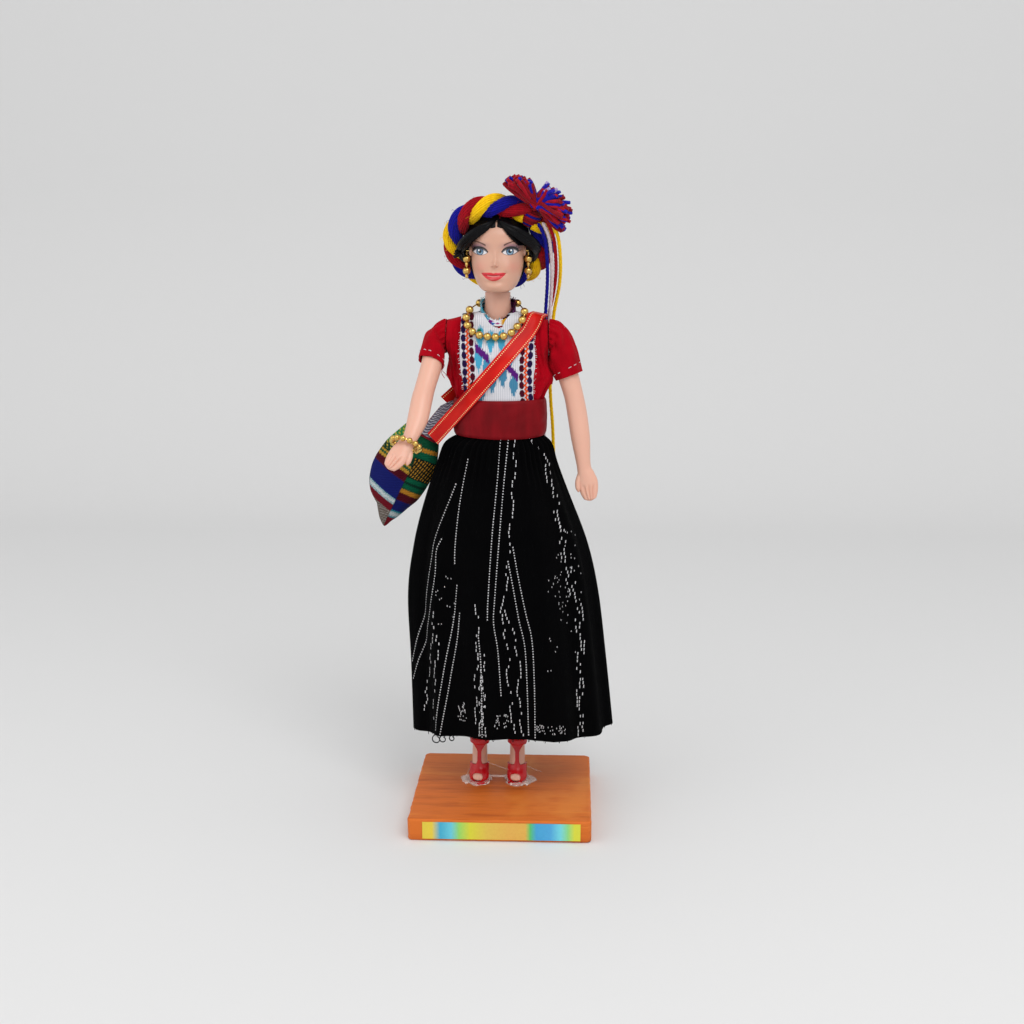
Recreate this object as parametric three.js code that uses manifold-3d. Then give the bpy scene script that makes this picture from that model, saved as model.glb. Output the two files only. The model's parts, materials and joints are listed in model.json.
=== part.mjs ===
// Costume doll on a painted wooden base. Millimetres, +Z up, the doll faces -Y.
// The origin is the centre of the base's underside. "Right" and "left" are the doll's own sides.
import * as THREE from 'three';
import { mergeVertices } from 'three/addons/utils/BufferGeometryUtils.js';
import Module from 'manifold-3d';

const wasm = await Module();
wasm.setup();

// Clearances
const GAP = 0.3;
const TURNING_GAP = 0.5;

// Facets round each kind of surface
const LIMB_SIDES = 10;
const LEG_SIDES = 8;
const TRUNK_SIDES = 12;
const HEAD_SIDES = 14;
const LAYER_SIDES = 18;
const SLEEVE_SIDES = 16;
const SKIRT_SIDES = 44;
const BEAD_SIDES = 7;
const SKEIN_STEPS = 38;
const TAIL_STEPS = 25;

// Base
const BASE_SIDE = 90;
const BASE_THICKNESS = 11;
const BASE_CORNER_RADIUS = 2.5;
const BASE_BEVEL = 0.6;
const LABEL_WIDTH = 77;
const LABEL_MARGIN = 0.6;
const LABEL_THICKNESS = 0.25;
const LABEL_SHIFT = 1.1;
const DOLL_X = -3;
const DOLL_Y = 12;

// Legs and shoes, heights above the top of the base
const HIP_HEIGHT = 157;
const KNEE_HEIGHT = 84;
const HIP_HALF_SPACING = 9.8;
const HIP_BALL_RADIUS = 8;
const AXLE_RADIUS = 1.2;
const AXLE_HALF_LENGTH = 14;
const SHOE_WALL = 1.2;
const SOLE_THICKNESS = 1.1;
const SOLE_HALF_LENGTH = 5.8;
const SOLE_HALF_WIDTH = 5.2;
const SOLE_CENTRE_Y = -7;
const HEEL_Y = 5.4;
const HEEL_LEAN = 0.6;
const HEEL_TOP = 10.5;
const HEEL_TOP_RADIUS = 1.8;
const HEEL_TIP_RADIUS = 1.2;
const STRAP_HALF_WIDTH = 1.2;
const ANKLE_STRAP_WIDTH = 2.6;
const ANKLE_STRAP_HEIGHT = 19.6;
const TOE_CAP_BACK_Y = -1.8;
const TOE_CAP_TOP = 9;
const TOE_OPENING_HEIGHT = 3.6;
const TOE_OPENING_BACK_Y = -9.6;
const ARCH_HALF_WIDTH = 3.2;
const ARCH_FRONT_Y = -3.6;
const ARCH_TOP = 11.5;
const SHOE_REACH = 18;
const TOE_OPENING_RADIUS = 2.3;
const GLUE_RADIUS = 9.4;
const GLUE_HEIGHT = 2.3;
const GLUE_CENTRE_X = 1.2;
const GLUE_CENTRE_Y = -4.7;

// Trunk, heights above the hip axle
const TORSO_WALL = 1.5;
const TORSO_SPLIT = 0.15;
const HIP_WEB_HALF_WIDTH = 1.1;
const HIP_WEB_REACH = 4;
const HIP_WEB_TOP = 12;
const HIP_WEB_BACK = 10.8;
const SHOULDER_HEIGHT = 75;
const NECK_RISE = 19.5;
const NECK_TOP = SHOULDER_HEIGHT + NECK_RISE;
const NECK_FOOT = SHOULDER_HEIGHT + 7.4;
const NECK_MIDDLE_SHARE = 0.463;
const NECK_SHANK_RADIUS = 2.2;
const NECK_BALL_RADIUS = 4.2;
const NECK_FLANGE_RADIUS = 4.1;
const NECK_FLANGE_THICKNESS = 1.5;
const NECK_PLATE = 1.7;

// Arms
const SHOULDER_X = 26.5;
const SHOULDER_BALL_RADIUS = 6;
const PEG_RADIUS = 2.5;
const PEG_FLANGE_RADIUS = 3.4;
const PEG_FLANGE_THICKNESS = 1.5;
const PEG_END_X = 11.6;
const ARMHOLE_RADIUS = 7.2;
const ARMHOLE_X = 25;

// Head, heights above the top of the neck
const HEAD_WALL = 1.8;
const HEAD_FLOOR = 4.3;
const HAIR_FRONT_Y = 1.2;
const BEAD_RADIUS = 1.9;
const BEAD_BORE = 0.65;
const WIRE_RADIUS = 0.35;
const CRIMP_RADIUS = 0.85;
const EARRING_X = 15;
const EARRING_Y = -3;
const EARRING_HEIGHT = 20;
const EARRING_PIN_END = 10.8;
const EARRING_FIRST_DROP = 3.9;
const EARRING_SPACING = 5.8;

// Yarn ring round the head, twisted of three skeins
const SCALP_REACH = 16.1;
const HAIR_UNDER_WRAP = 1;
const SKEIN_RADIUS = 2;
const SKEIN_OFFSET = 2.75;
const WRAP_TWISTS = 5;
const WRAP_TILT = 37.4;
const WRAP_CENTRE = new THREE.Vector3(0.5, 3.75, 24);
const KNOT_ANGLE = 45;
const KNOT_RADIUS = 5.4;
const POMPOM_CORE_RADIUS = 3.6;
const TUFT_COUNT = 15;
const TUFT_LENGTH = 14;
const TUFT_ROOT_RADIUS = 1;
const TUFT_TIP_RADIUS = 1.8;
const POMPOM_AXIS = [0.42, -0.3, 0.86];
const POMPOM_SPREAD = 88;
const POMPOM_SIDE_REACH = 3;
const YARN_RADIUS = 0.9;

// Clothes
const BLOUSE_WALL = 1.2;
const PANEL_THICKNESS = 0.6;
const PANEL_HALF_WIDTH = 17.5;
const PANEL_BOTTOM = 38.6;
const COLLAR_RADIUS = 8;
const COLLAR_WALL = 0.8;
const COLLAR_HEIGHT = 6.2;
const COLLAR_FRONT_DROP = 5.8;
const COLLAR_FRONT_TOP_DROP = 9.6;
const COLLAR_FRONT_REACH = 1.6;
const COLLAR_LEAN = 0.3;
const SLEEVE_WALL = 0.8;
const SASH_WALL = 1;
const SASH_BOTTOM = 24.4;
const SASH_TOP = 42.6;
const SASH_BULGE = 0.2;
const WAIST_X = 1;
const SKIRT_WALL = 1.1;
const SKIRT_TOP = 36.5;
const HEM_HEIGHT = 31;
const FOLD_COUNT = 11;
const FOLD_DEPTH = 3.4;
const FOLD_WANDER = 0.9;
const FOLD_FULL_SHARE = 0.555;
const HEM_WAVE = 1.2;
const RIBBON_WIDTH = 7.5;
const RIBBON_THICKNESS = 0.5;
const RIBBON_LIFT = 0.35;
const NECKLACE_BEADS = 17;
const NECKLACE_BEAD_RADIUS = 1.95;
const COLLAR_NECKLACE_DROP = 2.2;
const THREAD_RADIUS = 0.5;
const BRACELET_BEADS = 10;
const BRACELET_RADIUS = 6.9;
const BRACELET_CENTRE = [-41.8, -38.6, -50.6];
const BRACELET_NORMAL = [-0.28, -0.5, -0.82];

// Bag
const BAG_THICKNESS = 20;
const BAG_DROP = 40.8;
const BAG_EDGE_POWER = 1.75;
const BAG_Y = 8;
const FOLD_PIECE_THICKNESS = 2.4;
const FOLD_PIECE_WIDTH = 9;
const FOLD_PIECE_END_WIDTH = 6.6;
const FOLD_PIECE_SLANT = 0.2;

const PAINTED_WOOD = new THREE.MeshStandardMaterial({ color: 0xc8652a, roughness: 0.6, metalness: 0 });
const PAPER = new THREE.MeshStandardMaterial({ color: 0xd9c23a, roughness: 0.7, metalness: 0 });
const GLUE = new THREE.MeshStandardMaterial({ color: 0xe8e0d0, roughness: 0.15, metalness: 0 });
const SKIN_VINYL = new THREE.MeshStandardMaterial({ color: 0xe3b49d, roughness: 0.45, metalness: 0 });
const RED_VINYL = new THREE.MeshStandardMaterial({ color: 0xb80f14, roughness: 0.2, metalness: 0 });
const BLACK_HAIR = new THREE.MeshStandardMaterial({ color: 0x0a0a0c, roughness: 0.3, metalness: 0 });
const STEEL = new THREE.MeshStandardMaterial({ color: 0xb8b8b8, roughness: 0.35, metalness: 1 });
const RED_YARN = new THREE.MeshStandardMaterial({ color: 0xa3040f, roughness: 0.9, metalness: 0 });
const YELLOW_YARN = new THREE.MeshStandardMaterial({ color: 0xf2c817, roughness: 0.9, metalness: 0 });
const BLUE_YARN = new THREE.MeshStandardMaterial({ color: 0x15158a, roughness: 0.9, metalness: 0 });
const WHITE_YARN = new THREE.MeshStandardMaterial({ color: 0xe8dede, roughness: 0.9, metalness: 0 });
const GILT = new THREE.MeshStandardMaterial({ color: 0xd8a428, roughness: 0.2, metalness: 1 });
const RED_COTTON = new THREE.MeshStandardMaterial({ color: 0xb0051a, roughness: 0.9, metalness: 0 });
const BROCADE = new THREE.MeshStandardMaterial({ color: 0xe6e6ea, roughness: 0.85, metalness: 0 });
const CRIMSON_SATIN = new THREE.MeshStandardMaterial({ color: 0x8c0c1c, roughness: 0.5, metalness: 0 });
const BLACK_COTTON = new THREE.MeshStandardMaterial({ color: 0x0c0c0e, roughness: 0.95, metalness: 0 });
const RED_SATIN = new THREE.MeshStandardMaterial({ color: 0xd82020, roughness: 0.35, metalness: 0 });
const WOVEN = new THREE.MeshStandardMaterial({ color: 0x2a3a7a, roughness: 0.9, metalness: 0 });

// A closed surface through rings of equal count: capped at both ends, or joined last to first.
function loft(rings, joined = false) {
  const sides = rings[0].length;
  const positions = rings.flat(2);
  const indices = [];
  const spans = joined ? rings.length : rings.length - 1;
  for (let r = 0; r < spans; r++) {
    const low = r * sides;
    const high = ((r + 1) % rings.length) * sides;
    for (let i = 0; i < sides; i++) {
      const next = (i + 1) % sides;
      indices.push(low + i, low + next, high + next, low + i, high + next, high + i);
    }
  }
  if (!joined) {
    for (const [ring, first] of [[rings[0], 0], [rings.at(-1), (rings.length - 1) * sides]]) {
      const centre = positions.length / 3;
      positions.push(...[0, 1, 2].map((axis) => ring.reduce((sum, p) => sum + p[axis], 0) / sides));
      for (let i = 0; i < sides; i++) {
        const next = (i + 1) % sides;
        if (first === 0) indices.push(centre, first + next, first + i);
        else indices.push(centre, first + i, first + next);
      }
    }
  }
  const geometry = new THREE.BufferGeometry();
  geometry.setAttribute('position', new THREE.Float32BufferAttribute(positions, 3));
  geometry.setIndex(indices);
  return outward(geometry);
}

// Turns every face round when the enclosed volume comes out negative.
function outward(geometry) {
  const p = geometry.attributes.position;
  const index = geometry.index.array;
  const [a, b, c] = [new THREE.Vector3(), new THREE.Vector3(), new THREE.Vector3()];
  let volume = 0;
  for (let i = 0; i < index.length; i += 3) {
    a.fromBufferAttribute(p, index[i]);
    b.fromBufferAttribute(p, index[i + 1]);
    c.fromBufferAttribute(p, index[i + 2]);
    volume += a.dot(b.cross(c));
  }
  if (volume < 0) {
    for (let i = 0; i < index.length; i += 3) {
      [index[i + 1], index[i + 2]] = [index[i + 2], index[i + 1]];
    }
  }
  return geometry;
}

function solid(geometry) {
  const bare = geometry.clone();
  bare.deleteAttribute('normal');
  bare.deleteAttribute('uv');
  const merged = mergeVertices(bare, 1e-5);
  return new wasm.Manifold(new wasm.Mesh({
    numProp: 3,
    vertProperties: new Float32Array(merged.attributes.position.array),
    triVerts: new Uint32Array(merged.index.array),
  }));
}

function join(solids) {
  return solids.reduce((whole, next) => whole.add(next));
}

function cut(body, tools) {
  return tools.reduce((whole, tool) => whole.subtract(tool), body);
}

function box(x0, x1, y0, y1, z0, z1) {
  const geometry = new THREE.BoxGeometry(x1 - x0, y1 - y0, z1 - z0);
  geometry.translate((x0 + x1) / 2, (y0 + y1) / 2, (z0 + z1) / 2);
  return solid(geometry);
}

// A round bar from one point to another, tapered when a second radius is given.
function rod(from, to, radius, endRadius = radius, sides = 12) {
  const start = new THREE.Vector3(...from);
  const end = new THREE.Vector3(...to);
  const along = end.clone().sub(start);
  const geometry = new THREE.CylinderGeometry(endRadius, radius, along.length(), sides);
  geometry.applyQuaternion(
    new THREE.Quaternion().setFromUnitVectors(new THREE.Vector3(0, 1, 0), along.clone().normalize()),
  );
  geometry.translate(...start.add(end).multiplyScalar(0.5).toArray());
  return solid(geometry);
}

function ellipsoid(centre, radii, around = 12, rows = 8) {
  const geometry = new THREE.SphereGeometry(1, around, rows);
  geometry.scale(...radii);
  geometry.translate(...centre);
  return solid(geometry);
}

function ball(centre, radius, around = 12, rows = 8) {
  return ellipsoid(centre, [radius, radius, radius], around, rows);
}

// One level ring: a superellipse whose corners fill out as the power goes above 2.
function levelRing(z, a, b, xc, yc, sides, power = 2) {
  return Array.from({ length: sides }, (_, i) => {
    const angle = (2 * Math.PI * i) / sides;
    const [c, s] = [Math.cos(angle), Math.sin(angle)];
    return [
      xc + a * Math.sign(c) * Math.abs(c) ** (2 / power),
      yc + b * Math.sign(s) * Math.abs(s) ** (2 / power),
      z,
    ];
  });
}

// Rows are [height, half width, half depth, centre y, centre x].
function rowsToRings(rows, sides, power) {
  return rows.map(([z, a, b, yc = 0, xc = 0]) => levelRing(z, a, b, xc, yc, sides, power));
}

function rowAt(rows, z) {
  if (z <= rows[0][0]) return rows[0];
  for (let i = 1; i < rows.length; i++) {
    if (z <= rows[i][0]) {
      const share = (z - rows[i - 1][0]) / (rows[i][0] - rows[i - 1][0]);
      return rows[i].map((value, k) => rows[i - 1][k] + share * (value - rows[i - 1][k]));
    }
  }
  return rows.at(-1);
}

// Level rows made fatter all round by a margin, and higher by it where they close over the top.
function grown(rows, margin, closingHeight = Infinity) {
  return rows.map(([z, a, b, yc = 0, xc = 0]) => (
    [z + (z > closingHeight ? margin : 0), a + margin, b + margin, yc, xc]
  ));
}

// A tube of changing section along stations { at, wide, deep }, wide measured towards +X.
function limb(stations, sides) {
  const points = stations.map((station) => new THREE.Vector3(...station.at));
  const rings = stations.map((station, i) => {
    const ahead = points[Math.min(i + 1, points.length - 1)];
    const behind = points[Math.max(i - 1, 0)];
    const along = ahead.clone().sub(behind).normalize();
    const reference = new THREE.Vector3(...(station.side ?? [1, 0, 0]));
    const side = reference.addScaledVector(along, -reference.dot(along)).normalize();
    const front = along.clone().cross(side);
    return Array.from({ length: sides }, (_, k) => {
      const angle = (2 * Math.PI * k) / sides;
      return points[i].clone()
        .addScaledVector(side, station.wide * Math.cos(angle))
        .addScaledVector(front, station.deep * Math.sin(angle))
        .toArray();
    });
  });
  return loft(rings);
}

// An even tube along a smooth curve through the points.
function cordTube(points, radius, steps, sides) {
  const curve = new THREE.CatmullRomCurve3(points.map((p) => new THREE.Vector3(...p)));
  const section = new THREE.Shape();
  for (let i = 0; i < sides; i++) {
    const angle = (2 * Math.PI * i) / sides;
    const [x, y] = [radius * Math.cos(angle), radius * Math.sin(angle)];
    if (i === 0) section.moveTo(x, y);
    else section.lineTo(x, y);
  }
  section.closePath();
  const geometry = new THREE.ExtrudeGeometry(section, { steps, extrudePath: curve, bevelEnabled: false });
  const bare = geometry.clone();
  bare.deleteAttribute('normal');
  bare.deleteAttribute('uv');
  return outward(mergeVertices(bare, 1e-4));
}

function piece(name, shape, material) {
  let geometry = shape;
  if (!shape.isBufferGeometry) {
    const mesh = shape.getMesh();
    geometry = new THREE.BufferGeometry();
    geometry.setAttribute('position', new THREE.BufferAttribute(new Float32Array(mesh.vertProperties), 3));
    geometry.setIndex(new THREE.BufferAttribute(new Uint32Array(mesh.triVerts), 1));
  }
  const result = new THREE.Mesh(geometry, material);
  result.name = name;
  return result;
}

// The block has round corners seen from above and a small bevel on its edges.
function baseBlock() {
  const half = BASE_SIDE / 2 - BASE_BEVEL;
  const radius = BASE_CORNER_RADIUS - BASE_BEVEL;
  const outline = new THREE.Shape();
  outline.moveTo(half, -half + radius);
  outline.absarc(half - radius, half - radius, radius, 0, Math.PI / 2);
  outline.absarc(-half + radius, half - radius, radius, Math.PI / 2, Math.PI);
  outline.absarc(-half + radius, -half + radius, radius, Math.PI, 1.5 * Math.PI);
  outline.absarc(half - radius, -half + radius, radius, 1.5 * Math.PI, 2 * Math.PI);
  const geometry = new THREE.ExtrudeGeometry(outline, {
    depth: BASE_THICKNESS - 2 * BASE_BEVEL,
    bevelSize: BASE_BEVEL,
    bevelThickness: BASE_BEVEL,
    bevelSegments: 1,
    curveSegments: 3,
  });
  geometry.translate(0, 0, BASE_BEVEL);
  return piece('base_block', solid(geometry), PAINTED_WOOD);
}

function labelStrip() {
  const front = -BASE_SIDE / 2;
  const strip = box(
    LABEL_SHIFT - LABEL_WIDTH / 2, LABEL_SHIFT + LABEL_WIDTH / 2,
    front - LABEL_THICKNESS, front,
    BASE_BEVEL + LABEL_MARGIN, BASE_THICKNESS - BASE_BEVEL - LABEL_MARGIN,
  );
  return piece('label_strip', strip, PAPER);
}

// Foot on a high heel, [height, half width, half depth, centre y], from the sole up to the ankle.
const FOOT_ROWS = [
  [SOLE_THICKNESS + GAP, 3.2, 3.6, -7.2],
  [2.6, 3.9, 4.2, -7],
  [5, 4, 4, -6],
  [8, 3.9, 4.6, -3.2],
  [12, 3.9, 5.8, -0.3],
  [20, 3.9, 4.3, 0],
];
const ANKLE_ROWS = [...FOOT_ROWS, [27, 3.9, 3.9, 0.3]];
const THIGH_ROWS = [
  [39, 4.4, 4.4, 0.8],
  [KNEE_HEIGHT - 30, 5.6, 5.8, 1.4],
  [KNEE_HEIGHT - 15, 6.3, 6.5, 1.5],
  [KNEE_HEIGHT, 6.2, 6.2, 0.4],
  [KNEE_HEIGHT + 10, 6.6, 6.6, 0],
  [HIP_HEIGHT - 48, 7.6, 7.6, 0],
  [HIP_HEIGHT - 28, 8.4, 8.4, 0],
  [HIP_HEIGHT - 13, 8.6, 8.6, 0],
  [HIP_HEIGHT - 4, HIP_BALL_RADIUS + 0.3, HIP_BALL_RADIUS + 0.3, 0],
];
const HIP_BALL_ROWS = [0, 22, 45, 68, 80].map((degrees) => {
  const angle = THREE.MathUtils.degToRad(degrees);
  const reach = HIP_BALL_RADIUS * Math.cos(angle);
  return [HIP_HEIGHT + HIP_BALL_RADIUS * Math.sin(angle), reach, reach, 0];
});

function leg(name, side) {
  const rows = [...ANKLE_ROWS, ...THIGH_ROWS, ...HIP_BALL_ROWS];
  const boreEnd = AXLE_HALF_LENGTH + GAP - HIP_HALF_SPACING;
  const bore = rod(
    [-side * 2 * HIP_BALL_RADIUS, 0, HIP_HEIGHT],
    [side * boreEnd, 0, HIP_HEIGHT],
    AXLE_RADIUS + GAP,
  );
  const result = piece(name, cut(solid(loft(rowsToRings(rows, LEG_SIDES))), [bore]), SKIN_VINYL);
  result.position.x = side * HIP_HALF_SPACING;
  return result;
}

// The foot with an even margin all round, from below the sole to above the ankle strap.
function footEnvelope(margin) {
  const rows = grown(ANKLE_ROWS, margin);
  rows[0] = [rows[0][0] - margin, ...rows[0].slice(1)];
  return solid(loft(rowsToRings(rows, LEG_SIDES)));
}

function soleFootprint(margin, height) {
  const [a, b] = [SOLE_HALF_WIDTH + margin, SOLE_HALF_LENGTH + margin];
  const rows = [[-margin, a, b, SOLE_CENTRE_Y], [height, a, b, SOLE_CENTRE_Y]];
  return solid(loft(rowsToRings(rows, LEG_SIDES)));
}

function heelColumn(margin) {
  const foot = [0, HEEL_Y + HEEL_LEAN, -margin];
  return rod(foot, [0, HEEL_Y, HEEL_TOP], HEEL_TIP_RADIUS + margin, HEEL_TOP_RADIUS + margin, 8);
}

// Sandal: open-toed cap, T-strap and ankle strap cut from one shell, with sole, arch and heel.
function shoe(name, side) {
  const shell = footEnvelope(GAP + SHOE_WALL).subtract(footEnvelope(GAP));
  const reach = SHOE_REACH;
  const strapTop = ANKLE_STRAP_HEIGHT + ANKLE_STRAP_WIDTH;
  const toeHole = [0, TOE_OPENING_BACK_Y, TOE_OPENING_HEIGHT];
  const toeCap = cut(shell.intersect(box(-reach, reach, -reach, TOE_CAP_BACK_Y, 0, TOE_CAP_TOP)), [
    rod([0, -reach, TOE_OPENING_HEIGHT], toeHole, TOE_OPENING_RADIUS, TOE_OPENING_RADIUS, 8),
  ]);
  const tStrap = shell.intersect(
    box(-STRAP_HALF_WIDTH, STRAP_HALF_WIDTH, -reach, 0, TOE_CAP_TOP - 2, strapTop - 1),
  );
  const ankleStrap = shell.intersect(box(-reach, reach, -reach, reach, ANKLE_STRAP_HEIGHT, strapTop));
  const arch = shell.intersect(box(-ARCH_HALF_WIDTH, ARCH_HALF_WIDTH, ARCH_FRONT_Y, reach, 0, ARCH_TOP));
  const parts = join([toeCap, tStrap, ankleStrap, arch, soleFootprint(0, SOLE_THICKNESS), heelColumn(0)]);
  const body = cut(parts.intersect(box(-reach, reach, -reach, reach, 0, 2 * reach)), [footEnvelope(GAP)]);
  const result = piece(name, body, RED_VINYL);
  result.position.x = side * HIP_HALF_SPACING;
  return result;
}

// Pool of hot glue that rises against the shoe's sole.
function gluePad(name, side) {
  const centre = [side * GLUE_CENTRE_X, GLUE_CENTRE_Y, 0];
  const pool = ellipsoid(centre, [GLUE_RADIUS, GLUE_RADIUS, GLUE_HEIGHT], 12, 7);
  const reach = 2 * GLUE_RADIUS;
  const above = pool.intersect(box(-reach, reach, -reach, reach, 0, reach));
  const shoeSpace = join([
    footEnvelope(2 * GAP + SHOE_WALL),
    soleFootprint(GAP, GLUE_HEIGHT + 1),
    heelColumn(GAP),
  ]);
  const result = piece(name, above.subtract(shoeSpace), GLUE);
  result.position.x = side * HIP_HALF_SPACING;
  return result;
}

function hipAxle() {
  const axle = rod([-AXLE_HALF_LENGTH, 0, HIP_HEIGHT], [AXLE_HALF_LENGTH, 0, HIP_HEIGHT], AXLE_RADIUS);
  return piece('hip_axle', axle, STEEL);
}

// Trunk, [height above the hip axle, half width, half depth, centre y].
const TORSO_ROWS = [
  [1.5, 16.2, 11.4, 0.5],
  [4, 17, 12, 0.5],
  [12, 16.8, 11.5, 0.5],
  [24, 13.5, 9.5, 0.2],
  [35, 11.5, 8, 0],
  [45, 13.5, 9.5, -0.5],
  [56, 15.5, 11.5, -1],
  [63, 16.5, 11.5, -1],
  [SHOULDER_HEIGHT - 4, 18.5, 8.5, 0],
  [SHOULDER_HEIGHT + 2, 18, 7.2, 0.2],
  [SHOULDER_HEIGHT + 5, 12, 6.4, 0.1],
  [NECK_FOOT, 8, 6.2, 0],
  [NECK_FOOT + NECK_MIDDLE_SHARE * (NECK_TOP - NECK_FOOT), 6.4, 6.2, 0],
  [NECK_TOP, 6.2, 5.9, 0],
];

function torsoShell() {
  const neckShare = (NECK_TOP - NECK_PLATE - NECK_FOOT) / (NECK_TOP - NECK_FOOT);
  const inner = TORSO_ROWS.map(([z, a, b, yc]) => {
    const height = z > NECK_FOOT ? NECK_FOOT + (z - NECK_FOOT) * neckShare : z;
    return [height, a - TORSO_WALL, b - TORSO_WALL, yc];
  });
  inner[0] = [inner[0][0] - 1, ...inner[0].slice(1)];
  const pocket = HIP_BALL_RADIUS + TURNING_GAP;
  const pegHole = PEG_RADIUS + GAP;
  return cut(solid(loft(rowsToRings(TORSO_ROWS, TRUNK_SIDES))), [
    solid(loft(rowsToRings(inner, TRUNK_SIDES))),
    ball([HIP_HALF_SPACING, 0, 0], pocket, 10, 6),
    ball([-HIP_HALF_SPACING, 0, 0], pocket, 10, 6),
    rod([-SHOULDER_X, 0, SHOULDER_HEIGHT], [SHOULDER_X, 0, SHOULDER_HEIGHT], pegHole),
    rod([0, 0, NECK_TOP - 2 * NECK_PLATE], [0, 0, NECK_TOP + NECK_PLATE], NECK_SHANK_RADIUS + GAP),
  ]);
}

function torsoHalves() {
  const shell = torsoShell();
  const web = HIP_WEB_HALF_WIDTH;
  const reach = 2 * NECK_TOP;
  const hipWeb = join([
    box(-web, web, -HIP_WEB_REACH, 2 * HIP_WEB_REACH, -HIP_WEB_REACH, HIP_WEB_TOP),
    box(-web, web, 0, HIP_WEB_BACK, HIP_WEB_REACH - 1, HIP_WEB_TOP),
  ]).subtract(rod([-HIP_WEB_REACH, 0, 0], [HIP_WEB_REACH, 0, 0], AXLE_RADIUS + GAP));
  const front = shell.intersect(box(-reach, reach, -reach, -TORSO_SPLIT, -reach, reach));
  const back = shell.intersect(box(-reach, reach, TORSO_SPLIT, reach, -reach, reach)).add(hipWeb);
  return [piece('torso_front', front, SKIN_VINYL), piece('torso_back', back, SKIN_VINYL)];
}

const NECK_BALL_HEIGHT = NECK_TOP + HEAD_FLOOR + TURNING_GAP + NECK_BALL_RADIUS;

function neckPost() {
  const flangeTop = NECK_TOP - NECK_PLATE - GAP;
  const post = join([
    rod([0, 0, flangeTop - NECK_FLANGE_THICKNESS], [0, 0, flangeTop], NECK_FLANGE_RADIUS),
    rod([0, 0, flangeTop - NECK_FLANGE_THICKNESS / 2], [0, 0, NECK_BALL_HEIGHT], NECK_SHANK_RADIUS),
    ball([0, 0, NECK_BALL_HEIGHT], NECK_BALL_RADIUS, 8, 6),
  ]);
  return piece('neck_post', post, SKIN_VINYL);
}

// Head, [height above the neck, half width, front y, back y].
const HEAD_ROWS = [
  [GAP, 2.5, -12.5, -7],
  [1.2, 5.2, -13.4, -1],
  [2.4, 7, -13.9, 5.5],
  [4.5, 8.8, -14.3, 9.2],
  [8.5, 10.6, -14.6, 12],
  [13.5, 12.2, -14.4, 14.5],
  [18.5, 12.9, -13.9, 16.2],
  [23.5, 13.2, -14.3, 17],
  [28.5, 13, -14, 16.8],
  [33.5, 11.8, -11, 15],
  [36.5, 9.5, -7, 12.5],
  [38.5, 5, -1.5, 8.5],
];

function headRings(rows, margin, sides) {
  return rows.map(([z, w, front, back]) => (
    levelRing(z, w + margin, (back - front) / 2 + margin, 0, (front + back) / 2, sides)
  ));
}

function headSolid(margin, sides) {
  const rows = HEAD_ROWS.map((row) => [...row]);
  rows[0][0] -= margin;
  rows.at(-1)[0] += margin;
  return solid(loft(headRings(rows, margin, sides)));
}

function earAt(side, margin) {
  return ellipsoid([side * 12.6, -2.4, 19.9], [1.3 + margin, 1.7 + margin, 2.6 + margin], 8, 6);
}

function head() {
  const cavityRows = [[HEAD_FLOOR, 6.6, -8, 7.4], ...HEAD_ROWS.filter(([z]) => z > 8 && z < 34)];
  const cavity = solid(loft(headRings(cavityRows, -HEAD_WALL, TRUNK_SIDES)));
  const nose = ellipsoid([0, -14.5, 14.4], [1.5, 1.7, 2.5], 8, 6);
  const outer = join([headSolid(0, HEAD_SIDES), nose, earAt(-1, 0), earAt(1, 0)]);
  const body = cut(outer, [
    cavity,
    rod([0, 0, -HEAD_FLOOR], [0, 0, 2 * HEAD_FLOOR], NECK_SHANK_RADIUS + TURNING_GAP),
    ...[-1, 1].map((side) => rod(
      [side * (EARRING_PIN_END - 1), EARRING_Y, EARRING_HEIGHT],
      [side * (EARRING_X + 1), EARRING_Y, EARRING_HEIGHT],
      WIRE_RADIUS + GAP, WIRE_RADIUS + GAP, 8,
    )),
  ]);
  return piece('head', body, SKIN_VINYL);
}

// Hair, [height, half width, front y, back y], and its opening over the face seen from the front.
const HAIR_ROWS = [
  [5, 11, -8, 13],
  [8.5, 13, -13, 15.6],
  [13.5, 14.6, -15.6, 18],
  [18.5, 15.2, -15.6, 19.6],
  [23.5, 15.4, -16, 20.2],
  [28.5, 15.3, -15.8, 20],
  [33.5, 14, -13.2, 18],
  [37, 11.5, -9.6, 15.2],
  [39.6, 7.5, -5, 11.5],
  [41, 3, -0.5, 6.5],
];
const FACE_OPENING = [
  [-17, -5], [-17, 19.5], [-13.3, 21.9], [-10.8, 25.3], [-5.6, 29.3], [0, 33.5],
  [1.4, 32.1], [4.4, 27.7], [7.8, 24], [10.8, 21.6], [17, 21.4], [17, -5],
];

function hair() {
  const opening = new THREE.Shape(FACE_OPENING.map(([x, z]) => new THREE.Vector2(x, z)));
  const prism = new THREE.ExtrudeGeometry(opening, { depth: 40, bevelEnabled: false });
  prism.rotateX(Math.PI / 2);
  prism.translate(0, HAIR_FRONT_Y, 0);
  const body = cut(solid(loft(headRings(HAIR_ROWS, 0, HEAD_SIDES))), [
    headSolid(GAP, HEAD_SIDES),
    solid(prism),
    wrapEnvelope(),
    ball(KNOT_CENTRE.toArray(), KNOT_RADIUS + GAP),
    earAt(-1, GAP),
    earAt(1, GAP),
  ]);
  return piece('hair', body, BLACK_HAIR);
}

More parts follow.
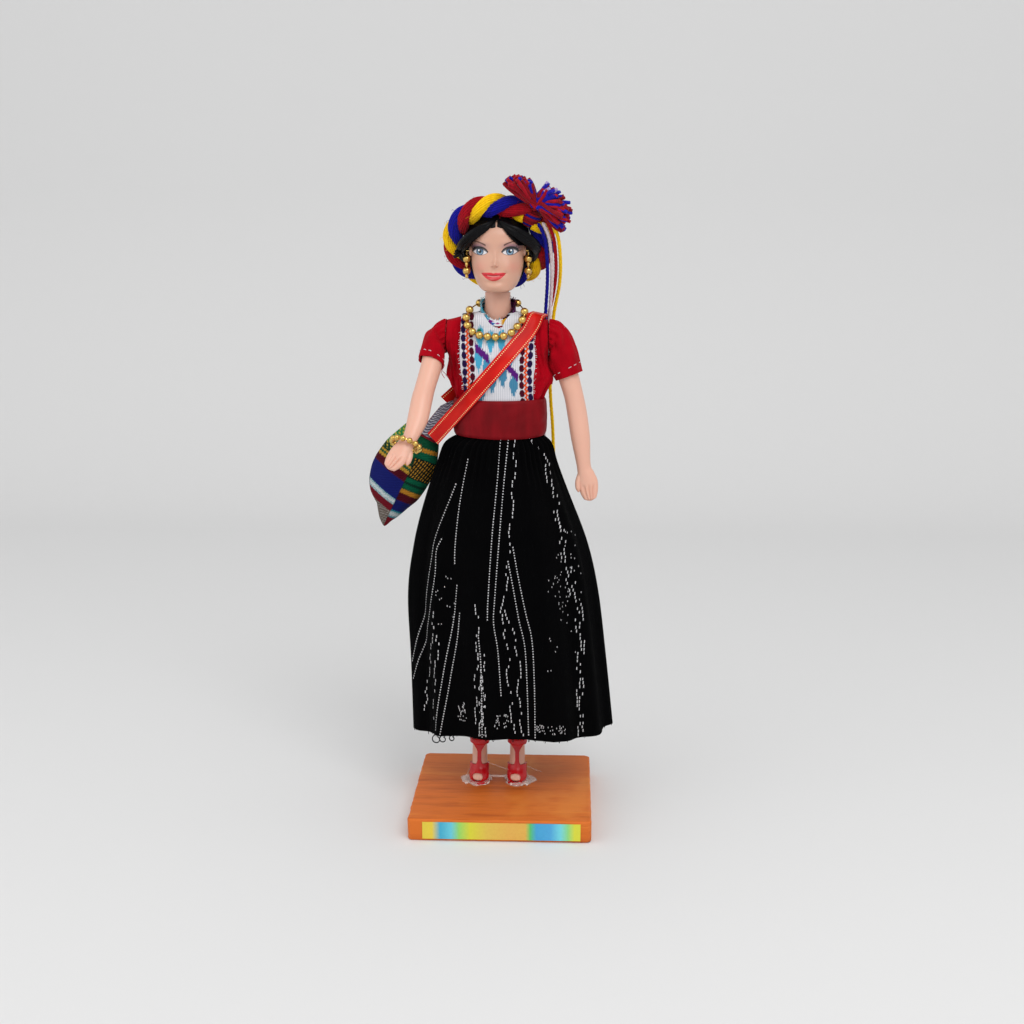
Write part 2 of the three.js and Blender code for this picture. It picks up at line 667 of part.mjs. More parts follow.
// The ring of twisted skeins lies on the hair, tipped forward at the top.
const WRAP_OUTER_RADIUS = SKEIN_OFFSET + SKEIN_RADIUS;
const WRAP_RADIUS = SCALP_REACH + HAIR_UNDER_WRAP + GAP + WRAP_OUTER_RADIUS;
const TILT = THREE.MathUtils.degToRad(WRAP_TILT);
const WRAP_RIGHT = new THREE.Vector3(1, 0, 0);
const WRAP_UP = new THREE.Vector3(0, -Math.sin(TILT), Math.cos(TILT));
const WRAP_NORMAL = WRAP_RIGHT.clone().cross(WRAP_UP);

function wrapDirection(angle) {
  return WRAP_RIGHT.clone().multiplyScalar(Math.cos(angle)).addScaledVector(WRAP_UP, Math.sin(angle));
}

function wrapPoint(angle, outwardShift, normalShift) {
  return WRAP_CENTRE.clone()
    .addScaledVector(wrapDirection(angle), WRAP_RADIUS + outwardShift)
    .addScaledVector(WRAP_NORMAL, normalShift);
}

function wrapEnvelope() {
  const geometry = new THREE.TorusGeometry(WRAP_RADIUS, WRAP_OUTER_RADIUS + GAP, 8, 26);
  const turn = new THREE.Matrix4().makeBasis(WRAP_RIGHT, WRAP_UP, WRAP_NORMAL).setPosition(WRAP_CENTRE);
  geometry.applyMatrix4(turn);
  return solid(geometry);
}

const KNOT_TURN = THREE.MathUtils.degToRad(KNOT_ANGLE);
const KNOT_HALF_OPENING = 2 * Math.asin((KNOT_RADIUS + 2 * GAP) / (2 * WRAP_RADIUS));

function skein(name, order, material) {
  const sides = 6;
  const start = KNOT_TURN + KNOT_HALF_OPENING;
  const sweep = 2 * Math.PI - 2 * KNOT_HALF_OPENING;
  const centreAt = (share) => {
    const angle = start + sweep * share;
    const twist = 2 * Math.PI * (WRAP_TWISTS * share + order / 3);
    return wrapPoint(angle, SKEIN_OFFSET * Math.cos(twist), SKEIN_OFFSET * Math.sin(twist));
  };
  const rings = Array.from({ length: SKEIN_STEPS + 1 }, (_, i) => {
    const share = i / SKEIN_STEPS;
    const along = centreAt(share + 0.001).sub(centreAt(share - 0.001)).normalize();
    const out = wrapDirection(start + sweep * share);
    if (i === 0 || i === SKEIN_STEPS) along.copy(out).cross(WRAP_NORMAL).negate();
    const side = out.clone().addScaledVector(along, -out.dot(along)).normalize();
    const front = along.clone().cross(side);
    return Array.from({ length: sides }, (_, k) => {
      const turn = (2 * Math.PI * k) / sides;
      return centreAt(share)
        .addScaledVector(side, SKEIN_RADIUS * Math.cos(turn))
        .addScaledVector(front, SKEIN_RADIUS * Math.sin(turn))
        .toArray();
    });
  });
  return piece(name, loft(rings), material);
}

const KNOT_CENTRE = wrapPoint(KNOT_TURN, 0, 0);
const POMPOM_CENTRE = wrapPoint(KNOT_TURN, KNOT_RADIUS + GAP + POMPOM_CORE_RADIUS, 0);

function wrapKnot() {
  return piece('wrap_knot', ball(KNOT_CENTRE.toArray(), KNOT_RADIUS, 12, 8), RED_YARN);
}

// Tufts spread from the core over a cap that faces up and outwards, spaced by the golden angle.
function pompom() {
  const axis = new THREE.Vector3(...POMPOM_AXIS).normalize();
  const turn = new THREE.Quaternion().setFromUnitVectors(new THREE.Vector3(0, 0, 1), axis);
  const goldenAngle = Math.PI * (3 - Math.sqrt(5));
  const capCosine = Math.cos(THREE.MathUtils.degToRad(POMPOM_SPREAD));
  const tufts = Array.from({ length: TUFT_COUNT }, (_, i) => {
    const cosine = 1 - ((i + 0.5) / TUFT_COUNT) * (1 - capCosine);
    const sine = Math.sqrt(1 - cosine * cosine);
    const direction = new THREE.Vector3(
      sine * Math.cos(goldenAngle * i), sine * Math.sin(goldenAngle * i), cosine,
    ).applyQuaternion(turn);
    const reach = TUFT_LENGTH + POMPOM_SIDE_REACH * Math.max(0, -direction.x) + (i % 3);
    const tip = POMPOM_CENTRE.clone().addScaledVector(direction, reach);
    return rod(POMPOM_CENTRE.toArray(), tip.toArray(), TUFT_ROOT_RADIUS, TUFT_TIP_RADIUS, 5);
  });
  const core = ball(POMPOM_CENTRE.toArray(), POMPOM_CORE_RADIUS, 8, 6);
  return piece('pompom', join([core, ...tufts]), RED_YARN);
}

// Yarn ends hang from the pompom behind the left shoulder; each route is chosen by hand.
const TAIL_BLUE = [
  [19.8, -9.8, 33], [21.8, -7.9, 29.4], [23, -5.2, 25.4], [23.6, -2.4, 21], [24, 0.6, 16.5],
  [24.2, 3.8, 12], [24.2, 7, 7], [24, 10, 1.5], [23.6, 12.6, -4.5], [23.2, 14.4, -11],
  [22.8, 15.6, -19], [22.4, 16.4, -28], [22.4, 17.4, -38], [22.8, 18.6, -48], [23.4, 19.8, -59],
  [24.2, 21, -70], [24.8, 21.8, -81], [25, 22.2, -92],
];
const TAIL_WHITE = [
  [22, -10.2, 33.4], [24, -8, 29.4], [25.2, -5.2, 25.4], [25.8, -2.4, 21], [26.2, 0.8, 16.5],
  [26.4, 4.2, 12], [26.4, 7.8, 7], [26.2, 11.2, 1.5], [25.8, 14, -4.5], [25.4, 15.8, -11],
  [25, 17.2, -19], [24.6, 18.2, -28], [24.6, 19.2, -38], [25, 20.4, -48], [25.6, 21.6, -58],
  [26.4, 22.8, -68], [27, 23.6, -77], [27.2, 24, -86],
];
const TAIL_RED = [
  [24.2, -10.4, 33.8], [26.2, -8, 29.4], [27.4, -5.2, 25.4], [28, -2.4, 21], [28.3, 1, 16.5],
  [28.4, 4.8, 12], [28.2, 9, 7], [27.5, 13.1, 1.5], [26.4, 16.3, -4.5], [25, 18.1, -11],
  [24.1, 19.4, -19], [23.6, 20.4, -28], [23.6, 21.4, -38], [24, 22.6, -48], [24.6, 23.8, -58],
  [25.4, 25, -67], [26, 25.8, -76], [26.2, 26.2, -84],
];
const TAIL_YELLOW = [
  [26.4, -10.6, 34.4], [28.4, -8, 29.4], [29.6, -5, 25.4], [30.2, -2, 21], [30.5, 1.6, 16.5],
  [30.6, 5.8, 12], [30.4, 10.4, 7], [29.8, 14.6, 1.5], [28.6, 18, -4.5], [27.4, 20.2, -11],
  [26.6, 21.6, -19], [26.2, 22.8, -28], [26.2, 23.8, -38], [26.6, 25, -48], [27.2, 26.2, -58],
  [28, 27.4, -68], [28.6, 28.2, -82], [28.8, 28.6, -96],
];

function tail(name, route, material) {
  return piece(name, cordTube(route, YARN_RADIUS, TAIL_STEPS, 8), material);
}

// A bent wire whose pin sits in the ear; each bead rests on a crimp below it.
function earring(sideName, side) {
  const onWire = (height) => [side * EARRING_X, EARRING_Y, height];
  const upper = EARRING_HEIGHT - EARRING_FIRST_DROP;
  const lower = upper - EARRING_SPACING;
  const seats = [upper, lower].map((height) => height - BEAD_RADIUS - 0.5 * GAP - CRIMP_RADIUS);
  const bend = onWire(EARRING_HEIGHT);
  const wire = join([
    rod([side * EARRING_PIN_END, EARRING_Y, EARRING_HEIGHT], bend, WIRE_RADIUS, WIRE_RADIUS, 6),
    ball(bend, WIRE_RADIUS * 1.2, 6, 4),
    rod(bend, onWire(seats[1]), WIRE_RADIUS, WIRE_RADIUS, 6),
    ...seats.map((height) => ball(onWire(height), CRIMP_RADIUS, 6, 4)),
  ]);
  const beads = [upper, lower].map((height) => ball(onWire(height), BEAD_RADIUS, BEAD_SIDES, 5).subtract(
    rod(onWire(height - 2 * BEAD_RADIUS), onWire(height + 2 * BEAD_RADIUS), BEAD_BORE, BEAD_BORE, 6),
  ));
  return [
    piece(`earring_${sideName}_wire`, wire, GILT),
    piece(`earring_${sideName}_upper_bead`, beads[0], GILT),
    piece(`earring_${sideName}_lower_bead`, beads[1], GILT),
  ];
}

// Blouse, [height above the hip axle, half width, half depth, centre y, centre x].
const SHOULDER_CLOSING = SHOULDER_HEIGHT + 5;
const BLOUSE_ROWS = [
  [26, 19.6, 13.8, 0, 1],
  [37, 20.1, 14.2, 0, 1],
  [43, 20.9, 15, 0, 0.9],
  [54, 23.4, 16.6, 0, 0.6],
  [64, 24.6, 16.4, 0, 0.3],
  [SHOULDER_HEIGHT - 3, 27.5, 12.8, 0, 0],
  [SHOULDER_HEIGHT + 3, 27.5, 9.8, 0, 0],
  [SHOULDER_HEIGHT + 6, 25.5, 8.9, 0, 0],
  [SHOULDER_HEIGHT + 7.6, 19, 8.5, 0, 0],
  [SHOULDER_HEIGHT + 9, 12, 8.3, 0, 0],
];

// Each garment layer over the torso is the blouse grown by the layers below it.
const PANEL_INNER = GAP;
const PANEL_OUTER = PANEL_INNER + PANEL_THICKNESS;

function blouseLayer(margin) {
  return solid(loft(rowsToRings(grown(BLOUSE_ROWS, margin, SHOULDER_CLOSING), LAYER_SIDES)));
}

// How far forward the collar stands out at an angle round the neck: 1 in front, 0 behind.
function collarFront(angle) {
  return ((1 - Math.sin(angle)) / 2) ** 3;
}

const COLLAR_SEAT = BLOUSE_ROWS.at(-1)[0] + 0.8;
const COLLAR_TOP = COLLAR_SEAT + COLLAR_HEIGHT;

function collarRing(radius, heightAt) {
  return Array.from({ length: LAYER_SIDES }, (_, i) => {
    const angle = (2 * Math.PI * i) / LAYER_SIDES;
    const reach = radius + COLLAR_FRONT_REACH * collarFront(angle);
    return [reach * Math.cos(angle), reach * Math.sin(angle), heightAt(angle)];
  });
}

function collarLow(angle) {
  return COLLAR_SEAT - COLLAR_FRONT_DROP * collarFront(angle);
}

function collarHigh(angle) {
  return COLLAR_TOP - COLLAR_FRONT_TOP_DROP * collarFront(angle);
}

function collar() {
  const rings = [
    collarRing(COLLAR_RADIUS, collarLow),
    collarRing(COLLAR_RADIUS + COLLAR_WALL, collarLow),
    collarRing(COLLAR_RADIUS + COLLAR_WALL - COLLAR_LEAN, collarHigh),
    collarRing(COLLAR_RADIUS - COLLAR_LEAN, collarHigh),
  ];
  return piece('collar', loft(rings, true), BROCADE);
}

// Space over the neckline that the blouse and its panel leave free for the collar.
function neckline() {
  const radius = COLLAR_RADIUS + COLLAR_WALL + GAP;
  const aroundCollar = solid(loft([
    collarRing(radius, (angle) => collarLow(angle) - 2 * GAP),
    collarRing(radius, () => COLLAR_TOP + 8),
  ]));
  const low = [0, 0, SHOULDER_CLOSING + 0.5];
  return aroundCollar.add(rod(low, [0, 0, COLLAR_TOP], radius, radius, LAYER_SIDES));
}

function armholes() {
  const reach = 2 * ARMHOLE_X;
  return rod([-reach, 0, SHOULDER_HEIGHT], [reach, 0, SHOULDER_HEIGHT], ARMHOLE_RADIUS, ARMHOLE_RADIUS, 16);
}

function blouseBody() {
  const inner = BLOUSE_ROWS.map(([z, a, b, yc, xc]) => (
    [z - (z > SHOULDER_CLOSING ? BLOUSE_WALL : 0), a - BLOUSE_WALL, b - BLOUSE_WALL, yc, xc]
  ));
  inner[0] = [inner[0][0] - 1, ...inner[0].slice(1)];
  const body = cut(blouseLayer(0).intersect(box(-ARMHOLE_X, ARMHOLE_X, -NECK_TOP, NECK_TOP, 0, NECK_TOP)), [
    solid(loft(rowsToRings(inner, LAYER_SIDES))),
    neckline(),
    armholes(),
  ]);
  return piece('blouse_body', body, RED_COTTON);
}

function blousePanel() {
  const region = box(-PANEL_HALF_WIDTH, PANEL_HALF_WIDTH, -NECK_TOP, NECK_TOP, PANEL_BOTTOM, NECK_TOP);
  const body = cut(blouseLayer(PANEL_OUTER).intersect(region), [
    blouseLayer(PANEL_INNER),
    neckline(),
  ]);
  return piece('blouse_panel', body, BROCADE);
}

// Sash and skirt band, each one gap outside the layer that it holds.
const SKIRT_BAND = rowAt(BLOUSE_ROWS, SKIRT_TOP);
const SKIRT_BAND_OUTER = [SKIRT_BAND[1] + GAP + SKIRT_WALL, SKIRT_BAND[2] + GAP + SKIRT_WALL];
const SASH_INNER = [
  Math.max(SKIRT_BAND_OUTER[0], rowAt(BLOUSE_ROWS, SASH_TOP)[1] + PANEL_OUTER) + GAP,
  Math.max(SKIRT_BAND_OUTER[1], rowAt(BLOUSE_ROWS, SASH_TOP)[2] + PANEL_OUTER) + GAP,
];
const SASH_OUTER = SASH_INNER.map((reach) => reach + SASH_WALL);

function sash() {
  const ring = (z, [a, b]) => levelRing(z, a, b, WAIST_X, 0, LAYER_SIDES);
  const rings = [
    ring(SASH_BOTTOM, SASH_INNER),
    ring(SASH_BOTTOM, SASH_OUTER),
    ring((SASH_BOTTOM + SASH_TOP) / 2, SASH_OUTER.map((reach) => reach + SASH_BULGE)),
    ring(SASH_TOP, SASH_OUTER),
    ring(SASH_TOP, SASH_INNER),
  ];
  return piece('sash', loft(rings, true), CRIMSON_SATIN);
}

// Skirt outline, [share of its length below the sash, half width, half depth, centre x].
const SKIRT_ROWS = [
  [0.028, 25.6, 19.6, 1.1],
  [0.09, 28.6, 22.2, 0.6],
  [0.2, 36.4, 26.4, -0.3],
  [0.365, 44, 30, 1.35],
  [0.53, 47.75, 32, 2.25],
  [0.755, 48.9, 33.5, 5],
  [1, 51, 34, 7.35],
];

function skirtPoint(angle, z, a, b, xc, share, inset) {
  const warped = FOLD_COUNT * angle + FOLD_WANDER * Math.sin(3 * angle + 1);
  const fold = FOLD_DEPTH * Math.min(1, share / FOLD_FULL_SHARE) * (1 - Math.cos(warped)) / 2;
  const [ra, rb] = [a - fold - inset, b - fold - inset];
  return [xc + ra * Math.cos(angle), rb * Math.sin(angle), z];
}

function skirtRing(a, b, xc, share, inset) {
  const hemHeight = HEM_HEIGHT - HIP_HEIGHT;
  const top = SASH_BOTTOM - GAP;
  return Array.from({ length: SKIRT_SIDES }, (_, i) => {
    const angle = (2 * Math.PI * i) / SKIRT_SIDES;
    const wave = HEM_WAVE * Math.sin(3 * angle + 0.6) * share;
    return skirtPoint(angle, top + (hemHeight - top) * share + wave, a, b, xc, share, inset);
  });
}

function bandRing(z, inset) {
  const [a, b] = SKIRT_BAND_OUTER;
  return skirtRing(a, b, WAIST_X, 0, inset).map(([x, y]) => [x, y, z]);
}

function skirt() {
  const below = SKIRT_ROWS.map(([share, a, b, xc]) => [a, b, xc, share]);
  const rings = [
    bandRing(SKIRT_TOP, SKIRT_WALL),
    bandRing(SKIRT_TOP, 0),
    bandRing(SASH_BOTTOM - GAP, 0),
    ...below.map((row) => skirtRing(...row, 0)),
    ...below.toReversed().map((row) => skirtRing(...row, SKIRT_WALL)),
    bandRing(SASH_BOTTOM - GAP - SKIRT_WALL, SKIRT_WALL),
  ];
  return piece('skirt', loft(rings, true), BLACK_COTTON);
}

// The ribbon crosses the sash's top edge within this height of it.
const SASH_CLEARANCE_ABOVE = 2.5;

// Depth of the outermost layer in front of (or behind) a point of the front view.
function layerDepth(x, z) {
  const margin = PANEL_OUTER + GAP;
  const [top, wide, deep, , xc] = rowAt(grown(BLOUSE_ROWS, margin, SHOULDER_CLOSING), z);
  let depth = z > BLOUSE_ROWS.at(-1)[0] + margin || top < z - margin ? 0 : ellipseDepth(x - xc, wide, deep);
  if (z < SASH_TOP + SASH_CLEARANCE_ABOVE) {
    const [a, b] = SASH_OUTER.map((reach) => reach + SASH_BULGE + GAP);
    depth = Math.max(depth, ellipseDepth(x - WAIST_X, a, b));
  }
  return depth;
}

function ellipseDepth(x, a, b) {
  return Math.abs(x) < a ? b * Math.sqrt(1 - (x / a) ** 2) : 0;
}

// How far a point leaves the layers along a ray in the plane of one x, from inside the chest.
function layerReach(x, angle) {
  const core = SHOULDER_HEIGHT - 5;
  let [near, far] = [0, 40];
  for (let i = 0; i < 24; i++) {
    const middle = (near + far) / 2;
    const depth = layerDepth(x, core + middle * Math.sin(angle));
    if (middle * Math.abs(Math.cos(angle)) < depth) near = middle;
    else far = middle;
  }
  return [x, -far * Math.cos(angle), core + far * Math.sin(angle)];
}

// The ribbon's middle line in the front view, as height against x, before and behind.
const RIBBON_TOP = [20.6, SHOULDER_HEIGHT + 7];
const RIBBON_CHEST_END = 16.5;
const RIBBON_STEP = 3.2;
const RIBBON_SHOULDER_ANGLES = [38, 54, 72, 90, 108, 126, 142];
const RIBBON_FRONT_SLOPE = 1.13;
const RIBBON_BACK_SLOPE = 0.8;
const RIBBON_FRONT_END = [-28.8, 1.8];
const RIBBON_BACK_END = [-26.5, 5.2];
const RIBBON_LEAVES_BODY = -17.5;

// Points along one edge of the ribbon; across runs from -1 to 1 over its width.
function ribbonLine(across, lift) {
  const half = (RIBBON_WIDTH / 2) * across;
  const points = [];
  const strip = (slope, end, sign) => {
    const length = Math.hypot(1, slope);
    const line = [];
    for (let x = end[0]; x < RIBBON_CHEST_END; x += RIBBON_STEP) {
      const z = RIBBON_TOP[1] - slope * (RIBBON_TOP[0] - x);
      const px = x + half * (slope / length);
      const pz = z - half / length;
      const bodyY = sign * (layerDepth(Math.max(px, RIBBON_LEAVES_BODY), pz) + lift);
      const loose = THREE.MathUtils.clamp(
        (RIBBON_LEAVES_BODY - px) / (RIBBON_LEAVES_BODY - end[0]), 0, 1.3,
      );
      line.push([px, bodyY + loose * (end[1] + sign * lift - bodyY), pz]);
    }
    return line;
  };
  points.push(...strip(RIBBON_FRONT_SLOPE, RIBBON_FRONT_END, -1));
  for (const degrees of RIBBON_SHOULDER_ANGLES) {
    const angle = THREE.MathUtils.degToRad(degrees);
    const [x, y, z] = layerReach(RIBBON_TOP[0] + half, angle);
    points.push([x, y - lift * Math.cos(angle), z + lift * Math.sin(angle)]);
  }
  points.push(...strip(RIBBON_BACK_SLOPE, RIBBON_BACK_END, 1).reverse());
  return points;
}

function ribbon() {
  const outer = [-1, 0, 1].map((across) => ribbonLine(across, RIBBON_THICKNESS + RIBBON_LIFT));
  const inner = [1, 0, -1].map((across) => ribbonLine(across, RIBBON_LIFT));
  const lines = [...outer, ...inner];
  const rings = lines[0].map((_, i) => lines.map((line) => line[i]));
  return piece('ribbon', loft(rings), RED_SATIN);
}

// Right arm is raised forward over the bag, the left one hangs. Measured from the shoulder axis.
const RIGHT_ARM = [
  { at: [-28.2, 0.4, 1], wide: 4.2, deep: 4.4 },
  { at: [-31.6, -5.4, -6.8], wide: 5.1, deep: 5.2 },
  { at: [-31.9, -12, -15.6], wide: 5.1, deep: 5.2 },
  { at: [-34.2, -19, -25], wide: 4.9, deep: 4.9 },
  { at: [-35.6, -24, -31.5], wide: 5.1, deep: 5 },
  { at: [-37.1, -30, -40], wide: 4.9, deep: 4.5 },
  { at: [-39.9, -37, -47.7], wide: 3.6, deep: 3 },
  { at: [-42, -40.4, -51], wide: 4.2, deep: 2.8 },
  { at: [-44.6, -43, -55], wide: 5, deep: 2.5 },
  { at: [-47.2, -45.4, -58.4], wide: 4.3, deep: 2.1 },
  { at: [-49.4, -47, -61], wide: 2.6, deep: 1.5 },
];
const RIGHT_THUMB = [
  { at: [-40.8, -39.6, -50.8], wide: 1.7, deep: 1.7 },
  { at: [-39.6, -43, -55.4], wide: 1.6, deep: 1.5 },
  { at: [-40.7, -45.6, -59.6], wide: 1.1, deep: 1 },
];
const LEFT_ARM = [
  { at: [28.2, 0, 1], wide: 4.2, deep: 4.4 },
  { at: [31.8, -0.3, -9], wide: 5, deep: 5.2 },
  { at: [34.6, -1, -20.5], wide: 5.1, deep: 5.1 },
  { at: [37.6, -1.5, -31], wide: 4.8, deep: 4.8 },
  { at: [39.4, -2, -40], wide: 4.9, deep: 4.9 },
  { at: [41.2, -3.4, -52], wide: 4.7, deep: 4.6 },
  { at: [42.9, -5, -65.5], wide: 3.5, deep: 3 },
  { at: [44, -5.6, -70], wide: 4.3, deep: 2.7 },
  { at: [45, -6, -74], wide: 5, deep: 2.5 },
  { at: [45.8, -6.6, -79], wide: 4.3, deep: 2.1 },
  { at: [46.5, -7, -83], wide: 2.6, deep: 1.5 },
];
const LEFT_THUMB = [
  { at: [41.8, -5.4, -69], wide: 1.7, deep: 1.7 },
  { at: [40.2, -6.6, -74], wide: 1.6, deep: 1.5 },
  { at: [40.4, -7.6, -78.6], wide: 1.1, deep: 1 },
];

function arm(name, side, stations, thumb) {
  const flangeEnd = PEG_END_X + PEG_FLANGE_THICKNESS;
  const body = join([
    solid(limb(stations, LIMB_SIDES)),
    solid(limb(thumb, 6)),
    ball([side * SHOULDER_X, 0, 0], SHOULDER_BALL_RADIUS, 10, 6),
    rod([side * PEG_END_X, 0, 0], [side * SHOULDER_X, 0, 0], PEG_RADIUS),
    rod([side * PEG_END_X, 0, 0], [side * flangeEnd, 0, 0], PEG_FLANGE_RADIUS),
  ]);
  return piece(name, body, SKIN_VINYL);
}

// Puffed sleeve: rings turn from the armhole's plane to the hem's round the sleeve's own axis.
function sleeve(name, side, hem) {
  const face = ARMHOLE_X + GAP;
  const armhole = { centre: [side * face, 0, -1.2], axis: [side, 0, 0], high: 9.6, wide: 9.4 };
  const stations = [
    armhole,
    {
      centre: [side * (face + 3.2), 0.16 * hem.centre[1], -1.6],
      axis: [side * 0.92, 0.15 * hem.axis[1], -0.3],
      high: 10,
      wide: 9.6,
    },
    {
      centre: [side * (face + 5.4), 0.5 * hem.centre[1], 0.38 * hem.centre[2]],
      axis: [side * 0.7, 0.6 * hem.axis[1], -0.62],
      high: 9.2,
      wide: 9,
    },
    hem,
  ];
  const ringOf = ({ centre, axis, high, wide }, inset) => {
    const along = new THREE.Vector3(...axis).normalize();
    const up = new THREE.Vector3(side, 0, 1.2).addScaledVector(
      along, -along.dot(new THREE.Vector3(side, 0, 1.2)),
    ).normalize();
    const across = along.clone().cross(up);
    return Array.from({ length: SLEEVE_SIDES }, (_, i) => {
      const angle = (2 * Math.PI * i) / SLEEVE_SIDES;
      const point = new THREE.Vector3(...centre)
        .addScaledVector(up, (high - inset) * Math.cos(angle))
        .addScaledVector(across, (wide - inset) * Math.sin(angle));
      point.x = side * Math.max(side * point.x, face + (axis[1] === 0 ? 0 : inset));
      return point.toArray();
    });
  };
  const outer = stations.map((station) => ringOf(station, 0));
  const inner = stations.map((station) => ringOf(station, SLEEVE_WALL));
  return piece(name, loft([...outer, ...inner.reverse()], true), RED_COTTON);
}

const RIGHT_HEM = { centre: [-32.3, -10.2, -14.2], axis: [-0.3, -0.5, -0.8], high: 6.8, wide: 7 };
const LEFT_HEM = { centre: [35.4, -1, -21.4], axis: [0.35, -0.06, -0.93], high: 6.8, wide: 7.2 };

// Beads on a closed thread: one tube that swells to a ball at each place and is thread between.
function beadString(name, places, beadRadius) {
  const holeAngle = Math.acos(THREAD_RADIUS / beadRadius);
  const rings = places.flatMap((place, i) => {
    const next = new THREE.Vector3(...places[(i + 1) % places.length]);
    const last = new THREE.Vector3(...places.at(i - 1));
    const along = next.sub(last).normalize();
    const side = new THREE.Vector3(0, 0, 1).addScaledVector(along, -along.z).normalize();
    const front = along.clone().cross(side);
    return [-holeAngle, -0.4, 0.4, holeAngle].map((latitude) => {
      const radius = beadRadius * Math.cos(latitude);
      const middle = new THREE.Vector3(...place).addScaledVector(along, beadRadius * Math.sin(latitude));
      return Array.from({ length: BEAD_SIDES }, (_, k) => {
        const angle = (2 * Math.PI * k) / BEAD_SIDES;
        return middle.clone()
          .addScaledVector(side, radius * Math.cos(angle))
          .addScaledVector(front, radius * Math.sin(angle))
          .toArray();
      });
    });
  });
  return piece(name, loft(rings, true), GILT);
}

// A bead's centre is moved forward until its surface clears the layers and the collar by a gap.
const REST_STEP = 0.1;
const REST_DIRECTIONS = 60;
const REST_LIMIT = -30;

function restOnChest([x, z]) {
  const reach = NECKLACE_BEAD_RADIUS + REST_STEP;
  const directions = [];
  for (let i = 0; i < REST_DIRECTIONS; i++) {
    const height = 1 - (2 * (i + 0.5)) / REST_DIRECTIONS;
    const angle = i * Math.PI * (3 - Math.sqrt(5));
    const level = Math.sqrt(1 - height * height);
    directions.push([level * Math.cos(angle), level * Math.sin(angle), height]);
  }
  let y = 0;
  const touches = () => directions.some(([dx, dy, dz]) => {
    const [px, py, pz] = [x + reach * dx, y + reach * dy, z + reach * dz];
    const collarRadius = COLLAR_RADIUS + COLLAR_WALL + GAP
      + COLLAR_FRONT_REACH * collarFront(Math.atan2(py, px));
    const inCollar = Math.hypot(px, py) < collarRadius;
    return inCollar || Math.abs(py) < layerDepth(px, pz);
  });
  while (touches() && y > REST_LIMIT) y -= REST_STEP;
  return [x, y, z];
}

// Front view places of the beads, [x, height above the shoulder axis], from right to left.
const NECKLACE_FRONT = [
  [-13.4, 11.2], [-14.9, 7.6], [-14.2, 3.9], [-11.7, 1], [-8.2, -0.6], [-4.3, -1.2],
  [-0.4, -1.4], [3.5, -1], [7.2, 0.6], [10, 3.4], [12.4, 6.6], [13.4, 10.4],
].map(([x, rise]) => [x, SHOULDER_HEIGHT + rise]);
const NECKLACE_BACK_START = 20;
const NECKLACE_BACK_SWEEP = 140;

function necklace() {
  const front = NECKLACE_FRONT.map(restOnChest);
  const backCount = NECKLACE_BEADS - front.length;
  const radius = COLLAR_RADIUS + COLLAR_WALL + 2 * GAP + NECKLACE_BEAD_RADIUS;
  const back = Array.from({ length: backCount }, (_, i) => {
    const degrees = NECKLACE_BACK_START + (NECKLACE_BACK_SWEEP * (i + 0.5)) / backCount;
    const angle = THREE.MathUtils.degToRad(degrees);
    return [radius * Math.cos(angle), radius * Math.sin(angle), COLLAR_TOP - COLLAR_NECKLACE_DROP];
  });
  return beadString('necklace', [...front, ...back], NECKLACE_BEAD_RADIUS);
}

// The bracelet hangs tilted on the wrist, its upper beads resting on it.
function bracelet() {
  const centre = new THREE.Vector3(...BRACELET_CENTRE);
  const along = new THREE.Vector3(...BRACELET_NORMAL).normalize();
  const side = new THREE.Vector3(1, 0, 0).addScaledVector(along, -along.x).normalize();
  const front = along.clone().cross(side);
  const places = Array.from({ length: BRACELET_BEADS }, (_, i) => {
    const angle = (2 * Math.PI * i) / BRACELET_BEADS;
    return centre.clone()
      .addScaledVector(side, BRACELET_RADIUS * Math.cos(angle))
      .addScaledVector(front, BRACELET_RADIUS * Math.sin(angle))
      .toArray();
  });
  return beadString('bracelet', places, BEAD_RADIUS);
}

// Bag, [height above where it hangs, left edge x, right edge x, share of the full thickness].
const BAG_HANG_HEIGHT = RIBBON_TOP[1] - BAG_DROP;
const BAG_ROWS = [
  [-60.8, -58.6, -56.6, 0.12],
  [-57.2, -59.2, -51, 0.42],
  [-51.2, -60.4, -43.2, 0.7],
  [-43.7, -62, -37.4, 0.92],
  [-37.2, -63.2, -33.6, 1],
  [-32.2, -62.6, -31.4, 1],
  [-24.2, -57.4, -30, 0.86],
  [-17.2, -52, -30.6, 0.56],
  [-13.2, -48.2, -34, 0.3],
].map(([rise, ...rest]) => [BAG_HANG_HEIGHT + rise, ...rest]);

function bagPouch() {
  const rings = BAG_ROWS.map(([z, left, right, share]) => levelRing(
    z, (right - left) / 2, (BAG_THICKNESS / 2) * share, (left + right) / 2, BAG_Y, 16, BAG_EDGE_POWER,
  ));
  return piece('bag_pouch', loft(rings), WOVEN);
}

const BAG_TOP = BAG_ROWS.at(-1)[0];

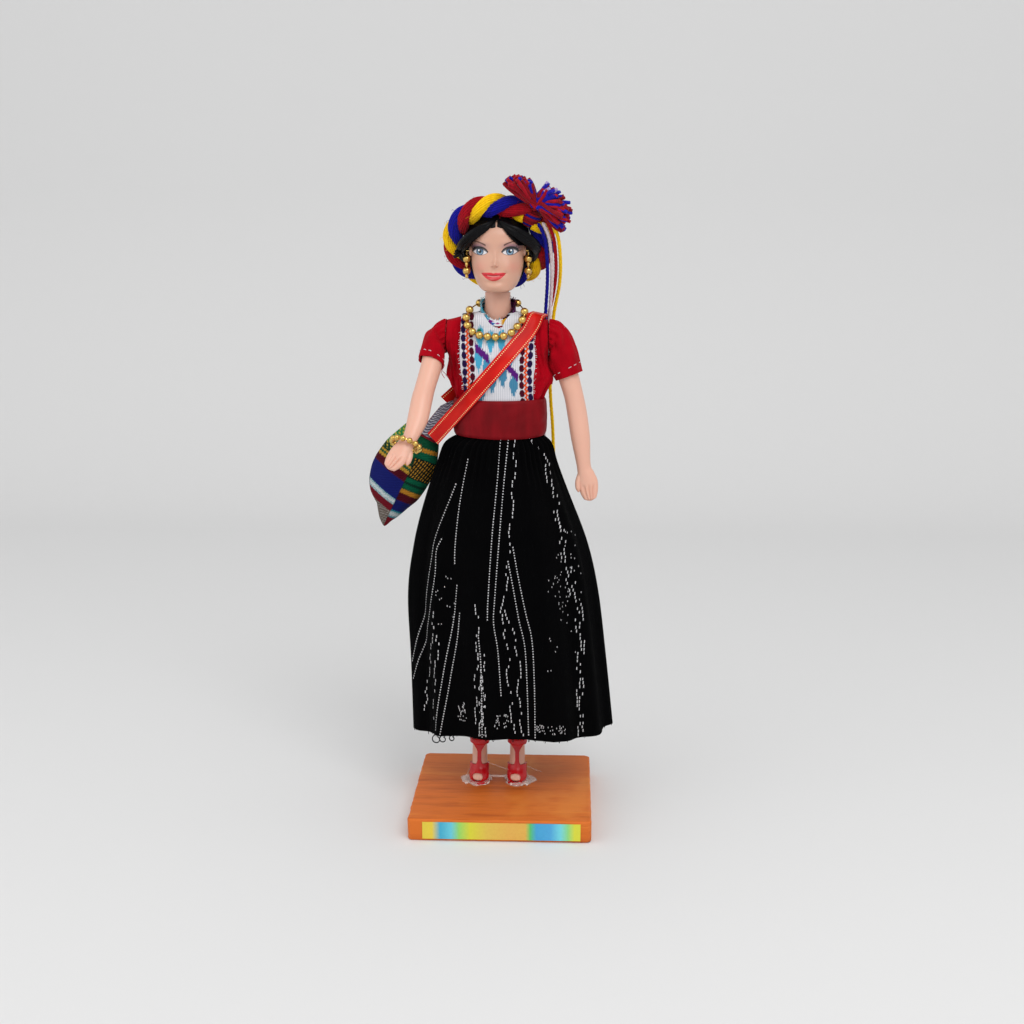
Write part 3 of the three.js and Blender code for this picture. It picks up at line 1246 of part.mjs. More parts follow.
// The pouch's drawn-in top, from the ribbon's ends down to one gap above the pouch.
function bagTopFold() {
  const half = FOLD_PIECE_THICKNESS / 2;
  const lowest = BAG_TOP + GAP + FOLD_PIECE_SLANT * (FOLD_PIECE_END_WIDTH / 2);
  const stations = [
    [[-26.4, 6, BAG_HANG_HEIGHT + 0.3], FOLD_PIECE_END_WIDTH / 2],
    [[-28.6, 6.4, BAG_HANG_HEIGHT - 4.4], FOLD_PIECE_WIDTH / 2],
    [[-33, 7.2, BAG_TOP + 4.4], FOLD_PIECE_WIDTH / 2],
    [[-37.4, BAG_Y, lowest], FOLD_PIECE_END_WIDTH / 2],
  ];
  const rings = stations.map(([[x, y, z], width]) => {
    const [reach, rise] = [0.72 * width, FOLD_PIECE_SLANT * width];
    return [
      [x - reach, y - half, z + rise], [x + reach, y - half, z - rise],
      [x + reach, y + half, z - rise], [x - reach, y + half, z + rise],
    ];
  });
  return piece('bag_top_fold', loft(rings), WOVEN);
}

const headGroup = new THREE.Group();
headGroup.position.z = NECK_TOP;
headGroup.add(
  head(),
  hair(),
  skein('wrap_red', 0, RED_YARN),
  skein('wrap_yellow', 1, YELLOW_YARN),
  skein('wrap_blue', 2, BLUE_YARN),
  wrapKnot(),
  pompom(),
  tail('tail_blue', TAIL_BLUE, BLUE_YARN),
  tail('tail_white', TAIL_WHITE, WHITE_YARN),
  tail('tail_red', TAIL_RED, RED_YARN),
  tail('tail_yellow', TAIL_YELLOW, YELLOW_YARN),
  ...earring('right', -1),
  ...earring('left', 1),
);

const armGroup = new THREE.Group();
armGroup.position.z = SHOULDER_HEIGHT;
armGroup.add(
  arm('arm_right', -1, RIGHT_ARM, RIGHT_THUMB),
  arm('arm_left', 1, LEFT_ARM, LEFT_THUMB),
  sleeve('sleeve_right', -1, RIGHT_HEM),
  sleeve('sleeve_left', 1, LEFT_HEM),
  bracelet(),
);

const upperBody = new THREE.Group();
upperBody.position.z = HIP_HEIGHT;
upperBody.add(
  ...torsoHalves(),
  neckPost(),
  blouseBody(),
  blousePanel(),
  collar(),
  sash(),
  skirt(),
  ribbon(),
  necklace(),
  bagPouch(),
  bagTopFold(),
  armGroup,
  headGroup,
);

const doll = new THREE.Group();
doll.position.set(DOLL_X, DOLL_Y, BASE_THICKNESS);
doll.add(
  leg('leg_right', -1),
  leg('leg_left', 1),
  shoe('shoe_right', -1),
  shoe('shoe_left', 1),
  gluePad('glue_pad_right', -1),
  gluePad('glue_pad_left', 1),
  hipAxle(),
  upperBody,
);

const group = new THREE.Group();
group.add(baseBlock(), labelStrip(), doll);

export default group;
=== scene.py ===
"""The looks of a costume doll on a painted wooden base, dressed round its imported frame.

Lengths are millimetres and turn into metres when a mesh is written. The doll faces -Y.
"Right" and "left" are the doll's own sides, so its right is at -X.
"""

import json
import logging
import math
from dataclasses import dataclass, field
from enum import Enum
from functools import cached_property
from typing import Sequence

import bpy
import numpy as np
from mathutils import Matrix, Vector


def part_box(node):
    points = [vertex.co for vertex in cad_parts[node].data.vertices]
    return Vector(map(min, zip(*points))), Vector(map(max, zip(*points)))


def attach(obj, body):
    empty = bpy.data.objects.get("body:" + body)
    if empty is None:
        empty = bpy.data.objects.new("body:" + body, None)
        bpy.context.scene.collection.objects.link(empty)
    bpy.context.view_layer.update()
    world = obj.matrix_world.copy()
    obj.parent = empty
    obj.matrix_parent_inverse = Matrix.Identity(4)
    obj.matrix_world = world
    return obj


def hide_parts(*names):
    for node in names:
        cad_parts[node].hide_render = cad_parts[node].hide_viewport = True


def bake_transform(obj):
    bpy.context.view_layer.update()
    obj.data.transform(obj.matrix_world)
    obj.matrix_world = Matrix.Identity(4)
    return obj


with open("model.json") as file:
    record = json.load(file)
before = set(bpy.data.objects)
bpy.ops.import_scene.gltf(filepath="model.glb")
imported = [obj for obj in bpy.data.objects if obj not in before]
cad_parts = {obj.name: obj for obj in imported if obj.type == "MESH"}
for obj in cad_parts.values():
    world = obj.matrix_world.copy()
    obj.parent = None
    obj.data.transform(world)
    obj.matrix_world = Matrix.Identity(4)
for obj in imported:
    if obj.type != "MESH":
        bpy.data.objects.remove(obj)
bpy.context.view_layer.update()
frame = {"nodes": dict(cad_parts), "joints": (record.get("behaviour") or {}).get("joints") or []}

Array = np.ndarray
LOG = logging.getLogger("costume_doll")
MM = 0.001
TURN = 2 * math.pi
GAP = 0.3


def joint_place(name: str) -> Array:
    """A joint's pivot in millimetres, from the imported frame."""
    joint = next(each for each in frame["joints"] if each["name"] == name)
    return np.array(joint["pos_m"], float) / MM


HIP = joint_place("hip_lean")
SHOULDER = np.array([HIP[0], HIP[1], joint_place("shoulder_right")[2]])
NECK_TOP = 94.5
NECK = HIP + np.array([0, 0, NECK_TOP])
BASE_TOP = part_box("base_block")[1][2] / MM
GROUND = np.array([HIP[0], HIP[1], BASE_TOP])
SHOULDER_HEIGHT = SHOULDER[2] - HIP[2]


class Body(Enum):
    """The bodies of the frame that a piece can ride on."""

    BASE = "base"
    TORSO = "torso"
    HEAD = "head"
    ARM_RIGHT = "arm_right"
    ARM_LEFT = "arm_left"
    EARRING_RIGHT = "earring_right"
    EARRING_LEFT = "earring_left"
    BAG = "bag"


class Side(Enum):
    """The doll's two sides, with the sign of X on each."""

    RIGHT = -1
    LEFT = 1

    @property
    def word(self) -> str:
        """The side's name inside a piece's name."""
        return self.name.lower()

    @property
    def arm(self) -> Body:
        """The body of the arm on this side."""
        return Body.ARM_RIGHT if self is Side.RIGHT else Body.ARM_LEFT

    @property
    def earring(self) -> Body:
        """The body of the earring on this side."""
        return Body.EARRING_RIGHT if self is Side.RIGHT else Body.EARRING_LEFT


def linear(code: str) -> Array:
    """Linear red, green and blue of a six-figure colour code such as b0051a."""
    value = np.array([int(code[i:i + 2], 16) for i in (0, 2, 4)]) / 255
    return np.where(value <= 0.04045, value / 12.92, ((value + 0.055) / 1.055) ** 2.4)


def rgba(code: str) -> tuple[float, float, float, float]:
    """A colour code as an opaque linear colour for a shader socket."""
    return (*linear(code).tolist(), 1.0)


def ease(value: Array, low: float, high: float) -> Array:
    """A soft step from 0 at low to 1 at high, level at both ends."""
    share = np.clip((value - low) / (high - low), 0, 1)
    return share * share * (3 - 2 * share)


def hump(value: Array, centre: float, width: float) -> Array:
    """A bell of height 1 at the centre, falling off over the width."""
    return np.exp(-((value - centre) / width) ** 2)


def full_turn(count: int) -> Array:
    """Angles at even steps once round, without the last, which is the first again."""
    return np.arange(count) / count * TURN


def bent(value: Array, power: float) -> Array:
    """A value's size raised to a power, with its sign kept."""
    return np.sign(value) * np.abs(value) ** power


def lay(colour: Array, share: Array, tone: str) -> None:
    """Mix a tone into colours by a share or a mask."""
    colour += (linear(tone) - colour) * np.asarray(share, float)[..., None]


def palette(*codes: str) -> Array:
    """Linear colours of several colour codes, one row each."""
    return np.array([linear(code) for code in codes])


def grid_of(x: Array, y: Array, z: Array) -> Array:
    """Places by their three coordinates, which are spread over one grid."""
    return np.stack(np.broadcast_arrays(x, y, z), axis=-1)


def spokes(angle: Array, first: Array, second: Array) -> Array:
    """Directions at angles from one direction towards another: cosine of the one, sine of the other."""
    return np.cos(angle)[..., None] * first + np.sin(angle)[..., None] * second


def bow(start: Array, middle: Array, end: Array, share: Array) -> Array:
    """A quadratic curve from start to end that leans to the middle: Bernstein weights of the share."""
    return (1 - share) ** 2 * start + 2 * share * (1 - share) * middle + share**2 * end


def spline(points: Array, count: int) -> Array:
    """A smooth curve through control points.

    Each sample mixes its four nearest control points with the Catmull-Rom cubic weights.

    Args:
        points: Control points, one row each, of any number of columns.
        count: How many samples to take, evenly from the first point to the last.

    Returns:
        The samples, one row each.
    """
    known = np.asarray(points, float)
    padded = np.vstack([2 * known[0] - known[1], known, 2 * known[-1] - known[-2]])
    place = np.linspace(0, len(known) - 1, count)
    cell = np.minimum(place.astype(int), len(known) - 2)
    f = (place - cell)[:, None]
    a, b, c, d = padded[cell], padded[cell + 1], padded[cell + 2], padded[cell + 3]
    square, cube = (2 * a - 5 * b + 4 * c - d) * f**2, (3 * b - a - 3 * c + d) * f**3
    return 0.5 * (2 * b + (c - a) * f + square + cube)


def rows_at(rows: Sequence[Sequence[float]], level: Array) -> list[Array]:
    """Every column of a table after its first, read smoothly at levels of the first.

    Args:
        rows: A table whose first column rises.
        level: Values of the first column to read the others at.

    Returns:
        One array for each column after the first, shaped as level.
    """
    dense = spline(np.array(rows, float), 40 * len(rows))
    return [np.interp(level, dense[:, 0], dense[:, k]) for k in range(1, dense.shape[1])]


def ripple(points: Array, wavelength: float, seed: int, waves: int = 14) -> Array:
    """Smooth noise: the sum of sine waves in random directions near one wavelength.

    Args:
        points: Places, with their coordinates along the last axis.
        wavelength: Typical distance between two crests, in the points' unit.
        seed: Seed of the random directions, lengths and phases.
        waves: How many waves are summed.

    Returns:
        Values mostly between -1 and 1, one for each place.
    """
    rng = np.random.default_rng(seed)
    heading = rng.normal(size=(waves, points.shape[-1]))
    heading /= np.linalg.norm(heading, axis=1, keepdims=True)
    pace = TURN / wavelength * rng.uniform(0.6, 1.5, waves)
    phase = rng.uniform(0, TURN, waves)
    return np.sin(points @ (heading * pace[:, None]).T + phase).sum(-1) / math.sqrt(waves)


def unit(vectors: Array) -> Array:
    """Vectors along the last axis scaled to length 1."""
    return vectors / np.maximum(np.linalg.norm(vectors, axis=-1, keepdims=True), 1e-9)


def path_length(points: Array) -> Array:
    """Distance along a path from its first point to each of its points."""
    steps = np.linalg.norm(np.diff(points, axis=0), axis=1)
    return np.concatenate([[0], np.cumsum(steps)])


@dataclass
class Shape:
    """A mesh being made: its points, its faces by corner count, and what is painted on it."""

    points: Array
    faces: list[Array]
    uvs: list[Array]
    colours: Array | None = None

    def moved(self, offset: Sequence[float]) -> "Shape":
        """The same shape shifted by an offset."""
        return Shape(self.points + np.asarray(offset, float), self.faces, self.uvs, self.colours)

    def painted(self, colour: Array) -> "Shape":
        """The same shape in one linear colour, or one colour for each point."""
        colours = np.broadcast_to(colour, (len(self.points), 3)).copy()
        return Shape(self.points, self.faces, self.uvs, colours)

    def compact(self) -> "Shape":
        """The same shape without the points that no face uses.

        Returns:
            The smaller shape.
        """
        used, packed = np.unique(np.concatenate([f.ravel() for f in self.faces]), return_inverse=True)
        sizes = np.cumsum([f.size for f in self.faces])[:-1]
        parts = np.split(packed, sizes)
        faces = [part.reshape(f.shape) for part, f in zip(parts, self.faces)]
        colours = None if self.colours is None else self.colours[used]
        return Shape(self.points[used], faces, self.uvs, colours)

    def build(self, name: str) -> bpy.types.Object:
        """Write the shape into a new object at the origin, with its UV map and its paint.

        Args:
            name: Name of the piece.

        Returns:
            The new object.
        """
        mesh = bpy.data.meshes.new(name)
        corners = np.concatenate([f.ravel() for f in self.faces]).astype(np.int32)
        counts = np.concatenate([np.full(len(f), f.shape[1]) for f in self.faces])
        starts = np.concatenate([[0], np.cumsum(counts)[:-1]]).astype(np.int32)
        mesh.vertices.add(len(self.points))
        mesh.vertices.foreach_set("co", (self.points * MM).astype(np.float32).ravel())
        mesh.loops.add(len(corners))
        mesh.loops.foreach_set("vertex_index", corners)
        mesh.polygons.add(len(counts))
        mesh.polygons.foreach_set("loop_start", starts)
        mesh.update(calc_edges=True)
        uv_map = mesh.uv_layers.new(name="UVMap")
        flat = np.concatenate([u.reshape(-1, 2) for u in self.uvs]) * MM
        uv_map.data.foreach_set("uv", flat.astype(np.float32).ravel())
        if self.colours is not None:
            paint = mesh.color_attributes.new(name="Paint", type="FLOAT_COLOR", domain="POINT")
            full = np.concatenate([self.colours, np.ones((len(self.colours), 1))], axis=1)
            paint.data.foreach_set("color", full.astype(np.float32).ravel())
        mesh.validate()
        mesh.polygons.foreach_set("use_smooth", np.ones(len(mesh.polygons), bool))
        mesh.set_sharp_from_angle(angle=math.radians(55))
        piece = bpy.data.objects.new(name, mesh)
        bpy.context.scene.collection.objects.link(piece)
        return piece


def joined(shapes: Sequence[Shape]) -> Shape:
    """Several shapes as one; unpainted ones turn white if any of them is painted.

    Args:
        shapes: The parts, in order.

    Returns:
        The mesh.
    """
    starts = np.cumsum([0] + [len(s.points) for s in shapes])
    faces = [f + start for s, start in zip(shapes, starts) for f in s.faces]
    uvs = [u for s in shapes for u in s.uvs]
    colours = None
    if any(s.colours is not None for s in shapes):
        colours = np.concatenate([
            np.ones((len(s.points), 3)) if s.colours is None else s.colours for s in shapes
        ])
    return Shape(np.concatenate([s.points for s in shapes]), faces, uvs, colours)


def corner_grids(grid: Array) -> list[Array]:
    """The four corners of every cell of a grid, counter-clockwise, as four arrays."""
    return [grid[:-1, :-1], grid[:-1, 1:], grid[1:, 1:], grid[1:, :-1]]


def closed_grid(points: Array, wrap: bool) -> Array:
    """A grid with its first column repeated at its end where it wraps."""
    return np.concatenate([points, points[:, :1]], axis=1) if wrap else points


def plain_uv(points: Array, wrap: bool) -> Array:
    """UV in millimetres for a grid: mean distance round it and mean distance along it.

    Args:
        points: Grid of places, rows along the shape and columns round it.
        wrap: Whether the last column joins the first, which adds a column of UV.

    Returns:
        A grid of UV with one more column than the points where it wraps.
    """
    closed = closed_grid(points, wrap)
    across = np.linalg.norm(np.diff(closed, axis=1), axis=-1).mean(0)
    along = np.linalg.norm(np.diff(closed, axis=0), axis=-1).mean(1)
    u, v = (np.concatenate([[0], np.cumsum(steps)]) for steps in (across, along))
    return np.stack(np.meshgrid(u, v), axis=-1)


def skin(points: Array, wrap: bool = True, ring: bool = False, ends: bool = True,
         uv: Array | None = None, colours: Array | None = None) -> Shape:
    """A surface through a grid of points, closed round each row and capped at both ends.

    Columns run counter-clockwise seen from the last row, so that the faces point outwards.

    Args:
        points: Grid of places, rows along the shape and columns round it.
        wrap: Whether the last column joins the first.
        ring: Whether the last row joins the first.
        ends: Whether the first and last rows are closed to a point at their middle.
        uv: UV in millimetres, with one more column than the points where the grid wraps.
        colours: Linear colour of each point.

    Returns:
        The surface.
    """
    rows, columns = points.shape[:2]
    index = np.arange(rows * columns).reshape(rows, columns)
    index = closed_grid(index, wrap)
    uv = plain_uv(points, wrap) if uv is None else uv
    if ring:
        index = np.concatenate([index, index[:1]])
        uv = np.concatenate([uv, uv[-1:] + uv[1:2] - uv[:1]])
    faces = [np.stack(corner_grids(index), axis=-1).reshape(-1, 4)]
    uvs = [np.stack(corner_grids(uv), axis=2).reshape(-1, 4, 2)]
    flat = points.reshape(-1, 3)
    paint = None if colours is None else colours.reshape(-1, 3)
    if ends and not ring:
        for row, turned in ((0, True), (rows - 1, False)):
            centre = np.full(index.shape[1] - 1, len(flat))
            flat = np.vstack([flat, points[row].mean(0)])
            low, high = index[row, :-1], index[row, 1:]
            order = (centre, high, low) if turned else (centre, low, high)
            faces.append(np.stack(order, axis=-1))
            a, b = uv[row, :-1], uv[row, 1:]
            middle = (a + b) / 2
            uvs.append(np.stack((middle, b, a) if turned else (middle, a, b), axis=1))
            if paint is not None:
                paint = np.vstack([paint, colours[row].mean(0)])
    return Shape(flat, faces, uvs, paint)


def shell(outer: Array, inner: Array, wrap: bool = False, keep: Array | None = None,
          uv: Array | None = None, colours: Array | None = None) -> Shape:
    """A sheet with thickness: two grids of like shape and a rim round every edge and hole.

    Args:
        outer: Grid of places on the outer face.
        inner: Grid of places on the inner face.
        wrap: Whether the last column joins the first.
        keep: Which cells are there; all of them if it isn't given.
        uv: UV in millimetres, with one more column than the points where the grid wraps.
        colours: Linear colour of each point, for both faces.

    Returns:
        The closed sheet.
    """
    rows, columns = outer.shape[:2]
    index = np.arange(rows * columns).reshape(rows, columns)
    uv = plain_uv(outer, wrap) if uv is None else uv
    a, b, c, d = corner_grids(closed_grid(index, wrap))
    ua, ub, uc, ud = corner_grids(uv)
    keep = np.ones(a.shape, bool) if keep is None else keep
    under = rows * columns
    faces = [
        np.stack((a, b, c, d), axis=-1)[keep],
        np.stack((a, d, c, b), axis=-1)[keep] + under,
    ]
    uvs = [np.stack((ua, ub, uc, ud), axis=2)[keep], np.stack((ua, ud, uc, ub), axis=2)[keep]]
    bounded = np.pad(keep, ((1, 1), (0, 0)))
    sideways = np.pad(keep, ((0, 0), (1, 1)), mode="wrap" if wrap else "constant")
    edges = (
        (b, a, ub, ua, bounded[:-2]),
        (c, b, uc, ub, sideways[:, 2:]),
        (d, c, ud, uc, bounded[2:]),
        (a, d, ua, ud, sideways[:, :-2]),
    )
    for first, second, first_uv, second_uv, neighbour in edges:
        rim = keep & ~neighbour
        faces.append(np.stack((first, second, second + under, first + under), axis=-1)[rim])
        uvs.append(np.stack((first_uv, second_uv, second_uv, first_uv), axis=2)[rim])
    filled = [k for k, f in enumerate(faces) if len(f)]
    points = np.concatenate([outer.reshape(-1, 3), inner.reshape(-1, 3)])
    both = None if colours is None else np.concatenate([colours.reshape(-1, 3)] * 2)
    return Shape(points, [faces[k] for k in filled], [uvs[k] for k in filled], both).compact()


def grid_normals(points: Array, wrap: bool) -> Array:
    """Outward unit normals of a grid whose columns run counter-clockwise.

    Args:
        points: The grid of points.
        wrap: Whether the columns close.

    Returns:
        One unit normal for each point.
    """
    if wrap:
        closed = np.concatenate([points[:, -1:], points, points[:, :1]], axis=1)
        across = np.gradient(closed, axis=1)[:, 1:-1]
    else:
        across = np.gradient(points, axis=1)
    return unit(np.cross(across, np.gradient(points, axis=0)))


def sampled(grid: Array, row: Array, column: Array) -> Array:
    """Places between the points of a grid whose columns wrap: means of four points by nearness.

    Args:
        grid: The grid of points.
        row: Places between rows.
        column: Places between columns.

    Returns:
        One point for each place.
    """
    low = np.clip(row.astype(int), 0, len(grid) - 2)
    left = np.floor(column).astype(int)
    up, across = (row - low)[..., None], (column - left)[..., None]
    a, b = left % grid.shape[1], (left + 1) % grid.shape[1]
    under = grid[low, a] * (1 - across) + grid[low, b] * across
    over = grid[low + 1, a] * (1 - across) + grid[low + 1, b] * across
    return under * (1 - up) + over * up


def level_rings(level: Array, columns: int, a: Array, b: Array, yc: Array | float = 0,
                xc: Array | float = 0, power: float = 2) -> Array:
    """Level rings one above another: superellipses whose corners fill out above power 2.

    Args:
        level: Height of each ring.
        columns: How many points each ring has.
        a: Half width of each ring.
        b: Half depth of each ring.
        yc: Centre y of each ring.
        xc: Centre x of each ring.
        power: Superellipse power.

    Returns:
        Grid of places, rows upwards and columns counter-clockwise seen from above.
    """
    angle = full_turn(columns)
    cosine, sine = bent(np.cos(angle), 2 / power), bent(np.sin(angle), 2 / power)
    wide, deep, middle_y, middle_x, height = (
        np.broadcast_to(np.asarray(value, float), level.shape)[:, None] for value in (a, b, yc, xc, level)
    )
    return grid_of(middle_x + wide * cosine, middle_y + deep * sine, height)


def tubes(paths: Array, radii: Array | float, sides: int = 6, reference: Sequence[float] = (0, 0, 1),
          flatten: float = 1.0, colours: Array | None = None) -> Shape:
    """Round bars along many paths at once, closed at both ends.

    At each station a circle lies square to the path: one of its axes is the reference made
    square to the path, the other the cross product of the two.

    Args:
        paths: Places by path, station and coordinate.
        radii: Radius, one value or an array that fits the paths and stations.
        sides: Corners round each bar.
        reference: A direction that no path runs along, one for all or one for each station.
        flatten: Share of the radius kept along the reference.
        colours: One linear colour for each path.

    Returns:
        All the bars as one shape.
    """
    count, stations = paths.shape[:2]
    along = unit(np.gradient(paths, axis=1))
    guide = np.broadcast_to(np.asarray(reference, float), paths.shape)
    first = unit(guide - (guide * along).sum(-1, keepdims=True) * along)
    second = np.cross(along, first)
    angle = full_turn(sides)
    radius = np.broadcast_to(radii, (count, stations))[..., None, None]
    points = paths[:, :, None] + radius * (
        flatten * np.cos(angle)[:, None] * first[:, :, None] + np.sin(angle)[:, None] * second[:, :, None]
    )
    index = np.arange(count * stations * sides).reshape(count, stations, sides)
    around = np.roll(index, -1, axis=2)
    quads = np.stack((index[:, :-1], around[:, :-1], around[:, 1:], index[:, 1:]), axis=-1).reshape(-1, 4)
    caps = np.concatenate([index[:, 0, ::-1], index[:, -1]])
    v = np.linalg.norm(np.diff(paths, axis=1), axis=-1).cumsum(1)
    v = np.concatenate([np.zeros((count, 1)), v], axis=1)
    u = np.arange(sides + 1) / sides * TURN * float(np.mean(radii))
    uv = np.stack(np.broadcast_arrays(u[None, None, :], v[:, :, None]), axis=-1)
    quad_uv = np.stack((uv[:, :-1, :-1], uv[:, :-1, 1:], uv[:, 1:, 1:], uv[:, 1:, :-1]), axis=3)
    cap_uv = np.concatenate([uv[:, 0, :-1][:, ::-1], uv[:, -1, :-1]])
    paint = None if colours is None else np.repeat(colours, stations * sides, axis=0)
    return Shape(points.reshape(-1, 3), [quads, caps], [quad_uv.reshape(-1, 4, 2), cap_uv], paint)


def ball_shape(rows: int = 12, columns: int = 20) -> Shape:
    """A unit ball at the origin: rings at even latitudes, closed at both poles."""
    latitude = (np.arange(rows) + 0.5) / rows * math.pi - math.pi / 2
    return skin(level_rings(np.sin(latitude), columns, np.cos(latitude), np.cos(latitude)))


def stamped(shape: Shape, centres: Array, radii: Array) -> Shape:
    """Copies of a shape, each scaled by its own radii and moved to its own centre.

    Args:
        shape: What is copied.
        centres: A place for each copy.
        radii: The scale: one for all, or by copy or axis.

    Returns:
        The mesh.
    """
    copies = len(centres)
    sizes = np.broadcast_to(np.asarray(radii, float), (copies, 3))
    points = shape.points[None] * sizes[:, None] + np.asarray(centres, float)[:, None]
    shift = np.arange(copies) * len(shape.points)
    faces = [(f[None] + shift[:, None, None]).reshape(-1, f.shape[1]) for f in shape.faces]
    uvs = [np.tile(u, (copies, 1, 1)) for u in shape.uvs]
    return Shape(points.reshape(-1, 3), faces, uvs)


class Shader:
    """One material being built: its node tree, with short words for the usual nodes."""

    def __init__(self, name: str) -> None:
        """Start a material of the given name with its principled shader.

        Args:
            name: Name of the material.
        """
        self.material = bpy.data.materials.new(name)
        self.material.use_nodes = True
        self.tree = self.material.node_tree
        self.surface = self.tree.nodes["Principled BSDF"]

    def node(self, kind: str, inputs: dict | None = None, **settings: object) -> bpy.types.Node:
        """Add a node, set its options, and set or link its inputs by name or number.

        Args:
            kind: Blender's word for the node.
            inputs: Values or outputs by input.
            settings: The node's options.

        Returns:
            The node.
        """
        node = self.tree.nodes.new(kind)
        for key, value in settings.items():
            setattr(node, key, value)
        for key, value in (inputs or {}).items():
            self.feed(node.inputs[key], value)
        return node

    def feed(self, socket: bpy.types.NodeSocket, value: object) -> None:
        """Link an output to a socket, or write a plain value on it.

        Args:
            socket: The input.
            value: An output or a plain value.
        """
        if isinstance(value, bpy.types.NodeSocket):
            self.tree.links.new(value, socket)
        else:
            socket.default_value = value

    def put(self, **values: object) -> None:
        """Set or link sockets of the principled shader; underscores stand for spaces."""
        for key, value in values.items():
            self.feed(self.surface.inputs[key.replace("_", " ")], value)

    def place(self, scale: Sequence[float] = (1, 1, 1), turn: Sequence[float] = (0, 0, 0),
              uv: bool = False) -> bpy.types.NodeSocket:
        """Object coordinates, or the piece's own UV, through a mapping.

        Args:
            scale: Scale by axis.
            turn: Turn by axis, in radians.
            uv: Whether to use the UV map.

        Returns:
            The mapped coordinates.
        """
        source = self.node("ShaderNodeTexCoord").outputs["UV" if uv else "Object"]
        mapping = self.node("ShaderNodeMapping", {"Vector": source, "Scale": scale, "Rotation": turn})
        return mapping.outputs[0]

    def noise(self, size: float, detail: float = 3, rough: float = 0.5,
              place: bpy.types.NodeSocket | None = None) -> bpy.types.NodeSocket:
        """Noise with features of a size in millimetres."""
        inputs = {"Vector": place or self.place(), "Scale": 1 / (size * MM)}
        return self.node("ShaderNodeTexNoise", {**inputs, "Detail": detail, "Roughness": rough}).outputs[0]

    def maths(self, operation: str, first: object, second: object = 0.0,
              third: object = 0.0) -> bpy.types.NodeSocket:
        """One arithmetic step on one, two or three values."""
        inputs = {0: first, 1: second, 2: third}
        return self.node("ShaderNodeMath", inputs, operation=operation).outputs[0]

    def mix(self, share: object, first: object, second: object,
            blend: str = "MIX") -> bpy.types.NodeSocket:
        """A mix of two colours by a share.

        Args:
            share: Share of the second colour.
            first: The first colour.
            second: The second colour.
            blend: The kind of mix.

        Returns:
            The mixed colour.
        """
        node = self.node("ShaderNodeMix", data_type="RGBA", blend_type=blend)
        self.feed(node.inputs[0], share)
        self.feed(node.inputs[6], first)
        self.feed(node.inputs[7], second)
        return node.outputs[2]

    def ramp(self, value: bpy.types.NodeSocket, stops: Sequence[tuple[float, object]],
             steps: bool = False) -> bpy.types.NodeSocket:
        """A colour read off a ramp of (place, colour code) or (place, grey) stops.

        Args:
            value: What is looked up.
            stops: Places and colours.
            steps: Whether it steps from stop to stop.

        Returns:
            The colour found.
        """
        node = self.node("ShaderNodeValToRGB", {0: value})
        band = node.color_ramp
        band.interpolation = "CONSTANT" if steps else "LINEAR"
        while len(band.elements) < len(stops):
            band.elements.new(0.5)
        for element, (place, tone) in zip(band.elements, stops):
            element.position = place
            element.color = rgba(tone) if isinstance(tone, str) else (tone, tone, tone, 1)
        return node.outputs[0]

    def paint(self) -> bpy.types.NodeSocket:
        """The colour painted on the piece's own points."""
        return self.node("ShaderNodeAttribute", attribute_name="Paint").outputs["Color"]

    def weave(self, pitch: float, uv: bool = True) -> bpy.types.NodeSocket:
        """Height of a plain weave: threads that pass over and under each other, pitch in mm.

        The height is sin(u) times sin(v), made positive and even, so that crossings alternate.

        Args:
            pitch: Distance between threads in mm.
            uv: Whether to use the UV map.

        Returns:
            The height.
        """
        parts = self.node("ShaderNodeSeparateXYZ", {0: self.place(uv=uv)})
        rate = math.pi / (pitch * MM)
        u = self.maths("SINE", self.maths("MULTIPLY", parts.outputs[0], rate))
        v = self.maths("SINE", self.maths("MULTIPLY", parts.outputs[1 if uv else 2], rate))
        return self.maths("ABSOLUTE", self.maths("MULTIPLY", u, v))

    def bump(self, height: bpy.types.NodeSocket, depth: float, strength: float = 1.0,
             under: bpy.types.NodeSocket | None = None) -> bpy.types.NodeSocket:
        """A normal bent by a height of the given depth in millimetres, over another normal.

        Args:
            height: The height.
            depth: Its depth in mm.
            strength: How strongly.
            under: The normal beneath.

        Returns:
            The bent normal.
        """
        inputs: dict = {"Height": height, "Distance": depth * MM, "Strength": strength}
        if under is not None:
            inputs["Normal"] = under
        return self.node("ShaderNodeBump", inputs).outputs[0]


@dataclass(frozen=True)
class PaintedWood:
    """Orange brush paint over wood: streaks along the grain, thin worn patches, a dull gloss."""

    name: str = "painted_wood"
    body: str = "d26c24"
    light: str = "df8434"
    dark: str = "b5561a"

    def material(self) -> bpy.types.Material:
        """Build the material; streaks are noise drawn out along X.

        Returns:
            The material.
        """
        s = Shader(self.name)
        streaks = s.noise(9, 5, 0.6, s.place((0.12, 1, 1)))
        fine = s.noise(2.2, 4, 0.7, s.place((0.1, 1, 1)))
        patches = s.noise(26, 3)
        colour = s.ramp(streaks, [(0.34, self.dark), (0.47, self.body), (0.56, self.body), (0.7, self.light)])
        scratches = s.maths("MULTIPLY", s.ramp(fine, [(0.5, 0.0), (0.62, 1.0)]), 0.35)
        colour = s.mix(scratches, colour, rgba(self.dark))
        colour = s.mix(s.ramp(patches, [(0.56, 0.0), (0.68, 0.6)]), colour, rgba(self.light))
        s.put(Base_Color=colour, Roughness=0.55, Specular_IOR_Level=0.25)
        s.put(Normal=s.bump(fine, 0.12, 0.5, s.bump(streaks, 0.4, 0.5)))
        return s.material


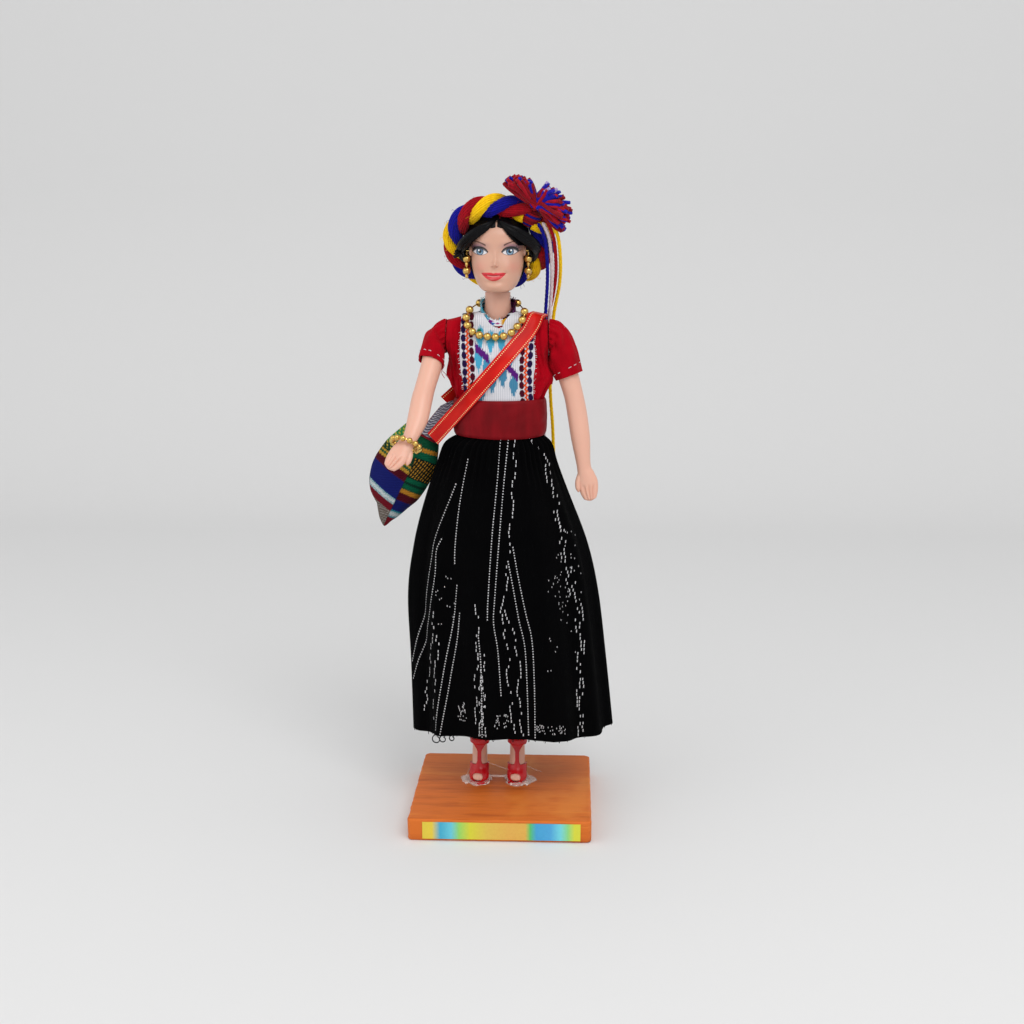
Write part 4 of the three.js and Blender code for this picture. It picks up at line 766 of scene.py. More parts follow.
@dataclass(frozen=True)
class BandedPaper:
    """Printed paper in plain upright bands of colour, with no lettering."""

    name: str = "label_paper"
    start: float = -38.0
    width: float = 77.0
    bands: tuple[tuple[float, str], ...] = (
        (0.0, "d9c33c"), (0.07, "e0c53a"), (0.12, "3aa6c8"), (0.19, "63c3d6"), (0.24, "8fcf63"),
        (0.31, "d2cd2f"), (0.42, "d8b64a"), (0.56, "dca94c"), (0.66, "dcab4a"), (0.69, "55bd62"),
        (0.73, "3f9fd0"), (0.82, "4aa3d6"), (0.88, "6fd0dc"), (0.93, "8bd27b"), (0.97, "d3d338"),
    )

    def material(self) -> bpy.types.Material:
        """Build the material; the bands are a ramp along X and the paper has fine fibres.

        Returns:
            The material.
        """
        s = Shader(self.name)
        parts = s.node("ShaderNodeSeparateXYZ", {0: s.place()})
        share = s.maths("DIVIDE", s.maths("SUBTRACT", parts.outputs[0], self.start * MM), self.width * MM)
        colour = s.ramp(share, self.bands)
        fibres = s.noise(0.8, 4)
        s.put(Base_Color=s.mix(0.12, colour, fibres, "OVERLAY"), Roughness=0.55)
        s.put(Normal=s.bump(fibres, 0.05, 0.5))
        return s.material


@dataclass(frozen=True)
class HotGlue:
    """Clear set glue with a wet gloss and a little milkiness."""

    name: str = "hot_glue"

    def material(self) -> bpy.types.Material:
        """Build the material; small ripples break up its highlights.

        Returns:
            The material.
        """
        s = Shader(self.name)
        s.put(Base_Color=rgba("f6ece2"), Roughness=0.06, Specular_IOR_Level=1.0)
        s.put(Alpha=0.3, Coat_Weight=1.0)
        s.put(Normal=s.bump(s.noise(2.5, 2), 0.25, 0.4))
        return s.material


@dataclass(frozen=True)
class SkinVinyl:
    """Soft pale vinyl with a satin surface, painted on the face."""

    name: str = "skin_vinyl"
    body: str = "dfab95"
    painted: bool = False

    def material(self) -> bpy.types.Material:
        """Build the material; the tone drifts a little and the surface has a fine moulded grain.

        Returns:
            The material.
        """
        s = Shader(self.name)
        tone = s.noise(14, 2)
        base = s.paint() if self.painted else rgba(self.body)
        blend = "MULTIPLY" if self.painted else "MIX"
        colour = s.mix(s.maths("MULTIPLY", tone, 0.16), base, rgba("c78a78"), blend)
        s.put(Base_Color=colour, Roughness=0.4, Subsurface_Weight=0.12, Subsurface_Scale=0.002)
        s.put(Subsurface_Radius=(1.0, 0.45, 0.3), Coat_Weight=0.12, Coat_Roughness=0.25)
        s.put(Normal=s.bump(s.noise(0.5, 2), 0.03, 0.4))
        return s.material


@dataclass(frozen=True)
class GlossVinyl:
    """Thin glossy red vinyl with soft moulding ripples."""

    name: str = "red_vinyl"
    body: str = "c40d18"

    def material(self) -> bpy.types.Material:
        """Build the material; the ripples bend its highlights.

        Returns:
            The material.
        """
        s = Shader(self.name)
        colour = s.mix(s.ramp(s.noise(4, 3), [(0.4, 0.0), (0.7, 0.45)]), rgba(self.body), rgba("a00814"))
        s.put(Base_Color=colour, Roughness=0.25, Specular_IOR_Level=0.3)
        s.put(Coat_Weight=0.12, Coat_Roughness=0.08)
        s.put(Normal=s.bump(s.noise(2.4, 2), 0.2, 0.5))
        return s.material


@dataclass(frozen=True)
class Metal:
    """Bright metal with faint scratches."""

    name: str
    body: str
    roughness: float

    def material(self) -> bpy.types.Material:
        """Build the material; scratches are fine noise in the roughness and the bump.

        Returns:
            The material.
        """
        s = Shader(self.name)
        marks = s.noise(0.7, 4, 0.7)
        rough = s.maths("MULTIPLY_ADD", marks, 0.25, self.roughness - 0.1)
        colour = s.mix(s.maths("MULTIPLY", s.noise(2.5), 0.4), rgba(self.body), rgba("8a6a2c"), "MIX")
        s.put(Base_Color=colour, Metallic=1.0, Roughness=rough, Normal=s.bump(marks, 0.03, 0.4))
        return s.material


@dataclass(frozen=True)
class HairFibre:
    """Glossy black fibre with a cool highlight along its strands."""

    name: str = "black_hair"

    def material(self) -> bpy.types.Material:
        """Build the material; strands are noise drawn out along the UV's length.

        Returns:
            The material.
        """
        s = Shader(self.name)
        strands = s.noise(0.5, 3, 0.6, s.place((1, 0.04, 1), uv=True))
        colour = s.mix(strands, rgba("020203"), rgba("0b0b0e"))
        s.put(Base_Color=colour, Roughness=0.3, Specular_IOR_Level=0.12)
        s.put(Normal=s.bump(strands, 0.12, 0.6))
        return s.material


@dataclass(frozen=True)
class Yarn:
    """Soft dyed yarn: fine fibres along the strand, a fuzzy sheen, tone that varies by strand."""

    name: str
    body: str
    shade: str
    painted: bool = False

    def material(self) -> bpy.types.Material:
        """Build the material; fibres are noise drawn out along the UV and turned with the twist.

        Returns:
            The material.
        """
        s = Shader(self.name)
        fibres = s.noise(0.35, 4, 0.7, s.place((1, 0.16, 1), (0, 0, 0.6), uv=True))
        fluff = s.noise(0.9, 3)
        base = s.paint() if self.painted else rgba(self.body)
        dark = s.mix(0.6, base, rgba(self.shade)) if self.painted else rgba(self.shade)
        colour = s.mix(s.ramp(fibres, [(0.36, 0.85), (0.58, 0.0)]), base, dark)
        s.put(Base_Color=colour, Roughness=0.85, Sheen_Weight=0.06, Specular_IOR_Level=0.12)
        s.put(Normal=s.bump(fluff, 0.15, 0.5, s.bump(fibres, 0.18, 0.9)))
        return s.material


@dataclass(frozen=True)
class Cotton:
    """Plain woven cotton with a slightly uneven dye."""

    name: str
    body: str
    shade: str
    pitch: float = 0.42
    painted: bool = False
    gloss: float = 0.06

    def material(self) -> bpy.types.Material:
        """Build the material; the weave shows in the colour and in the bump.

        Returns:
            The material.
        """
        s = Shader(self.name)
        weave = s.weave(self.pitch)
        uneven = s.noise(9, 4)
        base = s.paint() if self.painted else rgba(self.body)
        shade = s.mix(0.5, base, rgba(self.shade), "MULTIPLY") if self.painted else rgba(self.shade)
        colour = s.mix(s.maths("MULTIPLY_ADD", weave, -0.45, 0.5), base, shade)
        if not self.painted:
            colour = s.mix(s.ramp(uneven, [(0.4, 0.0), (0.75, 0.5)]), colour, rgba(self.shade))
        s.put(Base_Color=colour, Roughness=0.85, Sheen_Weight=self.gloss / 4, Specular_IOR_Level=self.gloss)
        s.put(Normal=s.bump(weave, 0.1, 0.7, s.bump(s.noise(0.5, 3), 0.06, 0.5)))
        return s.material


@dataclass(frozen=True)
class Satin:
    """Smooth satin: long floats along the cloth, a soft gloss and fine creases, with painted shade in the
    creases' valleys and painted sheen on their crests.
    """

    name: str
    body: str
    # Darker tone: painted shade in the crease valleys, also laid along the floats' threads.
    shade: str
    # Lighter tone: painted sheen on the crease crests.
    light: str
    roughness: float = 0.36
    dotted: bool = False
    width: float = 7.5

    def material(self) -> bpy.types.Material:
        """Build the material; a dotted satin has a line of pale woven dots inside each edge.

        Returns:
            The material.
        """
        s = Shader(self.name)
        place = s.place((1, 0.05, 1), uv=True)
        floats = s.noise(0.3, 2, 0.5, place)
        creases = s.noise(7, 2, 0.4, s.place((1, 0.35, 1), uv=True))
        # Painted shade and sheen: the creases' height picks the darker tone low and the lighter tone high.
        colour = s.ramp(creases, [(0.22, self.shade), (0.5, self.body), (0.78, self.light)])
        colour = s.mix(s.maths("MULTIPLY", floats, 0.15), colour, rgba(self.shade))
        if self.dotted:
            colour = s.mix(self.dots(s), colour, rgba("ecd29a"))
        s.put(Base_Color=colour, Roughness=self.roughness, Anisotropic=0.2, Specular_IOR_Level=0.12)
        s.put(Normal=s.bump(floats, 0.05, 0.4, s.bump(creases, 0.3, 0.3)))
        return s.material

    def dots(self, s: Shader) -> bpy.types.NodeSocket:
        """Mask of the dots: two lines 0.9 mm inside the edges, a dot every 1.1 mm along them.

        Args:
            s: The shader.

        Returns:
            The mask.
        """
        parts = s.node("ShaderNodeSeparateXYZ", {0: s.place(uv=True)})
        from_middle = s.maths("ABSOLUTE", s.maths("SUBTRACT", parts.outputs[0], self.width / 2 * MM))
        off_line = s.maths("SUBTRACT", from_middle, (self.width / 2 - 0.9) * MM)
        in_line = s.maths("LESS_THAN", s.maths("ABSOLUTE", off_line), 0.26 * MM)
        along = s.maths("FRACT", s.maths("DIVIDE", parts.outputs[1], 1.1 * MM))
        return s.maths("MULTIPLY", in_line, s.maths("LESS_THAN", along, 0.42))


class Finish(Enum):
    """Every finish of the doll, with the name of a slot in the record."""

    WOOD = (PaintedWood(), "painted_wood")
    PAPER = (BandedPaper(), "label_paper")
    GLUE = (HotGlue(), "hot_glue")
    SKIN = (SkinVinyl(), "skin_vinyl")
    # Darker than the arms' vinyl: painted shade that the chin and head cast on the neck.
    TRUNK_SKIN = (SkinVinyl("trunk_vinyl", "cb9a85"), "skin_vinyl")
    PAINTED_SKIN = (SkinVinyl("painted_vinyl", painted=True), "skin_vinyl")
    RED_VINYL = (GlossVinyl(), "red_vinyl")
    STEEL = (Metal("steel", "b9b9bb", 0.32), "steel")
    GILT = (Metal("gilt", "dcb868", 0.2), "gilt")
    HAIR = (HairFibre(), "black_hair")
    RED_YARN = (Yarn("red_yarn", "a8061a", "6a030f"), "red_yarn")
    YELLOW_YARN = (Yarn("yellow_yarn", "fad011", "d39b08"), "yellow_yarn")
    BLUE_YARN = (Yarn("blue_yarn", "14149c", "08084c"), "blue_yarn")
    WHITE_YARN = (Yarn("white_yarn", "e4d8da", "b9a4a8"), "white_yarn")
    MIXED_YARN = (Yarn("mixed_yarn", "a30d20", "200818", painted=True), "red_yarn")
    RED_COTTON = (Cotton("red_cotton", "b20218", "86010f"), "red_cotton")
    BROCADE = (Cotton("brocade", "dcdce0", "a0a0aa", 0.5, True), "brocade")
    HANDWEAVE = (Cotton("handweave", "2a2a4a", "303038", 0.6, True), "woven_cotton")
    # In both satins the third colour is painted shade and the fourth painted sheen, laid by the creases.
    CRIMSON_SATIN = (Satin("crimson_satin", "76040f", "5c0209", "8a0816", 0.55), "crimson_satin")
    DOTTED_SATIN = (Satin("red_satin", "c81812", "a00e0c", "de2c20", 0.38, True), "red_satin")
    SKIRT_COTTON = (Cotton("black_cotton", "050506", "020203", gloss=0.02), "black_cotton")
    WHITE_THREAD = (Cotton("white_thread", "dcdcde", "a8a8ac"), "white_yarn")
    BLACK_THREAD = (Cotton("black_thread", "0b0b0e", "050506"), "black_cotton")

    @cached_property
    def material(self) -> bpy.types.Material:
        """The finish's material, made once when a piece first asks for it."""
        return self.value[0].material()

    @property
    def slot(self) -> str:
        """The name of the finish in the record."""
        return self.value[1]


def finish_node(name: str, finish: Finish) -> None:
    """Give a frame node that stays in view its material.

    Args:
        name: The node's name.
        finish: Its finish.
    """
    piece = frame["nodes"][name]
    if piece.material_slots:
        for slot in piece.material_slots:
            slot.material = finish.material
    else:
        piece.data.materials.append(finish.material)
    LOG.info("kept %s", name)


def finished(piece: bpy.types.Object, finish: Finish, replaces: Sequence[str]) -> bpy.types.Object:
    """Give a piece its finish, and hide the frame nodes that it stands for.

    Args:
        piece: The piece, already built.
        finish: Its finish.
        replaces: The nodes' names.

    Returns:
        The same piece.
    """
    piece.data.materials.append(finish.material)
    if replaces:
        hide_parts(*replaces)
    LOG.info("%s: %d points", piece.name, len(piece.data.vertices))
    return piece


def dress(name: str, shape: Shape, finish: Finish, body: Body, *replaces: str) -> bpy.types.Object:
    """Build a finished piece that rides on one body of the frame.

    Args:
        name: The piece's name.
        shape: Its mesh in millimetres.
        finish: Its finish.
        body: The body that it moves with.
        replaces: Frame nodes that it stands for.

    Returns:
        The new object.
    """
    piece = shape.build(name)
    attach(piece, body.value)
    return finished(piece, finish, replaces)


def dress_across(name: str, shape: Shape, finish: Finish, bodies: tuple[Body, Body], ends: Array,
                 *replaces: str) -> bpy.types.Object:
    """Build a finished piece with its placement baked into its mesh; it is attached to no body.

    Args:
        name: The piece's name.
        shape: Its mesh in millimetres.
        finish: Its finish.
        bodies: The body before the first place and the one after the second; not used.
        ends: The two places in millimetres, one row each; not used.
        replaces: Frame nodes that it stands for.

    Returns:
        The new object.
    """
    piece = shape.build(name)
    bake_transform(piece)
    return finished(piece, finish, replaces)


@dataclass
class Studio:
    """Camera at the photograph's view, a pale sweep behind the doll, and plain soft light."""

    frame_pixels: int = 1024
    focal_pixels: float = 1400
    sensor: float = 36
    camera_place: tuple[float, float, float] = (32.981, -681.906, 289.227)
    pitch: float = 0.1943039
    yaw: float = 0.0417918
    sweep_colour: str = "dfdfdf"
    sweep_reach: float = 700
    sweep_bend: float = 350
    sky: float = 0.84
    key_watts: float = 4.6

    def build(self) -> None:
        """Make the camera, the sweep and the lamps."""
        self.camera()
        self.sweep()
        self.lamps()

    def camera(self) -> None:
        """Place the camera; its lens is the focal length in pixels scaled to the sensor."""
        lens = bpy.data.cameras.new("camera")
        lens.sensor_width = self.sensor
        lens.lens = self.sensor * self.focal_pixels / self.frame_pixels
        lens.clip_start = 0.01
        camera = bpy.data.objects.new("camera", lens)
        camera.location = np.array(self.camera_place) * MM
        camera.rotation_euler = (math.pi / 2 - self.pitch, 0, self.yaw)
        bpy.context.scene.collection.objects.link(camera)
        bpy.context.scene.camera = camera

    def sweep(self) -> None:
        """A floor that bends up into a backdrop: a line, a quarter circle and a line, carried along X."""
        turn = np.linspace(0, math.pi / 2, 24)
        reach, bend = self.sweep_reach, self.sweep_bend
        y = np.concatenate([[-2500], reach + bend * np.sin(turn), [reach + bend]])
        z = np.concatenate([[0], bend * (1 - np.cos(turn)), [2600]])
        grid = grid_of(np.linspace(-3000, 3000, 3), y[:, None], z[:, None])
        floor = skin(grid, wrap=False, ends=False).build("studio_sweep")
        s = Shader("studio_sweep")
        s.put(Base_Color=rgba(self.sweep_colour), Roughness=0.9, Specular_IOR_Level=0.1)
        floor.data.materials.append(s.material)

    def lamps(self) -> None:
        """A soft key from the front right, a weaker fill from the left, and an even sky."""
        world = bpy.data.worlds.new("studio")
        world.use_nodes = True
        sky = world.node_tree.nodes["Background"]
        sky.inputs["Color"].default_value = (1, 1, 1, 1)
        sky.inputs["Strength"].default_value = self.sky
        bpy.context.scene.world = world
        for name, place, watts, size in (
            ("key", (340, -720, 940), self.key_watts, 0.6),
            ("fill", (-750, -500, 450), self.key_watts * 0.35, 0.9),
        ):
            light = bpy.data.lights.new(name, "AREA")
            light.energy = watts
            light.size = size
            lamp = bpy.data.objects.new(name, light)
            lamp.location = np.array(place) * MM
            aim = Vector((0, 0, 170)) - Vector(place)
            lamp.rotation_euler = aim.to_track_quat("-Z", "Y").to_euler()
            bpy.context.scene.collection.objects.link(lamp)


@dataclass
class YarnTails:
    """Four loose yarn ends that hang from the pompom behind the left shoulder."""

    radius: float = 0.9
    plies: int = 3
    ply_pitch: float = 7.0
    sides: int = 18
    spacing: float = 0.6
    sway_heights: tuple[float, float] = (-14.0, 18.0)
    tuck: float = 4.2
    yellow_tuck: float = 1.2

    ROUTES = {
        "blue": (
            (19.8, -9.8, 33), (21.8, -7.9, 29.4), (23, -5.2, 25.4), (23.6, -2.4, 21), (24, 0.6, 16.5),
            (24.2, 3.8, 12), (24.2, 7, 7), (24, 10, 1.5), (23.6, 12.6, -4.5), (23.2, 14.4, -11),
            (22.8, 15.6, -19), (22.4, 16.4, -28), (22.4, 17.4, -38), (22.8, 18.6, -48), (23.4, 19.8, -59),
            (24.2, 21, -70), (24.8, 21.8, -81), (25, 22.2, -92),
        ),
        "white": (
            (22, -10.2, 33.4), (24, -8, 29.4), (25.2, -5.2, 25.4), (25.8, -2.4, 21), (26.2, 0.8, 16.5),
            (26.4, 4.2, 12), (26.4, 7.8, 7), (26.2, 11.2, 1.5), (25.8, 14, -4.5), (25.4, 15.8, -11),
            (25, 17.2, -19), (24.6, 18.2, -28), (24.6, 19.2, -38), (25, 20.4, -48), (25.6, 21.6, -58),
            (26.4, 22.8, -68), (27, 23.6, -77), (27.2, 24, -86),
        ),
        "red": (
            (24.2, -10.4, 33.8), (26.2, -8, 29.4), (27.4, -5.2, 25.4), (28, -2.4, 21), (28.3, 1, 16.5),
            (28.4, 4.8, 12), (28.2, 9, 7), (27.5, 13.1, 1.5), (26.4, 16.3, -4.5), (25, 18.1, -11),
            (24.1, 19.4, -19), (23.6, 20.4, -28), (23.6, 21.4, -38), (24, 22.6, -48), (24.6, 23.8, -58),
            (25.4, 25, -67), (26, 25.8, -76), (26.2, 26.2, -84),
        ),
        "yellow": (
            (26.4, -10.6, 34.4), (28.4, -8, 29.4), (29.6, -5, 25.4), (30.2, -2, 21), (30.5, 1.6, 16.5),
            (30.6, 5.8, 12), (30.4, 10.4, 7), (29.8, 14.6, 1.5), (28.6, 18, -4.5), (27.4, 20.2, -11),
            (26.6, 21.6, -19), (26.2, 22.8, -28), (26.2, 23.8, -38), (26.6, 25, -48), (27.2, 26.2, -58),
            (28, 27.4, -68), (28.6, 28.2, -82), (28.8, 28.6, -96),
        ),
    }

    def build(self) -> None:
        """Make each tail as a plied tube along its route."""
        ends = NECK + np.array([[0, 0, rise] for rise in self.sway_heights])
        for word, route in self.ROUTES.items():
            places = np.array(route, float) + NECK
            tuck = self.yellow_tuck if word == "yellow" else self.tuck
            places[:, 0] -= tuck * ease(places[:, 2], NECK[2] - 20, NECK[2] - 55)
            path = spline(places, int(path_length(places)[-1] / self.spacing))
            cord = dress_across(f"tail_{word}_yarn", self.plied(path), Finish[f"{word.upper()}_YARN"],
                                (Body.TORSO, Body.HEAD), ends, f"tail_{word}")

    def plied(self, path: Array) -> Shape:
        """A tube whose section has one lobe for each ply, turning once every pitch.

        Args:
            path: Points along the middle.

        Returns:
            The mesh.
        """
        along = unit(np.gradient(path, axis=0))
        first = unit(np.cross(along, np.array([1.0, 0.3, 0.0])))
        second = np.cross(along, first)
        angle, length = full_turn(self.sides), path_length(path)
        turned = angle[None] - length[:, None] / self.ply_pitch * TURN
        radius = self.radius * (0.8 + 0.22 * np.abs(np.cos(self.plies / 2 * turned)))
        ends = np.sqrt(np.clip(np.minimum(length, length[::-1]) / self.radius, 0.05, 1))
        reach = (radius * ends[:, None])[..., None]
        return skin(path[:, None] + reach * spokes(angle, first[:, None], second[:, None]))


@dataclass
class WoodenBase:
    """Square block with worn round corners, and the paper strip along its front."""

    side: float = 90
    corner: float = 2.5
    edge: float = 1.0
    wear: float = 0.22

    def build(self) -> None:
        """Make the block and keep the frame's paper strip."""
        dress("wooden_base", self.block(), Finish.WOOD, Body.BASE, "base_block")
        finish_node("label_strip", Finish.PAPER)

    def block(self) -> Shape:
        """Rounded squares one above another: rings shrink by the edge's quarter circle at both faces.

        Returns:
            The mesh.
        """
        quarter = np.linspace(0, math.pi / 2, 7)
        inset = self.edge * (1 - np.sin(quarter))
        rise = self.edge * (1 - np.cos(quarter))
        flat = np.array([2.5, 8, 18, 30, 41])
        insets = np.concatenate([flat[::-1], inset, np.zeros(5), inset[::-1], flat])
        middle = np.linspace(self.edge, BASE_TOP - self.edge, 7)[1:-1]
        heights = np.concatenate([np.zeros(5), rise, middle, BASE_TOP - rise[::-1], np.full(5, BASE_TOP)])
        points = np.stack([self.outline(step, height) for step, height in zip(insets, heights)])
        worn = ripple(points, 7, 3) * self.wear * ease(insets, 4, 0)[:, None]
        shrink = 1 - np.abs(worn)[..., None] / (self.side / 2)
        points[..., :2] *= shrink
        points[..., 2] = np.clip(points[..., 2], 0, BASE_TOP)
        return skin(points)

    def outline(self, inset: float, height: float) -> Array:
        """A square with round corners: four quarter circles joined by straight sides.

        Args:
            inset: How far inside the sides.
            height: The height.

        Returns:
            One ring of points.
        """
        half = self.side / 2 - inset
        radius = min(max(self.corner - inset * 0.5, 1.2), half)
        turn = np.linspace(0, math.pi / 2, 9)
        corner = half - radius + radius * np.stack([np.cos(turn), np.sin(turn)], axis=1)
        stretch = np.linspace(corner[-1], [radius - half, half], 32)[1:-1]
        quarter = np.concatenate([corner, stretch])
        x, y = quarter.T
        ring = np.concatenate([quarter, np.stack([-y, x], 1), np.stack([-x, -y], 1), np.stack([y, -x], 1)])
        return np.column_stack([ring, np.full(len(ring), height)])


@dataclass
class Feet:
    """Legs of vinyl in high-heeled sandals, stuck to the base with pools of glue."""

    spacing: float = 9.8
    sandal_gap: float = 0.25
    sandal_reach: float = 1.1
    toe_back: float = -1.8
    toe_top: float = 9
    strap_half: float = 1.0
    strap_low: float = 19.4
    strap_high: float = 22.2
    glue_reach: float = 9.2
    glue_height: float = 2.2

    LEG_ROWS = (
        (1.4, 3.0, 3.4, -7.2), (2.6, 3.9, 4.2, -7), (5, 4, 4, -6), (8, 3.9, 4.6, -3.2), (12, 3.9, 5.8, -0.3),
        (16, 3.85, 5.0, 0), (20, 3.8, 4.3, 0), (27, 3.9, 3.9, 0.3), (39, 4.4, 4.4, 0.8), (54, 5.6, 5.8, 1.4),
        (69, 6.3, 6.5, 1.5), (84, 6.2, 6.2, 0.4), (94, 6.6, 6.6, 0), (109, 7.6, 7.6, 0), (129, 8.4, 8.4, 0),
        (144, 8.6, 8.6, 0), (153, 8.3, 8.3, 0), (157, 8, 8, 0), (161, 6.9, 6.9, 0), (163.4, 4.8, 4.8, 0),
        (164.8, 1.6, 1.6, 0),
    )
    THREADS = {
        Side.RIGHT: (
            ((4, -4, 9.5), (15.4, -7, 6.6), 0.15, 0.14), ((4, -4.6, 2.4), (15.6, -4.6, 2.4), 0.4, 0.6),
            ((-5, -6, 6.5), (-8.4, -10.5, 0.6), 0.1, 0.14),
        ),
        Side.LEFT: (
            ((5, -6, 5), (8.6, -9, 0.6), 0.1, 0.14), ((4.6, -2, 7), (12.5, 5, 1), 0.2, 0.12),
            ((-3, -12.6, 1.2), (4.5, -12.2, 1.0), 0.1, 0.3),
        ),
    }

    def build(self) -> None:
        """Make both legs, sandals and glue pools."""
        for side in Side:
            place, word = GROUND + np.array([side.value * self.spacing, 0, 0]), side.word
            for name, shape, finish, node in (
                (f"leg_{word}_skin", self.leg(), Finish.SKIN, f"leg_{word}"),
                (f"sandal_{word}", self.sandal(), Finish.RED_VINYL, f"shoe_{word}"),
                (f"glue_pool_{word}", self.glue(side), Finish.GLUE, f"glue_pad_{word}"),
            ):
                dress(name, shape.moved(place), finish, Body.BASE, node)
        finish_node("hip_axle", Finish.STEEL)

    def foot_rings(self, level: Array, columns: int, margin: Array | float) -> Array:
        """Rings of the leg's rows at given heights, fatter all round by a margin."""
        wide, deep, middle = rows_at(self.LEG_ROWS, level)
        return level_rings(level, columns, wide + margin, deep + margin, middle)

    def leg(self) -> Shape:
        """The leg's rows as rings, rounded off at the sole, with five low ridges for the toes.

        Returns:
            The mesh.
        """
        level = np.concatenate([np.linspace(1.4, 24, 90), np.linspace(24.5, 164.8, 110)])
        points = self.foot_rings(level, 56, 0)
        middle = rows_at(self.LEG_ROWS, level)[2][:, None]
        close = np.sqrt(np.clip((level - 1.3) / 0.9, 0.02, 1))[:, None]
        x, y, z = np.moveaxis(points, -1, 0)
        x *= close
        y[:] = middle + (y - middle) * close
        toes = np.abs(np.cos(x * math.pi / 1.5)) * hump(z, 3.4, 1.6)
        y -= 0.35 * toes * (y < middle - 2)
        shin = hump(z, 84, 7) * hump(x, 0, 3.5) * (y < 0)
        y -= 0.5 * shin
        return skin(points)

    def sandal(self) -> Shape:
        """Cap, T-strap, ankle strap and arch left of a skin round the foot, with sole and heel.

        Returns:
            The mesh.
        """
        level = np.linspace(0.4, self.strap_high, 180)
        band = 0.28 * ease(level, self.strap_low - 0.2, self.strap_low + 0.4)
        band *= ease(level, self.strap_high + 0.1, self.strap_high - 0.5)
        outer = self.foot_rings(level, 150, self.sandal_reach + band)
        inner = self.foot_rings(level, 150, self.sandal_gap)
        x, y, z = np.moveaxis((outer[:-1] + outer[1:]) / 2, -1, 0)
        hole = (((x + 0.8) / 3.2) ** 2 + ((z - 3.7) / 2.1) ** 2 < 1) & (y < -6.5)
        cap_top = self.toe_top + 0.6 * np.cos(x / 3.4)
        cap = (y < self.toe_back) & (z < cap_top) & ~hole
        funnel = self.strap_half + 2.6 * ease(z, 14.5, 20.5) ** 1.6 + 0.9 * ease(z, 11.5, 8.8)
        strap = (np.abs(x) < funnel) & (y < 0) & (z > self.toe_top - 2)
        ankle = z > self.strap_low + 0.35 * np.sin(x)
        arch = (np.abs(x) < 3.2) & (y > -3.6) & (z < 11.5)
        upper = shell(outer, inner, wrap=True, keep=cap | strap | ankle | arch)
        sole_level = np.array([0, 0.02, 0.3, 0.8, 1.1, 1.12])
        grow = np.array([0.4, 0.9, 1, 1, 0.94, 0.4])
        sole = skin(level_rings(sole_level, 48, 5.1 * grow, 5.8 * grow, -7))
        lean = np.linspace([0, 6, 0], [0, 5.3, 11], 12)[None]
        heel = tubes(lean, np.linspace(1.2, 1.85, 12)[None], 20, (1, 0, 0))
        return joined([upper, sole, heel])

    def glue(self, side: Side) -> Shape:
        """A low uneven dome with a few blobs on it, and stiff threads drawn out of it.

        Args:
            side: The side it is on.

        Returns:
            The mesh.
        """
        angle = full_turn(72)
        lobes = 0.09 * np.sin(3 * angle + side.value) + 0.06 * np.sin(7 * angle + 1)
        reach = self.glue_reach * (0.86 + lobes)
        share = np.concatenate([[0.4, 0.8], np.linspace(1, 0.06, 22)])
        height = self.glue_height * np.sqrt(np.clip(1 - share**2.2, 0, 1))
        height[:2] = 0.02
        x = side.value * 1.2 + share[:, None] * reach * np.cos(angle)
        y = -4.7 + share[:, None] * reach * np.sin(angle)
        points = grid_of(x, y, height[:, None])
        points[2:, :, 2] *= 1 + 0.16 * ripple(points[2:], 6, 5 + side.value)
        points[..., 2] = np.maximum(points[..., 2], 0.02)
        rng = np.random.default_rng(8 + side.value)
        spans = ((-6.5, 6.5), (-13.2, -9.5), (0.5, 1.2))
        places = np.column_stack([rng.uniform(low, high, 7) for low, high in spans])
        blobs = stamped(ball_shape(8, 12), places, rng.uniform(0.35, 0.9, (7, 1)))
        return joined([skin(points), blobs, self.threads(side)])

    def threads(self, side: Side) -> Shape:
        """Thin bowed glue threads and a thick one between the feet: parabolas between two points.

        Args:
            side: The side it is on.

        Returns:
            The mesh.
        """
        spans = self.THREADS[side]
        share = np.linspace(0, 1, 14)[:, None]
        bowed = share * (1 - share)
        paths = np.stack([
            np.array(a) + (np.array(b) - np.array(a)) * share - np.array([0, 0, 4 * sag]) * bowed
            for a, b, sag, _ in spans
        ])
        paths[..., 2] = np.maximum(paths[..., 2], 0.2)
        return tubes(paths, np.array([[radius] for *_, radius in spans]), 6, (0.2, 1, 0.1))


